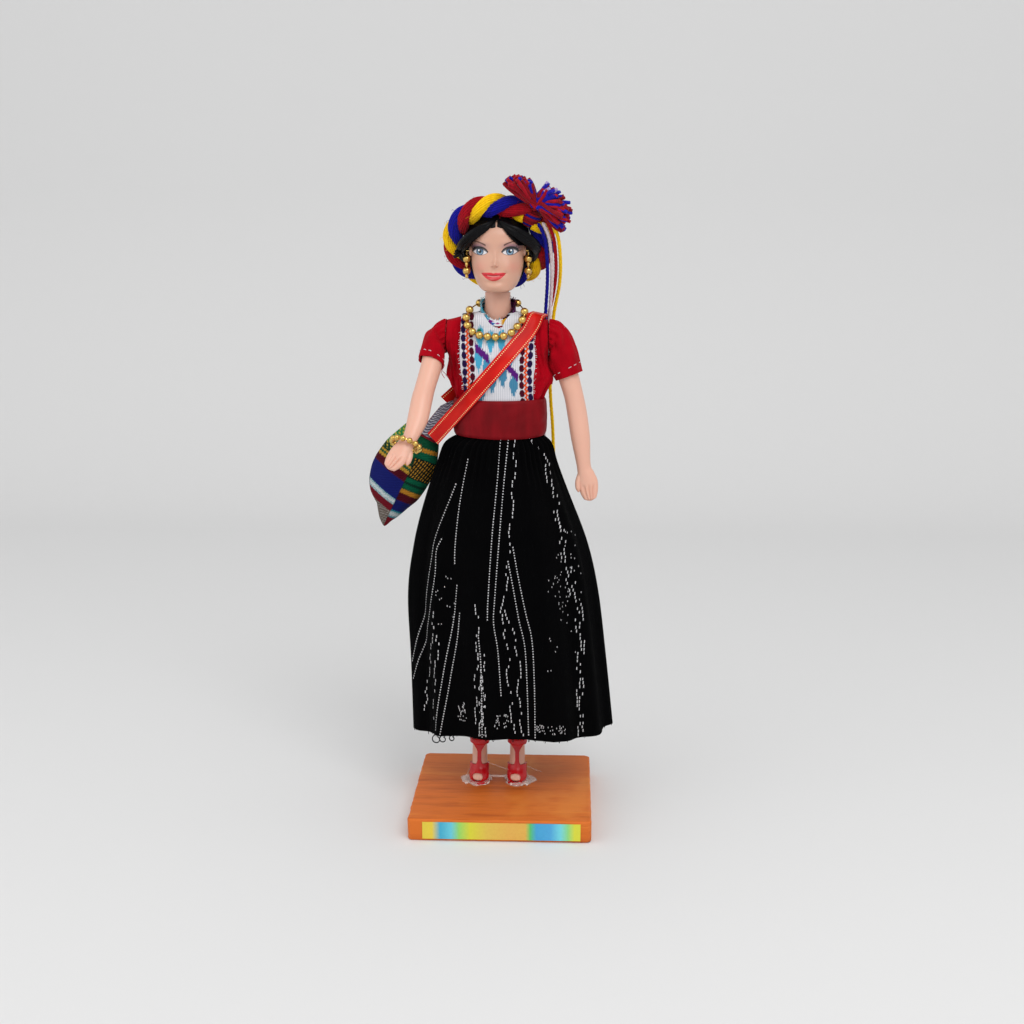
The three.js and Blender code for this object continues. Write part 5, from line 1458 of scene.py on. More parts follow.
@dataclass
class Trunk:
    """The two moulded halves of the trunk, of which the neck shows, in vinyl darkened by painted shade from
    the chin.
    """

    wall: float = 1.5
    seam: float = 0.004
    columns: int = 49

    ROWS = (
        (1.5, 16.2, 11.4, 0.5), (4, 17, 12, 0.5), (12, 16.8, 11.5, 0.5), (24, 13.5, 9.5, 0.2),
        (35, 11.5, 8, 0), (45, 13.5, 9.5, -0.5), (56, 15.5, 11.5, -1), (63, 16.5, 11.5, -1),
        (71, 18.5, 8.5, 0), (77, 18, 7.2, 0.2), (80, 12, 6.4, 0.1), (82.4, 8, 6.2, 0), (88, 6.4, 6.2, 0),
        (NECK_TOP, 6.2, 5.9, 0),
    )

    def build(self) -> None:
        """Make both halves and keep the frame's neck post."""
        for name, start in (("front", math.pi), ("back", 0.0)):
            # The halves take the darker vinyl: painted shade from the chin on the neck.
            dress(f"trunk_{name}", self.half(start), Finish.TRUNK_SKIN, Body.TORSO, f"torso_{name}")
        finish_node("neck_post", Finish.SKIN)

    def half(self, start: float) -> Shape:
        """Half of each ring, from one side seam to the other, with the wall's thickness.

        Args:
            start: Angle of the first seam.

        Returns:
            The mesh.
        """
        level = np.linspace(self.ROWS[0][0], NECK_TOP, 110)
        wide, deep, middle = (row[:, None] for row in rows_at(self.ROWS, level))
        angle = start + np.linspace(self.seam, math.pi - self.seam, self.columns)
        cosine, sine, height = np.cos(angle), np.sin(angle), level[:, None]
        outer, inner = (
            grid_of((wide - inset) * cosine, middle + (deep - inset) * sine, height) + HIP
            for inset in (0, self.wall)
        )
        return shell(outer, inner)


class Layers:
    """How far out the clothes of the upper body lie: the blouse and each layer over it."""

    ROWS = (
        (26, 19.6, 13.8, 1), (37, 20.1, 14.2, 1), (43, 20.9, 15, 0.9), (54, 23.4, 16.6, 0.6),
        (64, 24.6, 16.4, 0.3), (72, 27.5, 12.8, 0), (78, 27.5, 9.8, 0), (81, 25.5, 8.9, 0),
        (82.6, 19, 8.5, 0), (84, 12, 8.3, 0),
    )
    CLOSING = 80.0
    PANEL = 0.9
    SASH_OUTER = (23.05, 17.15)
    WAIST_X = 1.0
    SASH_LOW = 24.4
    SASH_HIGH = 42.6

    @classmethod
    def at(cls, level: Array, margin: float) -> tuple[Array, Array, Array]:
        """Half width, half depth and centre x at heights, for the blouse grown by a margin.

        Args:
            level: Heights above the hips.
            margin: Distance outside the blouse.

        Returns:
            The three measures.
        """
        table = np.array([
            (z + (margin if z > cls.CLOSING else 0), a + margin, b + margin, x) for z, a, b, x in cls.ROWS
        ])
        return tuple(np.interp(level, table[:, 0], table[:, k]) for k in (1, 2, 3))

    @classmethod
    def depth(cls, x: Array, z: Array, margin: float = PANEL + GAP) -> Array:
        """Half depth of the outermost layer at points of the front view: an ellipse at each height.

        Args:
            x: Distances from the middle.
            z: Heights.
            margin: Distance outside the blouse.

        Returns:
            The half depths.
        """
        wide, deep, middle = cls.at(z, margin)
        inside = np.clip(1 - ((x - middle) / wide) ** 2, 0, None)
        depth = deep * cls.fullness(x, z) * np.sqrt(inside)
        depth = np.where(z > cls.ROWS[-1][0] + margin, 0, depth)
        a, b = (half + 0.5 for half in cls.SASH_OUTER)
        sash = b * np.sqrt(np.clip(1 - ((x - cls.WAIST_X) / a) ** 2, 0, None))
        return np.maximum(depth, np.where(z < cls.SASH_HIGH + 2.5, sash, 0))

    @staticmethod
    def fullness(x: Array, z: Array) -> Array:
        """How much deeper than an ellipse the blouse is beside the armholes."""
        return 1 + 0.7 * ease(np.abs(x), 17.5, 25) * ease(z, 56, 68)

    @staticmethod
    def collar_front(angle: Array) -> Array:
        """1 in front of the neck and 0 behind it, falling off as a cube."""
        return ((1 - np.sin(angle)) / 2) ** 3

    @classmethod
    def inside_neck(cls, x: Array, y: Array, radius: float) -> Array:
        """Which places lie within a radius of the neck's middle, 1.6 mm more in front."""
        return np.hypot(x, y) < radius + 1.6 * cls.collar_front(np.arctan2(y, x))


@dataclass
class Blouse:
    """Crimson cotton body of the blouse: soft gathers above the sash, open at neck and armholes."""

    wall: float = 1.0
    side_x: float = 25.15
    armhole: float = 5.6
    armhole_drop: float = 0.3
    gather: float = 0.8
    columns: int = 200

    def build(self) -> None:
        """Make the body of the blouse."""
        outer, inner, keep = self.grids()
        cloth = shell(outer, inner, True, keep)
        piece = dress("blouse_cloth", cloth, Finish.RED_COTTON, Body.TORSO, "blouse_body")

    def grids(self) -> tuple[Array, Array, Array]:
        """Rings of the blouse with gathers that fade upwards; cells in the holes are left out.

        Returns:
            The outer and the inner surface, and which cells stay.
        """
        level = np.concatenate([np.linspace(26, 79.5, 96), np.linspace(80, 84.6, 24)])
        wide, deep, middle = Layers.at(level, 0)
        wide = np.where(level > 84, 12 - (level - 84) * 5, wide)
        outer = level_rings(level, self.columns, wide, deep, 0, middle)
        angle = full_turn(self.columns)
        gathers = np.cos(23 * angle + 1.5 * np.sin(4 * angle)) * self.gather
        fade = (ease(level, 76, 44) * 0.8 + 0.1)[:, None]
        soft = 0.35 * ripple(outer, 13, 11)
        shift = np.where(np.abs(outer[..., 0]) < 17, -0.2, gathers * fade + soft - 0.3)
        outer[..., :2] += unit(outer[..., :2]) * shift[..., None]
        outer[..., 1] *= Layers.fullness(outer[..., 0], outer[..., 2])
        x, y, z = np.moveaxis(outer, -1, 0)
        crease = np.cos(np.abs(x) * TURN / 2.6 + 0.05 * z + 0.8 * np.sin(z / 6 + np.sign(x))) - 0.3
        outer[..., 1] += np.sign(y) * 0.55 * crease * ease(np.abs(x), 18.3, 19.4) * ease(z, 81, 68)
        droop = hump(z, 53, 7.5) * np.where(x > 0, 3.6, 2.6 * ease(y, -6, 3)) * ease(np.abs(x), 13, 22)
        outer[..., 0] += np.sign(x) * droop * (1 + 0.25 * np.sin(y * 1.7))
        limit = self.side_x + 2.3 * hump(z, 52, 7)
        outer[..., 0] = np.clip(outer[..., 0], -limit, limit)
        inner = outer - grid_normals(outer, True) * self.wall
        inner[..., 0] = np.clip(inner[..., 0], 0.2 - limit, limit - 0.2)
        x, y, z = np.moveaxis(outer[:-1], -1, 0)
        below = z + self.armhole_drop - SHOULDER_HEIGHT
        hole = (np.abs(x) > self.side_x - 0.05) & (y**2 + below**2 < self.armhole**2)
        neck = Layers.inside_neck(x, y, 9.1) & (z > 78.5)
        return outer + HIP, inner + HIP, ~(hole | neck)


@dataclass
class BrocadePanel:
    """White brocade over chest and back with woven bands, ovals and drops, open at the neck."""

    half_width: float = 17.5
    bottom: float = 38.6
    thickness: float = 0.55
    columns: int = 150
    loose_threads: int = 70

    WHITE = "e4e4e8"
    WARP = "b2b4be"
    NAVY = "22123e"
    MAROON = "480a1e"
    ORANGE = "e24e18"
    PURPLE = "581c74"
    GREEN = "1f6b45"
    DROPS = (
        (-8.0, 73, "1fa0c6"), (-2.8, 71, "1fa0c6"), (2.4, 71.5, "1fa0c6"), (-8.6, 62.5, "1fa0c6"),
        (-4.5, 58.5, "1c8fb8"), (7.5, 66, "1fa0c6"), (-2, 51.5, "1a7ba0"), (3.2, 54.5, "1a7ba0"),
        (8.4, 49.8, "1a7ba0"), (-7.6, 46, "1a7ba0"),
    )

    def build(self) -> None:
        """Make the front and the back, which meet on the shoulders."""
        front, front_inner, front_keep = self.grids(-1)
        back, back_inner, back_keep = self.grids(1)
        cloth = joined([
            shell(front, front_inner, False, front_keep, colours=self.paint(front - HIP)),
            shell(back, back_inner, False, back_keep, colours=self.paint(back - HIP)),
            self.frayed_edges(front, front_inner),
        ])
        piece = dress("brocade_panel", cloth, Finish.BROCADE, Body.TORSO, "blouse_panel")

    def grids(self, sign: int) -> tuple[Array, Array, Array]:
        """Front (-1) or back (1): rows up to the shoulder, columns spread by angle between the edges.

        Args:
            sign: -1 in front, 1 at the back.

        Returns:
            Outer, inner and UV grids.
        """
        level = np.concatenate([np.linspace(self.bottom, 79.5, 104), np.linspace(79.7, 85.6, 46)])
        share = np.linspace(-1, 1, self.columns)
        grids = []
        for margin in (0.35 + self.thickness, 0.35):
            wide, deep, middle = Layers.at(level, margin)
            wide = np.where(level > 84.6, np.maximum(12 - (level - 84.6) * 4, 8), wide)
            edge = self.half_width + 0.9 * hump(level, 62, 12) - 0.8 * hump(level, 48, 8)
            limit = np.arcsin(np.clip(edge / wide, 0, 1))
            angle = limit[:, None] * share[None]
            x = middle[:, None] * ease(level, 84, 70)[:, None] + wide[:, None] * np.sin(angle) * -sign
            grids.append(grid_of(x, sign * deep[:, None] * np.cos(angle), level[:, None]))
        outer, inner = grids
        buckle = 0.22 * ripple(outer, 9, 31) * ease(level, 40, 46)[:, None]
        outer[..., 1] += sign * buckle
        inner[..., 1] += sign * buckle
        x, y, z = np.moveaxis(outer[:-1, :-1], -1, 0)
        return outer + HIP, inner + HIP, ~(Layers.inside_neck(x, y, 9.5) & (z > 77.5))

    def paint(self, points: Array) -> Array:
        """Colours by place in the front view: warp lines, two side bands, pointed drops and bars.

        The drops and bars are feathered up and down by sines of x, as in resist-dyed yarn.

        Args:
            points: The grid of points.

        Returns:
            The colours.
        """
        x, z = points[..., 0], points[..., 2]
        colour = np.broadcast_to(linear(self.WHITE), points.shape).copy()
        lay(colour, 0.75 * (0.5 + 0.5 * np.cos(x * TURN / 1.05)) ** 3, self.WARP)
        lay(colour, 0.15 * (0.5 + 0.5 * np.cos(z * TURN / 0.75)), self.WARP)
        feather = 0.7 * np.sin(x * 8.7) + 0.6 * np.sin(x * 5.1 + 1) + 0.3 * np.sin(x * 21)
        for cx, cz, tone in self.DROPS:
            fall = (z - cz + feather) / 5.4
            taper = np.where(fall < 0, np.clip(1 + fall, 0, 1) ** 0.8, np.sqrt(np.clip(1 - fall**2, 0, 1)))
            lay(colour, 0.92 * (np.abs(x - cx) < 2.1 * taper), tone)
        for left, right, start, slope in ((-10.4, -3.6, 65.8, -0.85), (4.4, 10.6, 57.3, -1.1)):
            off_line = z - start - slope * (x - (left + right) / 2) + 0.5 * feather
            lay(colour, (np.abs(off_line) < 2.1) & (x > left) & (x < right), self.PURPLE)
        for cx in (-8.5, 8.3):
            lay(colour, hump(x, cx, 1.3) * hump(z + 0.4 * feather, 76.3, 1.2) > 0.5, self.GREEN)
        bend = 0.5 * np.sin(z / 7)
        self.side_band(colour, -x - 14.0 + bend, z)
        self.side_band(colour, x - 14.6 + bend, z)
        return colour

    def side_band(self, colour: Array, x: Array, z: Array) -> None:
        """One side's band, x outwards from its middle: dark ovals beside a bright zigzag.

        Args:
            colour: The colours, changed in place.
            x: Distances from the middle.
            z: Heights.
        """
        for column, tone in ((1.95, self.NAVY), (-1.95, self.MAROON)):
            step = z / 4.1 + 0.25 * np.sign(column)
            cell = (step - np.round(step)) * 4.1
            lay(colour, ((x - column) / 1.25) ** 2 + (cell / 1.95) ** 2 < 1, tone)
        zigzag = 0.5 * (4 * np.abs(np.mod(z / 2.05, 1) - 0.5) - 1)
        lay(colour, np.abs(x - zigzag) < 0.62, self.ORANGE)

    def frayed_edges(self, outer: Array, inner: Array) -> Shape:
        """Short loose weft threads that stand out of both side edges of the front.

        Args:
            outer: The outer surface.
            inner: The inner surface.

        Returns:
            The mesh.
        """
        rng, count = np.random.default_rng(41), self.loose_threads
        pick = rng.integers(16, 95, count)
        right = rng.integers(0, 2, count) == 0
        root = sum(np.where(right[:, None], grid[pick, 1], grid[pick, -2]) * 0.5 for grid in (outer, inner))
        away = np.column_stack([
            np.where(right, -1, 1) * rng.uniform(0.5, 1.3, count),
            rng.uniform(-0.1, 0.5, count), rng.uniform(-0.5, 0.5, count),
        ])
        share = np.linspace(0, 1, 4)[:, None]
        paths = root[:, None] + away[:, None] * share + np.array([0, 0, -0.3]) * share**2
        return tubes(paths, 0.09, 4, (0, 0.2, 1), colours=np.broadcast_to(linear(self.WHITE), (count, 3)))


@dataclass
class Collar:
    """Standing end of the brocade round the neck, banded and frayed along its top."""

    radius: float = 8.0
    wall: float = 0.7
    seat: float = 84.8
    height: float = 6.2
    rows: int = 30
    columns: int = 260
    threads: int = 90

    MOTIFS = (
        (252, 7, 0.2, 0.8, "7c1c80"), (259, 4, 0.1, 0.5, "2f6fb4"), (290, 7, 0.1, 0.85, "dfa020"),
        (224, 9, 0.1, 0.9, "2a9fc4"), (240, 5, 0.5, 0.9, "2a9fc4"), (272, 4, 0.3, 0.6, "a2357c"),
        (304, 5, 0.0, 0.5, "246a44"),
    )

    def build(self) -> None:
        """Make the collar and its loose threads."""
        outer, inner = self.grids()
        cloth = shell(outer, inner, True, colours=self.paint())
        collar = joined([cloth, self.fringe(outer, inner)])
        dress("brocade_collar", collar, Finish.BROCADE, Body.TORSO, "collar")

    def grids(self) -> tuple[Array, Array]:
        """A band round the neck that drops and stands out in front, its top edge uneven.

        Returns:
            The outer and the inner surface.
        """
        angle = full_turn(self.columns)
        front = Layers.collar_front(angle)
        low = self.seat - 0.5 - 5.8 * front
        high = self.seat + self.height - 9.6 * front
        rag = 0.35 * np.sin(37 * angle) * np.sin(11 * angle + 1) + 0.25 * np.sin(61 * angle)
        share = np.linspace(0, 1, self.rows)[:, None]
        z = low + (high - low) * share + rag * ease(share, 0.75, 1)
        grids = []
        for step in (self.wall, 0.0):
            reach = self.radius + step + 1.6 * front - 0.3 * share + 0.25 * np.sin(3 * angle + 2) * share
            grids.append(grid_of(reach * np.cos(angle), reach * np.sin(angle), z) + HIP)
        return grids[0], grids[1]

    def paint(self) -> Array:
        """Colours by angle and height: turquoise on the right, bright motifs in front, maroon left.

        Returns:
            The colours.
        """
        angle = full_turn(self.columns)
        share = np.linspace(0, 1, self.rows)[:, None]
        colour = np.broadcast_to(linear(BrocadePanel.WHITE), (self.rows, self.columns, 3)).copy()
        right = np.cos(angle)[None] < -0.35
        left = np.cos(angle)[None] > 0.3
        stripe = np.mod(share * 3.2, 1) < 0.5
        wave = np.abs(np.mod(angle * 14 / TURN * 2, 1) - 0.5)[None]
        lay(colour, right & stripe, "2f97b4")
        lay(colour, right & ~stripe & (wave < 0.2), "6fc2cc")
        lay(colour, left & (share > 0.2), "4c1838")
        lay(colour, left & (share > 0.2) & (wave < 0.18), "7a3f86")
        lay(colour, left & (share > 0.8), "2a1020")
        for place, width, low, high, tone in self.MOTIFS:
            ragged = width + 2.5 * np.sin(share * 19)
            near = np.abs(np.degrees(angle)[None] - place) < ragged
            lay(colour, near & (share > low) & (share < high), tone)
        return colour

    def fringe(self, outer: Array, inner: Array) -> Shape:
        """Loose threads that bend away from the top edge.

        Args:
            outer: The outer surface.
            inner: The inner surface.

        Returns:
            The mesh.
        """
        rng = np.random.default_rng(52)
        pick = rng.integers(0, self.columns, self.threads)
        root = (outer[-1, pick] + inner[-1, pick]) / 2
        away = unit(root - HIP - np.array([0, 0, 88])) * rng.uniform(0.1, 0.8, (self.threads, 1))
        rise = np.column_stack([np.zeros((self.threads, 2)), rng.uniform(0.5, 1.6, self.threads)])
        share = np.linspace(-0.2, 1, 5)[:, None]
        paths = root[:, None] + rise[:, None] * share + away[:, None] * share * np.abs(share)
        choice = palette("dcdce0", "5a1a3a", "4fb0b8")
        side = np.where(root[:, 0] - HIP[0] > 2, 1, rng.integers(0, 2, self.threads) * 2)
        return tubes(paths, 0.1, 4, (1, 0.1, 0.1), colours=choice[side])


@dataclass
class Sash:
    """Wide crimson satin band pulled round the waist, with fine creases."""

    wall: float = 0.9
    bulge: float = 0.35
    columns: int = 220
    rows: int = 40

    def build(self) -> None:
        """Make the sash with its edges turned in."""
        outer, inner = self.grids()
        piece = dress("satin_sash", shell(outer, inner, True), Finish.CRIMSON_SATIN, Body.TORSO, "sash")

    def grids(self) -> tuple[Array, Array]:
        """An oval band that bulges at mid height; creases are ripples drawn out round the waist.

        Returns:
            The outer and the inner surface.
        """
        share = np.linspace(0, 1, self.rows)
        level = Layers.SASH_LOW + (Layers.SASH_HIGH - Layers.SASH_LOW) * share
        swell = self.bulge * np.sin(share * math.pi) - 0.5 * (hump(share, 0, 0.04) + hump(share, 1, 0.04))
        wide, deep = Layers.SASH_OUTER[0] + swell, Layers.SASH_OUTER[1] + swell
        outer = level_rings(level, self.columns, wide, deep, 0, Layers.WAIST_X)
        angle = full_turn(self.columns)
        folds = ripple(np.stack(np.meshgrid(angle * 6, share * 9), axis=-1), 3.2, 61)
        upright = ripple(np.stack(np.meshgrid(angle * 22, share * 4), axis=-1), 6, 62)
        shift = (0.1 * folds + 0.05 * upright) * np.sin(share * math.pi)[:, None] ** 0.5
        outer[..., :2] += unit(outer[..., :2]) * shift[..., None]
        low = (1 - share)[:, None]
        outer[..., 2] += 0.35 * np.sin(2 * angle + 1) * low - 0.4 * np.maximum(0, -np.sin(angle)) * low
        inner = level_rings(level, self.columns, wide - self.wall, deep - self.wall, 0, Layers.WAIST_X)
        inner[..., 2] = outer[..., 2]
        return outer + HIP, inner + HIP


@dataclass
class Skirt:
    """Long gathered skirt of black cotton with white woven stripes and a frayed hem."""

    top: float = 36.5
    seam: float = 24.1
    hem: float = -126.0
    wall: float = 0.8
    columns: int = 360
    rows: int = 124
    folds: int = 11
    fold_depth: float = 3.4
    loops: int = 110
    sway_heights: tuple[float, float] = (-75.0, 8.0)

    ROWS = (
        (0, 21.48, 15.58, 1), (0.028, 26.8, 19.8, 0), (0.09, 30.4, 22.4, -0.6), (0.2, 37, 26.6, -0.6),
        (0.365, 45.2, 30, 0.5), (0.53, 49.7, 32, 1.6), (0.755, 51.4, 33.5, 4.3), (1, 53.2, 34, 6.7),
    )

    STRIPES = (
        ((2, 23.6), (0.6, 3), (-1.6, -23), (-3.3, -54), (-3.5, -64)),
        ((5.6, 23.6), (3.8, 3), (1.5, -28), (-0.3, -54), (-0.7, -66), (1.3, -80), (2.9, -103)),
        ((8.4, -28), (11.1, -43), (14.7, -61), (17.5, -74), (18.8, -95), (19.5, -125)),
        ((6.1, -35), (8.4, -47), (11.5, -64), (14.3, -77), (15.5, -95), (16.5, -124)),
        ((-18.9, 2), (-23.9, -12), (-28.9, -26), (-30.6, -36), (-34, -54), (-37.6, -70), (-40.4, -90)),
        ((-25.3, -25), (-27.6, -31), (-28.2, -43), (-31.2, -61), (-36.4, -80), (-40.2, -100)),
        ((-13.9, 14), (-15.3, 5), (-18, -12), (-19.8, -29), (-20, -37)),
        ((-18.9, -48), (-20.7, -64), (-23.7, -83), (-26, -103), (-28.5, -123)),
        ((-17.6, -62), (-18.9, -74), (-21.5, -90), (-23.7, -107), (-26, -125)),
        ((-7.6, -72), (-6.2, -90), (-5.7, -125)),
    )
    BROKEN = (
        ((-7.2, -84), (-6.9, -96), (-6.6, -125)),
        ((-5.4, -80), (-5, -96), (-4.6, -125)),
        (
            (9.3, 23), (8.5, 8), (7.5, -12), (6.5, -29), (4.7, -52), (3.1, -64), (7, -81), (6.1, -90),
            (9.3, -124),
        ),
        ((5.2, -60), (9.3, -74), (12, -90), (11.5, -105), (13.8, -125)),
        ((-28.2, -62), (-30.8, -81), (-34.4, -97), (-37.2, -116)),
        ((-26.9, -74), (-28, -93), (-31, -118)),
        ((-8.5, -57), (-7.9, -72), (-9, -98), (-8.4, -125)),
        (
            (16.5, 24), (22.8, 13), (25.2, 0), (30.2, -21), (33.6, -39), (38.6, -60), (40.6, -81), (41, -100),
            (42, -125),
        ),
        (
            (17.6, 22), (24, 12), (26.6, 0), (31.4, -21), (35, -39), (39.8, -60), (41.6, -81), (42, -100),
            (43, -125),
        ),
    )
    CURLS = ((225, 1.9), (230, 1.5), (235, 1.2))
    SPECKS = (
        (24, 40, -90, -20, 40), (26, 38, -62, -28, 20), (-19, -14.5, -118, -108, 30),
        (0, 6.5, -120, -113, 26), (20, 34, -122, -117, 40), (-7.8, -4.4, -125, -98, 24),
        (-30, -20, -70, -40, 16),
    )

    def build(self) -> None:
        """Make the skirt, the white threads woven into it and the threads of its hem."""
        outer, inner = self.grids()
        round_it = np.arange(self.columns + 1) / self.columns / MM
        uv = np.stack(np.meshgrid(round_it, path_length(outer[:, 0])), axis=-1)
        ends = HIP + np.array([[0, 0, rise] for rise in self.sway_heights])
        bodies, cloth = (Body.BASE, Body.TORSO), shell(outer, inner, True, uv=uv)
        piece = dress_across("skirt_cloth", cloth, Finish.SKIRT_COTTON, bodies, ends, "skirt")
        dress_across("skirt_fringe", self.fringe(outer, inner), Finish.BLACK_THREAD, bodies, ends)
        dress_across("skirt_threads", self.threads(outer), Finish.WHITE_THREAD, bodies, ends)

    def grids(self) -> tuple[Array, Array]:
        """Rings from the waist down; folds are a warped cosine of the angle that deepens downwards.

        Returns:
            The outer and the inner surface.
        """
        share = (np.linspace(0, 1, self.rows) ** 1.1)[:, None]
        angle = full_turn(self.columns)
        wide, deep, middle = rows_at(self.ROWS, share)
        reach = np.minimum(1, share * 1.8)
        warped = self.folds * angle + 0.9 * np.sin(3 * angle + 1)
        fold = self.fold_depth * reach * (1 - np.cos(warped)) / 2
        small = 0.25 * reach * np.sin(27 * angle + 2 * np.sin(5 * angle) + 3 * share)
        gathers = 0.7 * np.cos(46 * angle + 2 * np.sin(7 * angle)) * hump(share, 0.03, 0.1)
        inset = fold + small + 0.4 - gathers
        z = self.seam + (self.hem - self.seam) * share + 1.2 * np.sin(3 * angle + 0.6) * share
        body = grid_of(middle + (wide - inset) * np.cos(angle), (deep - inset) * np.sin(angle), z)
        waist = level_rings(np.linspace(self.top, self.seam, 12), self.columns, 21.3, 15.4, 0, 1)
        outer = np.concatenate([waist[:-1], body])[::-1]
        inner = outer - grid_normals(outer, True) * self.wall
        return outer + HIP, inner + HIP

    def threads(self, outer: Array) -> Shape:
        """White threads: even dashes along the stripes, broken runs beside them, and stray specks.

        The back has the front's stripes turned left to right.

        Args:
            outer: The outer surface.

        Returns:
            The mesh.
        """
        rng = np.random.default_rng(73)
        places = [self.along(path, 1.35) for path in self.STRIPES]
        even = sum(len(line) for line in places)
        for path in self.BROKEN:
            line = self.along(path, 1.9)
            run = np.floor(np.arange(len(line)) / 5 + rng.uniform(0, 1))
            line[:, 0] += 1.1 * (np.mod(run, 2) - 0.5) + rng.normal(0, 0.12, len(line))
            places.append(line[rng.uniform(0, 1, len(line)) < 0.72])
        woven = sum(len(line) for line in places)
        for left, right, low, high, count in self.SPECKS:
            places.append(np.column_stack([rng.uniform(left, right, count), rng.uniform(low, high, count)]))
        front = np.concatenate(places)
        middle = np.concatenate([front, front * (-1, 1) + (6, 0)])
        behind = np.arange(len(middle))[:, None] >= len(front)
        order = np.tile(np.arange(len(front)), 2)[:, None]
        thick = np.where(order < even, 0.25, np.where(order < woven, 0.21, 0.16))
        reach = np.where(order < even, 0.33, np.where(order < woven, 0.7, 0.34))
        z = middle[:, 1:] + reach * rng.uniform(0.8, 1.1, (len(middle), 1)) * np.array([-1, 0, 1])
        x = np.broadcast_to(middle[:, :1], z.shape)
        flat, ring = outer[..., 0] - HIP[0], np.arange(len(outer))
        row = np.interp(z, outer[..., 2].mean(1) - HIP[2], ring)
        centre = np.interp(row, ring, flat.mean(1))
        half = np.interp(row, ring, np.ptp(flat, axis=1) / 2) * 0.95
        turn = np.arccos(np.clip((x - centre) / half, -0.99, 0.99)) / TURN
        column = self.columns * np.where(behind, turn, 1 - turn)
        outward = sampled(grid_normals(outer, True), row, column)
        return tubes(sampled(outer, row, column) + outward * 0.06, thick, 4, outward, 0.5)

    @staticmethod
    def along(path: Sequence[tuple[float, float]], pitch: float) -> Array:
        """Places at an even pitch along a smooth path.

        Args:
            path: Corners of the path.
            pitch: The distance.

        Returns:
            The places.
        """
        dense = spline(np.array(path, float), 60 * len(path))
        length = path_length(dense)
        at = np.arange(0, length[-1], pitch)
        return np.column_stack([np.interp(at, length, dense[:, k]) for k in (0, 1)])

    def fringe(self, outer: Array, inner: Array) -> Shape:
        """Frayed threads under the hem, some of them in loops: each swings down and back.

        Args:
            outer: The outer surface.
            inner: The inner surface.

        Returns:
            The mesh.
        """
        rng = np.random.default_rng(71)
        pick = rng.integers(0, self.columns, self.loops)
        root = (outer[0, pick] + inner[0, pick]) / 2
        share = np.linspace(0, 1, 9)[:, None]
        drop = rng.uniform(0.4, 1.5, self.loops)
        looped = rng.uniform(0, 1, self.loops) < 0.3
        drop = np.where(looped, drop * 1.6, drop)
        sway = unit(np.cross(root - HIP, np.array([0, 0, 1.0]))) * rng.uniform(-1.6, 1.6, (self.loops, 1))
        fall = np.where(looped[:, None], np.sin(share.T * math.pi), share.T)
        paths = root[:, None] + sway[:, None] * share
        paths[..., 2] += 0.4 - drop[:, None] * fall
        turn = np.linspace(0.4, TURN + 0.9, 30)
        curl = grid_of(np.sin(turn), 0.2 * turn - 0.6, np.cos(turn) - 1)
        curls = np.stack([outer[0, column] + reach * curl for column, reach in self.CURLS])
        return joined([tubes(paths, 0.15, 4, (0.3, 0.2, 1.0)), tubes(curls, 0.28, 6, (0.1, 1, 0.1))])


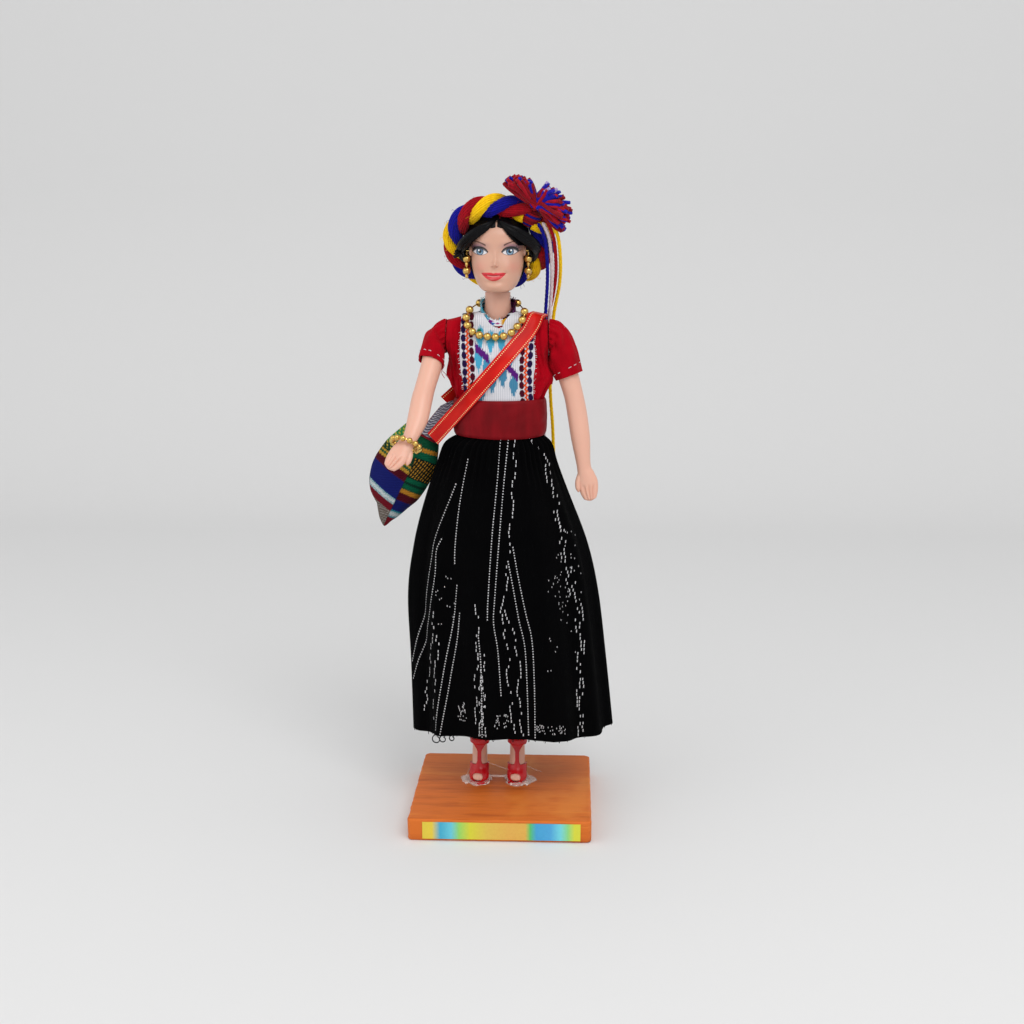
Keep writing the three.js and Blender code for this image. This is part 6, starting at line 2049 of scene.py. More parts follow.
@dataclass
class Ribbon:
    """Red satin ribbon from the bag over the left shoulder and back, dotted along its edges."""

    width: float = 7.5
    thickness: float = 0.45
    lift: float = 0.45
    top: tuple[float, float] = (20.6, 82.0)
    front_slope: float = 1.13
    back_slope: float = 0.9
    front_end: tuple[float, float] = (-32.8, 0.5)
    back_end: tuple[float, float] = (-26.5, 5.2)
    leaves_body: float = -17.5
    chest_end: float = 16.5
    core: float = 70.0

    def build(self) -> None:
        """Make the ribbon as one draped strip."""
        outer, inner = self.lines(self.lift + self.thickness), self.lines(self.lift)
        ends = HIP + np.array([[-19, 0, 37], [-30, 0, 25]])
        strip = shell(outer + HIP, inner + HIP)
        dress_across("satin_ribbon", strip, Finish.DOTTED_SATIN, (Body.TORSO, Body.BAG), ends, "ribbon")

    def lines(self, lift: float) -> Array:
        """Eleven lines side by side: up the chest, over the shoulder, down the back.

        Args:
            lift: Distance off the clothes.

        Returns:
            The grid of points.
        """
        across = np.linspace(-1, 1, 11)
        front = self.strip(across, self.front_slope, self.front_end, -1, lift)
        back = self.strip(across, self.back_slope, self.back_end, 1, lift)[::-1]
        rough = np.concatenate([front, self.shoulder(across, lift), back])
        return spline(rough.reshape(len(rough), -1), 260).reshape(260, 11, 3)[:, ::-1]

    def strip(self, across: Array, slope: float, end: tuple[float, float], sign: int, lift: float) -> Array:
        """A straight line in the front view laid on the outermost layer, loose beyond the body.

        Args:
            across: Places across the ribbon.
            slope: Its slope.
            end: x and y of its lower end.
            sign: -1 in front, 1 behind.
            lift: Distance off the clothes.

        Returns:
            Points along it.
        """
        half = self.width / 2 * across[None]
        x = np.arange(end[0], self.chest_end, 3.2)[:, None]
        z = self.top[1] - slope * (self.top[0] - x)
        length = math.hypot(1, slope)
        px = x + half * slope / length
        pz = z - half / length
        body = sign * (Layers.depth(np.maximum(px, self.leaves_body), pz) + lift)
        loose = np.clip((self.leaves_body - px) / (self.leaves_body - end[0]), 0, 1.3)
        return grid_of(px, body + loose * (end[1] + sign * lift - body), pz)

    def shoulder(self, across: Array, lift: float) -> Array:
        """Places over the shoulder: rays from inside the chest, halved until they meet the layer.

        The ribbon keeps its slant on both sides of the crest, so its edges lie at unlike angles.

        Args:
            across: Place across the ribbon.
            lift: Distance off the clothes.

        Returns:
            Points over the shoulder.
        """
        slant = np.array([-12, -10, -6, -1, 4, 8, 11])[:, None] * across[None]
        angle = np.radians(np.array([51, 65, 79, 94, 109, 124, 139])[:, None] + slant)
        centre = np.array([18.2, 19.6, 20.6, 21.1, 21.0, 20.5, 19.8])[:, None]
        share = np.array([0.78, 0.84, 0.91, 0.95, 0.88, 0.78, 0.68])[:, None]
        x = centre + self.width / 2 * share * across[None]
        near, far = np.zeros(x.shape), np.full(x.shape, 40.0)
        for _ in range(24):
            middle = (near + far) / 2
            inside = middle * np.abs(np.cos(angle)) < Layers.depth(x, self.core + middle * np.sin(angle))
            near, far = np.where(inside, middle, near), np.where(inside, far, middle)
        reach = far + lift
        return grid_of(x, -reach * np.cos(angle), self.core + reach * np.sin(angle))


def rest_on_chest(x: float, z: float, reach: float = 2.05) -> float:
    """The y at which a bead of a reach just clears the clothes and the collar.

    The bead moves forwards in small steps until sixty directions round it are all outside.

    Args:
        x: Distance from the middle.
        z: Height.
        reach: The bead's reach.

    Returns:
        The y.
    """
    step = np.arange(60) + 0.5
    polar = np.arccos(1 - step / 30)
    turn = step * math.pi * (1 + math.sqrt(5))
    around = reach * grid_of(np.cos(turn) * np.sin(polar), np.sin(turn) * np.sin(polar), np.cos(polar))
    y = -np.arange(0, 26, 0.1)[:, None]
    px, py, pz = np.broadcast_arrays(x + around[:, 0], y + around[:, 1], z + around[:, 2])
    clear = (py < -Layers.depth(px, pz)) & ~Layers.inside_neck(px, py, 9.1)
    return float(y[np.argmax(clear.all(1)), 0])


@dataclass
class Beads:
    """Gilt beads: the necklace over the brocade, the bracelet, and both pairs of earrings."""

    necklace_radius: float = 1.95
    bracelet_radius: float = 1.45
    ring_radius: float = 6.9
    thread_radius: float = 0.35
    back_radius: float = 11.35
    back_height: float = 88.8

    PLACES = (
        (-13.4, 86.2), (-14.9, 82.6), (-14.2, 78.9), (-11.7, 76), (-8.2, 74.4), (-4.3, 73.8), (-0.4, 73.6),
        (3.5, 74), (7.2, 75.6), (10, 78.4), (12.4, 81.6), (13.4, 85.4),
    )
    WRIST = (-41.8, -38.6, -50.6)
    WRIST_NORMAL = (-0.28, -0.5, -0.82)

    def build(self) -> None:
        """Make the two strings of beads and the earrings' beads."""
        dress("bead_necklace", self.necklace(), Finish.GILT, Body.TORSO, "necklace")
        dress("bead_bracelet", self.bracelet(), Finish.GILT, Body.ARM_RIGHT, "bracelet")
        for side in Side:
            self.earring(side)

    @staticmethod
    def bead() -> Shape:
        """A round bead with a small dimple at each end of its bore."""
        angle = np.linspace(-1.42, 1.42, 16)
        return skin(level_rings(np.sin(angle), 24, np.cos(angle), np.cos(angle)))

    def necklace(self) -> Shape:
        """Beads over the chest and round the back of the neck, on a thread through all of them.

        Returns:
            The mesh.
        """
        front = np.array([[x, rest_on_chest(x, z), z] for x, z in self.PLACES])
        turn = np.radians(20 + 28 * (np.arange(5) + 0.5))
        back = grid_of(self.back_radius * np.cos(turn), self.back_radius * np.sin(turn), self.back_height)
        places = np.concatenate([front, back]) + HIP
        closed = np.concatenate([places, places[:2]])
        thread = spline(closed, 16 * len(closed))[: 16 * len(closed) - 10]
        beads = stamped(self.bead(), places, self.necklace_radius)
        return joined([beads, tubes(thread[None], self.thread_radius, 6, (0.1, 0.2, 1))])

    def bracelet(self) -> Shape:
        """Beads in a ring square to the wrist, and their thread with one loose loop.

        Returns:
            The mesh.
        """
        normal = unit(np.array(self.WRIST_NORMAL))
        first = unit(np.cross(normal, np.array([0, 1, 0.2])))
        second = np.cross(normal, first)
        ring, thread = (
            SHOULDER + np.array(self.WRIST) + self.ring_radius * spokes(turn, first, second)
            for turn in (full_turn(13), np.linspace(0, TURN, 61))
        )
        loop = thread[8:30] + 0.9 * normal * np.sin(np.linspace(0, 9, 22))[:, None]
        beads = stamped(self.bead(), ring, self.bracelet_radius)
        lines = ((thread, self.thread_radius), (loop, 0.22))
        return joined([beads, *(tubes(line[None], radius, 6, tuple(normal)) for line, radius in lines)])

    def earring(self, side: Side) -> None:
        """Two beads over crimps on the wire that the frame keeps.

        Args:
            side: The side it is on.
        """
        stem = f"earring_{side.word}"
        finish_node(f"{stem}_wire", Finish.GILT)
        for name, height in (("upper", 16.1), ("lower", 10.3)):
            place = NECK + np.array([[side.value * 15.0, -3, height]])
            bead = stamped(self.bead(), place, 1.9)
            crimp = stamped(ball_shape(8, 12), place - np.array([0, 0, 2.3]), 0.85)
            dress(f"{stem}_{name}", joined([bead, crimp]), Finish.GILT, side.earring, f"{stem}_{name}_bead")


@dataclass
class Bag:
    """Small stuffed bag of banded handweave, and the folded piece that hangs it on the ribbon."""

    thickness: float = 20
    centre_y: float = 8
    power: float = 1.6
    fold_rows: int = 90

    ROWS = (
        (-24.8, -59.3, -58.6, 0.03), (-24.1, -59.9, -57.6, 0.12), (-22, -60.9, -55.2, 0.26),
        (-19.7, -61.7, -51.8, 0.4), (-15.1, -62.4, -46.4, 0.6), (-12.6, -62.8, -43.2, 0.7),
        (-10.5, -63.9, -41.1, 0.78), (-5.8, -65.9, -37.7, 0.9), (-1.2, -66.3, -35, 0.96),
        (3.4, -65.8, -32.9, 1), (8, -64.6, -31.6, 1),
        (12.7, -62.3, -30.9, 0.95), (17.8, -58.7, -30.6, 0.84), (21, -55.9, -31, 0.72), (26, -50, -33, 0.42),
        (28.4, -47.2, -35.4, 0.24),
    )
    FOLD = (
        (-25.6, 5.2, 39.4, 4.0), (-27.6, 5.0, 35, 5.2), (-30.6, 4.4, 29.6, 5.6), (-33.4, 3.4, 24.6, 5.2),
        (-35.8, 2.7, 21.2, 4.4),
    )
    LEFT_BANDS = (
        (-99, "57443a"), (-16, "7a1424"), (-12.4, "2f93a4"), (-11.5, "cfdcde"), (-10.4, "2f93a4"),
        (-9.5, "1a2270"), (-0.3, "561020"), (3.6, "c79a38"), (5.2, "14583a"), (6.4, "c79a38"),
        (7.4, "103c2c"), (12, "2c8a4a"),
    )
    RIGHT_BANDS = (
        (-99, "8c1426"), (-18.9, "2f93a4"), (-17.6, "cfdcde"), (-16.2, "2f93a4"), (-14.8, "1a2270"),
        (-9.3, "561020"), (-5.5, "d29030"), (-3.4, "14583a"), (-2.8, "10694a"), (-0.8, "0c3a2c"),
        (0.4, "10694a"), (2.5, "14231c"), (12.5, "10694a"), (16.4, "d29030"), (18.6, "14583a"),
    )

    def build(self) -> None:
        """Make the bag's body and its folded top."""
        points = self.body()
        body = skin(points + HIP, colours=self.paint(points))
        bag = dress("bag_body", body, Finish.HANDWEAVE, Body.BAG, "bag_pouch")
        dress("bag_fold", self.fold(), Finish.HANDWEAVE, Body.BAG, "bag_top_fold")

    def body(self) -> Array:
        """Flat rings from the tip to the top, pinched along a front ridge and softly dented.

        Returns:
            The grid of points.
        """
        level = np.concatenate([np.linspace(-24.8, -21, 14), np.linspace(-20.8, 28.4, 186)])
        left, right, share = rows_at(self.ROWS, level)
        share = np.clip(share, 0.02, 1.02)
        points = level_rings(level, 260, (right - left) / 2, self.thickness / 2 * share, self.centre_y,
                             (left + right) / 2, self.power)
        front = points[..., 1] < self.centre_y
        line = self.ridge_line(points[..., 2])
        crease = hump(points[..., 0], line, 1.1) * front * share[:, None]
        dents = ripple(points, 11, 81) * 0.45 * share[:, None]
        points[..., 1] -= 0.5 * crease + dents * np.where(front, 1, -1)
        points[..., 1] += 0.12 * np.sign(self.centre_y - points[..., 1]) * np.sin(points[..., 2] * TURN / 1.3)
        return points

    @staticmethod
    def ridge_line(z: Array) -> Array:
        """The ridge's x at a height: a straight seam that leans to the left going down."""
        return -46.6 + 0.5 * (np.minimum(z, 10) - 1.1)

    def paint(self, points: Array) -> Array:
        """Bands that slope down to the right, steeper left of the ridge, with zigzags and dashes.

        Args:
            points: The grid of points.

        Returns:
            The colours.
        """
        x, z = points[..., 0], points[..., 2]
        side = x - self.ridge_line(z)
        left = side < 0
        fall = z + np.where(left, 0.545, 0.43) * side
        wave = 1.2 * (np.abs(np.mod(side / 1.3, 1) - 0.5) - 0.25)
        colour = np.zeros(points.shape)
        for mask, bands in ((left, self.LEFT_BANDS), (~left, self.RIGHT_BANDS)):
            starts, codes = zip(*bands)
            place = np.searchsorted(starts, fall + wave, side="right") - 1
            colour = np.where(mask[..., None], palette(*codes)[np.clip(place, 0, None)], colour)
        self.dashes(colour, side, fall, left)
        ribs = 0.84 + 0.16 * np.cos(fall * TURN / 0.75)
        threads = 0.92 + 0.08 * np.cos(side * TURN / 0.55)
        seam = 1 - 0.35 * hump(side, 0, 0.35) * (points[..., 1] < self.centre_y)
        return colour * (ribs * threads * seam)[..., None]

    @staticmethod
    def dashes(colour: Array, side: Array, fall: Array, left: Array) -> None:
        """Gold dashes in slanting rows on the dark bands, gold loops above and pale specks on the tip.

        Args:
            colour: The colours, changed in place.
            side: Distances from the ridge.
            fall: Heights along the slope.
            left: Which points are left of the ridge.
        """
        dash = (np.mod(side - 0.3 * fall, 1.5) < 0.6) & (np.mod(fall + 0.3 * side, 1.9) < 1.3)
        loop = (np.mod(side, 2.1) < 0.9) & (np.mod(fall, 1.6) < 0.8)
        speck = (np.mod(side * 1.9 + fall, 1.3) < 0.5) & (np.mod(fall - side, 1.1) < 0.6)
        teal = (np.mod(side + fall, 1.0) < 0.5) & (np.abs(fall + np.where(left, 11, 16.9)) < 1.4)
        for mask, tone in (
            (dash & ~left & (fall > 3) & (fall < 12), "d59a32"), (loop & left & (fall > 8.5), "d9c04a"),
            (speck & left & (fall < -16), "dcd8d0"), (teal, "dfe6e6"),
        ):
            lay(colour, mask, tone)

    def fold(self) -> Shape:
        """A flat strip folded over the bag's top: ovals along a bent line, with wavy painted lines.

        Returns:
            The mesh.
        """
        rows = spline(np.array(self.FOLD, float), self.fold_rows)
        centre, half, height = rows[:, None, :3], rows[:, 3, None], rows[:, 2, None]
        angle = np.roll(full_turn(96), -1)
        cosine, sine = bent(np.cos(angle), 0.6), bent(np.sin(angle), 0.6)
        slant = np.linspace(0.4, -0.5, self.fold_rows)[:, None]
        points = centre + grid_of(0.9 * half * cosine, 1.15 * sine, slant * half * cosine)
        points[..., 1] -= 0.35 * np.sin(height * 1.1) * cosine
        wave = np.mod(height / 1.5 + 0.3 * np.sin(cosine * 7), 1)
        lines = palette("24222a", "8f8d96", "c9c8ce", "4a3c68", "77757e")
        colours = lines[(wave * 5).astype(int) % 5]
        edge = (np.abs(cosine) > 0.93) | (np.arange(self.fold_rows) > 82)[:, None]
        colours = np.where(edge[..., None], linear("6d1420"), colours)
        return skin((points + HIP)[::-1], colours=colours[::-1])


@dataclass
class Arms:
    """Bent and straight arms with mitten hands, and the puffed sleeves that ride them."""

    stations: int = 150
    sides: int = 56
    sleeve_wall: float = 0.8
    sleeve_rows: int = 70
    sleeve_columns: int = 150
    seam_x: float = 25.3
    pleats: int = 17

    LIMBS = {
        Side.RIGHT: (
            (-27.8, 0.4, 0, 3.6, 3.8), (-31.1, -5.4, -7.2, 4.6, 4.8), (-31.9, -12, -15.6, 5.1, 5.2),
            (-34.2, -19, -25, 4.9, 4.9), (-35.6, -24, -31.5, 5.1, 5), (-37.1, -30, -40, 4.9, 4.5),
            (-39.9, -37, -47.7, 3.6, 3), (-42, -40.4, -51, 4.2, 2.8), (-44.6, -43, -55, 5, 2.5),
            (-47.2, -45.4, -58.4, 4.3, 2.1), (-49.4, -47, -61, 2.6, 1.5),
        ),
        Side.LEFT: (
            (27.8, 0, 0, 3.6, 3.8), (31.4, -0.3, -9, 4.8, 5), (34.6, -1, -20.5, 5.1, 5.1),
            (37.6, -1.5, -31, 4.8, 4.8), (39.4, -2, -40, 4.9, 4.9), (41.2, -3.4, -52, 4.7, 4.6),
            (42.9, -5, -65.5, 3.5, 3), (44, -5.6, -70, 4.3, 2.7), (45, -6, -74, 5, 2.5),
            (45.8, -6.6, -79, 4.3, 2.1), (46.5, -7, -83, 2.6, 1.5),
        ),
    }
    THUMBS = {
        Side.RIGHT: ((-40.8, -39.6, -50.8, 1.7), (-39.6, -43, -55.4, 1.55), (-40.7, -45.6, -59.6, 1.05)),
        Side.LEFT: ((41.8, -5.4, -69, 1.7), (40.2, -6.6, -74, 1.55), (40.4, -7.6, -78.6, 1.05)),
    }
    HEMS = {
        Side.RIGHT: ((-32.3, -10.2, -14.2), (-0.3, -0.5, -0.8), 6.8, 7.0, 7.1, 6.7),
        Side.LEFT: ((35.4, -1, -21.4), (0.35, -0.06, -0.93), 6.8, 7.2, 8.1, 9.1),
    }

    def build(self) -> None:
        """Make arms and sleeves, with a row of white stitches inside each hem."""
        for side in Side:
            arm, word = side.arm, side.word
            dress(f"arm_{word}_skin", self.arm(side).moved(SHOULDER), Finish.SKIN, arm, f"arm_{word}")
            outer, inner = self.sleeve(side)
            cloth = shell(outer, inner, True)
            sleeve = dress(f"sleeve_{word}_cloth", cloth, Finish.RED_COTTON, arm, f"sleeve_{word}")
            dress(f"sleeve_{word}_stitches", self.stitches(outer), Finish.WHITE_YARN, arm)
            if side is Side.RIGHT:
                dress("sleeve_thread", self.loose_thread(outer), Finish.RED_COTTON, arm)

    def arm(self, side: Side) -> Shape:
        """Ovals along the arm's line, grooved between the fingers, with thumb, shoulder ball and peg.

        Args:
            side: The side it is on.

        Returns:
            The mesh.
        """
        rows = spline(np.array(self.LIMBS[side], float), self.stations)
        share = np.linspace(0, 1, self.stations)
        cosine = np.cos(full_turn(self.sides))
        grooves = sum(hump(cosine, place, 0.1) for place in (-0.52, 0, 0.52))
        depth = 0.3 * grooves[None] * ease(share, 0.8, 0.86)[:, None]
        close = np.sqrt(np.clip((1 - share) * self.stations / 4, 0.03, 1))[:, None]
        centre, limb = rows[:, None, :3], self.limb(rows, self.sides)
        for scale in (1 - depth, close):
            limb = centre + (limb - centre) * scale[..., None]
        thumb = spline(np.array(self.THUMBS[side], float), 24)
        tip = np.sqrt(np.clip(np.linspace(0, 1, 24)[::-1] * 24 / 4, 0.05, 1))[:, None, None]
        root, finger = thumb[:, None, :3], self.limb(np.column_stack([thumb, thumb[:, 3]]), 20)
        ball = stamped(ball_shape(16, 28), np.array([[side.value * 26.7, 0, 0]]), 4.1)
        peg, flange = (
            tubes(np.linspace([side.value * 11.6, 0, 0], [side.value * end, 0, 0], count)[None], radius, 24)
            for end, count, radius in ((24, 4, 2.5), (13.2, 3, 3.4))
        )
        return joined([skin(limb), skin(root + (finger - root) * tip), ball, peg, flange])

    @staticmethod
    def limb(rows: Array, sides: int) -> Array:
        """Ovals square to a path: wide along the side direction and deep across it.

        Args:
            rows: Places with two half widths.
            sides: Points round each oval.

        Returns:
            The grid of points.
        """
        along = unit(np.gradient(rows[:, :3], axis=0))
        side = np.array([1.0, 0, 0])
        first = unit(side - (along @ side)[:, None] * along)
        second = np.cross(along, first)
        angle = full_turn(sides)[None, :, None]
        wide = rows[:, 3, None, None] * np.cos(angle) * first[:, None]
        deep = rows[:, 4, None, None] * np.sin(angle) * second[:, None]
        return rows[:, None, :3] + wide + deep

    def sleeve(self, side: Side) -> tuple[Array, Array]:
        """Rings from the armhole to the hem, with pleats at the armhole and soft puckers below.

        Args:
            side: The side it is on.

        Returns:
            The outer and the inner surface.
        """
        sign = side.value
        centre, axis, high, wide, crown, middle = self.HEMS[side]
        rows = spline(np.array([
            (sign * self.seam_x, 0, -1.7, sign, 0, 0, 8.1, 8.7),
            (sign * 28.2, 0.16 * centre[1], -3.2, sign * 0.9, 0.15 * axis[1], -0.36, crown, 9.2),
            (sign * 30.5, 0.5 * centre[1], 0.4 * centre[2], sign * 0.68, 0.6 * axis[1], -0.64, middle, 8.8),
            (*centre, *axis, high, wide),
        ]), self.sleeve_rows)
        along = unit(rows[:, 3:6])
        up = np.array([sign, 0, 1.2])
        up = unit(up - (along @ up)[:, None] * along)
        across = np.cross(along, up)
        angle = full_turn(self.sleeve_columns)
        share = np.linspace(0, 1, self.sleeve_rows)[:, None]
        fade = ease(share, 0.62, 0.05) * ease(share, 0, 0.06)
        pleat = 0.6 * np.cos(self.pleats * angle + np.sin(3 * angle)) * fade
        hem = 0.45 * np.cos(6 * angle + 1) * ease(share, 0.7, 1)
        soft = 0.7 * ripple(np.stack(np.meshgrid(angle * 7, share[:, 0] * 14), axis=-1), 6.5, 91 + sign)
        puff = 1 + (pleat + hem + soft * np.sin(share * math.pi) - 0.15) / 9
        turn = angle[None, :, None]
        outer = rows[:, None, :3] + puff[..., None] * (
            rows[:, 6, None, None] * np.cos(turn) * up[:, None]
            + rows[:, 7, None, None] * np.sin(turn) * across[:, None]
        )
        outer[..., 0] = sign * np.maximum(np.abs(outer[..., 0]), self.seam_x)
        inner = outer - grid_normals(outer, True) * self.sleeve_wall
        inner[..., 0] = sign * np.maximum(np.abs(inner[..., 0]), self.seam_x)
        return outer + SHOULDER, inner + SHOULDER

    def stitches(self, outer: Array) -> Shape:
        """Running stitches on the cloth near the hem: short bars in every second gap.

        Args:
            outer: The outer surface.

        Returns:
            The mesh.
        """
        middle = outer[-7].mean(0)
        row = outer[-7] + (outer[-7] - middle) * 0.012
        start = np.arange(0, self.sleeve_columns, 15) + np.array([0, 3, -2, 4, 1, -3, 2, 0, 3, -1])
        paths = row[(start[:, None] + np.arange(6)[None]) % self.sleeve_columns]
        lift = unit(paths - middle) * np.array([-0.15, 0.12, 0.2, 0.2, 0.12, -0.15])[None, :, None]
        return tubes(paths + lift, 0.16, 6, (0.1, 0.1, 1))

    @staticmethod
    def loose_thread(outer: Array) -> Shape:
        """Two frayed threads that hang from the hem in loose curls.

        Args:
            outer: The outer surface.

        Returns:
            The mesh.
        """
        share = np.linspace(0, 1, 26)
        long_end = grid_of(np.sin(share * 7) * 1.1, -np.cos(share * 6), -share * 7)
        short_end = grid_of(-np.sin(share * 5) * 1.4, share * 1.2, -share * 4.4)
        ends = ((95, long_end), (80, short_end))
        paths = [outer[-1, column] + curl * share[:, None] ** 0.5 for column, curl in ends]
        return tubes(np.stack(paths), 0.14, 5, (0.3, 1, 0.2))


@dataclass
class FacePaint:
    """What is painted on the face: eyes, lashes, eyeshadow, brows, lips and blush, with painted shade at the
    nostrils and a painted highlight on the lower lip.
    """

    skin: str = "cfa089"
    eye_x: float = 7.25
    eye_z: float = 19.6
    eye_half: float = 3.75
    softness: float = 0.16

    def cover(self, distance: Array) -> Array:
        """1 inside an outline and 0 outside it, with a soft edge, from a signed distance."""
        return np.clip(0.5 - distance / self.softness, 0, 1)

    def colours(self, points: Array) -> Array:
        """Colours of the head's points, by their place in the front view.

        Args:
            points: The grid of points.

        Returns:
            The colours.
        """
        x, y, z = np.moveaxis(points, -1, 0)
        front = (y < -5).astype(float)
        colour = np.broadcast_to(linear(self.skin), points.shape).copy()
        for sign in (-1, 1):
            blush = hump(x, sign * 8.3, 3.2) * hump(z, 12.4, 2.8) * 0.38 * front
            lay(colour, blush, "d07868")
            self.eye(colour, sign * (x + 0.75), z, front)
        self.mouth(colour, x + 1.3, z, front)
        # Painted shade: two darker dots under the nose's wings, where the nostrils lie in shade.
        nostril_shade = hump(np.abs(x + 0.8), 1.15, 0.4) * hump(z, 12.5, 0.28) * 0.6 * front
        lay(colour, nostril_shade, "b0695a")
        return colour

    def eye(self, colour: Array, x: Array, z: Array, front: Array) -> None:
        """One eye, with x measured outwards from the middle of the face.

        Args:
            colour: The colours, changed in place.
            x: Distances from the middle.
            z: Heights.
            front: 1 where a point is on the front, else 0.
        """
        u = (x - self.eye_x) / self.eye_half
        dz = z - self.eye_z
        arch = np.clip(1 - u**2, 0, None)
        upper = 1.85 * arch**0.65 + 0.3 * u
        lower = -1.55 * arch**0.8 + 0.3 * u
        shadow = hump(x, self.eye_x + 1.2, 4.2) * hump(dz, 2.4, 1.7) * front * (dz > upper - 0.2)
        lay(colour, 0.8 * shadow, "74506e")
        lay(colour, 0.5 * hump(x, self.eye_x + 3.6, 2) * hump(dz, 1.9, 1.5) * front, "4a3048")
        lids = np.maximum(dz - upper, lower - dz)
        inside = self.cover(np.maximum(lids, (np.abs(u) - 1) * self.eye_half)) * front
        lay(colour, inside, "dcdadd")
        ball = np.hypot(x - self.eye_x, dz - 0.1)
        lay(colour, inside * self.cover(ball - 1.85), "16283e")
        lay(colour, inside * self.cover(ball - 1.55), "3d6484")
        lay(colour, inside * self.cover(ball - 1.5) * hump(dz, -0.9, 0.8), "7fa3bd")
        lay(colour, inside * self.cover(ball - 0.8), "08080c")
        lay(colour, inside * self.cover(upper - dz - 0.75) * 0.85, "20141c")
        glint = np.hypot(x - self.eye_x - 0.55, dz - 0.65)
        lay(colour, inside * self.cover(glint - 0.42), "ffffff")
        reach = (np.abs(u) - 1.08) * self.eye_half
        lash = np.maximum(np.abs(dz - upper - 0.26) - 0.42 - 0.26 * np.clip(u, 0, 1), reach)
        lay(colour, self.cover(lash) * front, "0c080c")
        under = np.maximum(np.abs(dz - lower + 0.06) - 0.1 - 0.12 * np.clip(u, 0, 1), reach)
        lay(colour, self.cover(under) * 0.85 * front, "3a2228")
        for start, reach_out, rise in ((0.6, 1.0, 1.1), (0.82, 1.5, 1.0), (1.0, 1.9, 0.8)):
            lid = 1.85 * max(1 - start**2, 0) ** 0.65 + 0.3 * start
            root = np.array([self.eye_x + start * self.eye_half, lid])
            lay(colour, self.stroke(x, dz, root, root + np.array([reach_out, rise]), 0.26) * front, "0c080c")
        brow = (x - self.eye_x - 0.5) / 3.4
        crest = 4.45 + 1.15 * brow - 0.35 * brow**2
        thick = 0.27 * np.clip(1.1 - 0.6 * brow, 0.25, 1.5)
        line = np.maximum(np.abs(dz - crest) - thick, (np.abs(brow) - 1) * 3.4)
        lay(colour, self.cover(line) * 0.9 * front, "4a2a20")

    def stroke(self, x: Array, z: Array, start: Array, end: Array, width: float) -> Array:
        """A brush stroke that tapers from its start: cover by distance to the segment.

        Args:
            x: Distances from the middle.
            z: Heights.
            start: The stroke's root.
            end: Its tip.
            width: Half its width at the root.

        Returns:
            The cover.
        """
        along = end - start
        share = ((x - start[0]) * along[0] + (z - start[1]) * along[1]) / (along @ along)
        share = np.clip(share, 0, 1)
        distance = np.hypot(x - start[0] - share * along[0], z - start[1] - share * along[1])
        return self.cover(distance - width * (1 - 0.85 * share))

    def mouth(self, colour: Array, x: Array, z: Array, front: Array) -> None:
        """Smiling red lips with a pale gleam between them, a dark line above it and a painted highlight on
        the lower lip.

        Args:
            colour: The colours, changed in place.
            x: Distances from the middle.
            z: Heights.
            front: 1 where a point is on the front, else 0.
        """
        half = 6.0
        u = x / half
        arch = np.clip(1 - u**2, 0, None)
        middle = 7.95 + 1.5 * u**2
        top = middle + 1.75 * arch**0.8 * (1 - 0.2 * hump(x, 0, 0.8))
        bottom = middle - 2.2 * arch**0.9
        lips = self.cover(np.maximum(np.maximum(z - top, bottom - z), (np.abs(u) - 1) * half)) * front
        lay(colour, lips, "cc1826")
        light = self.cover(np.maximum(np.abs(z - middle + 0.1) - 0.32 * arch**2, (np.abs(u) - 0.5) * half))
        lay(colour, light * front * 0.8, "e2a49e")
        seam = self.cover(np.maximum(np.abs(z - middle - 0.4 * arch) - 0.09, (np.abs(u) - 0.98) * half))
        lay(colour, seam * 0.8 * front, "6c1220")
        # Painted highlight: a pale spot on the lower lip, standing in for the light its gloss reflects.
        gloss = hump(x, -0.6, 1.6) * hump(z, 6.7, 0.35) * 0.55 * front
        lay(colour, gloss, "f09a94")


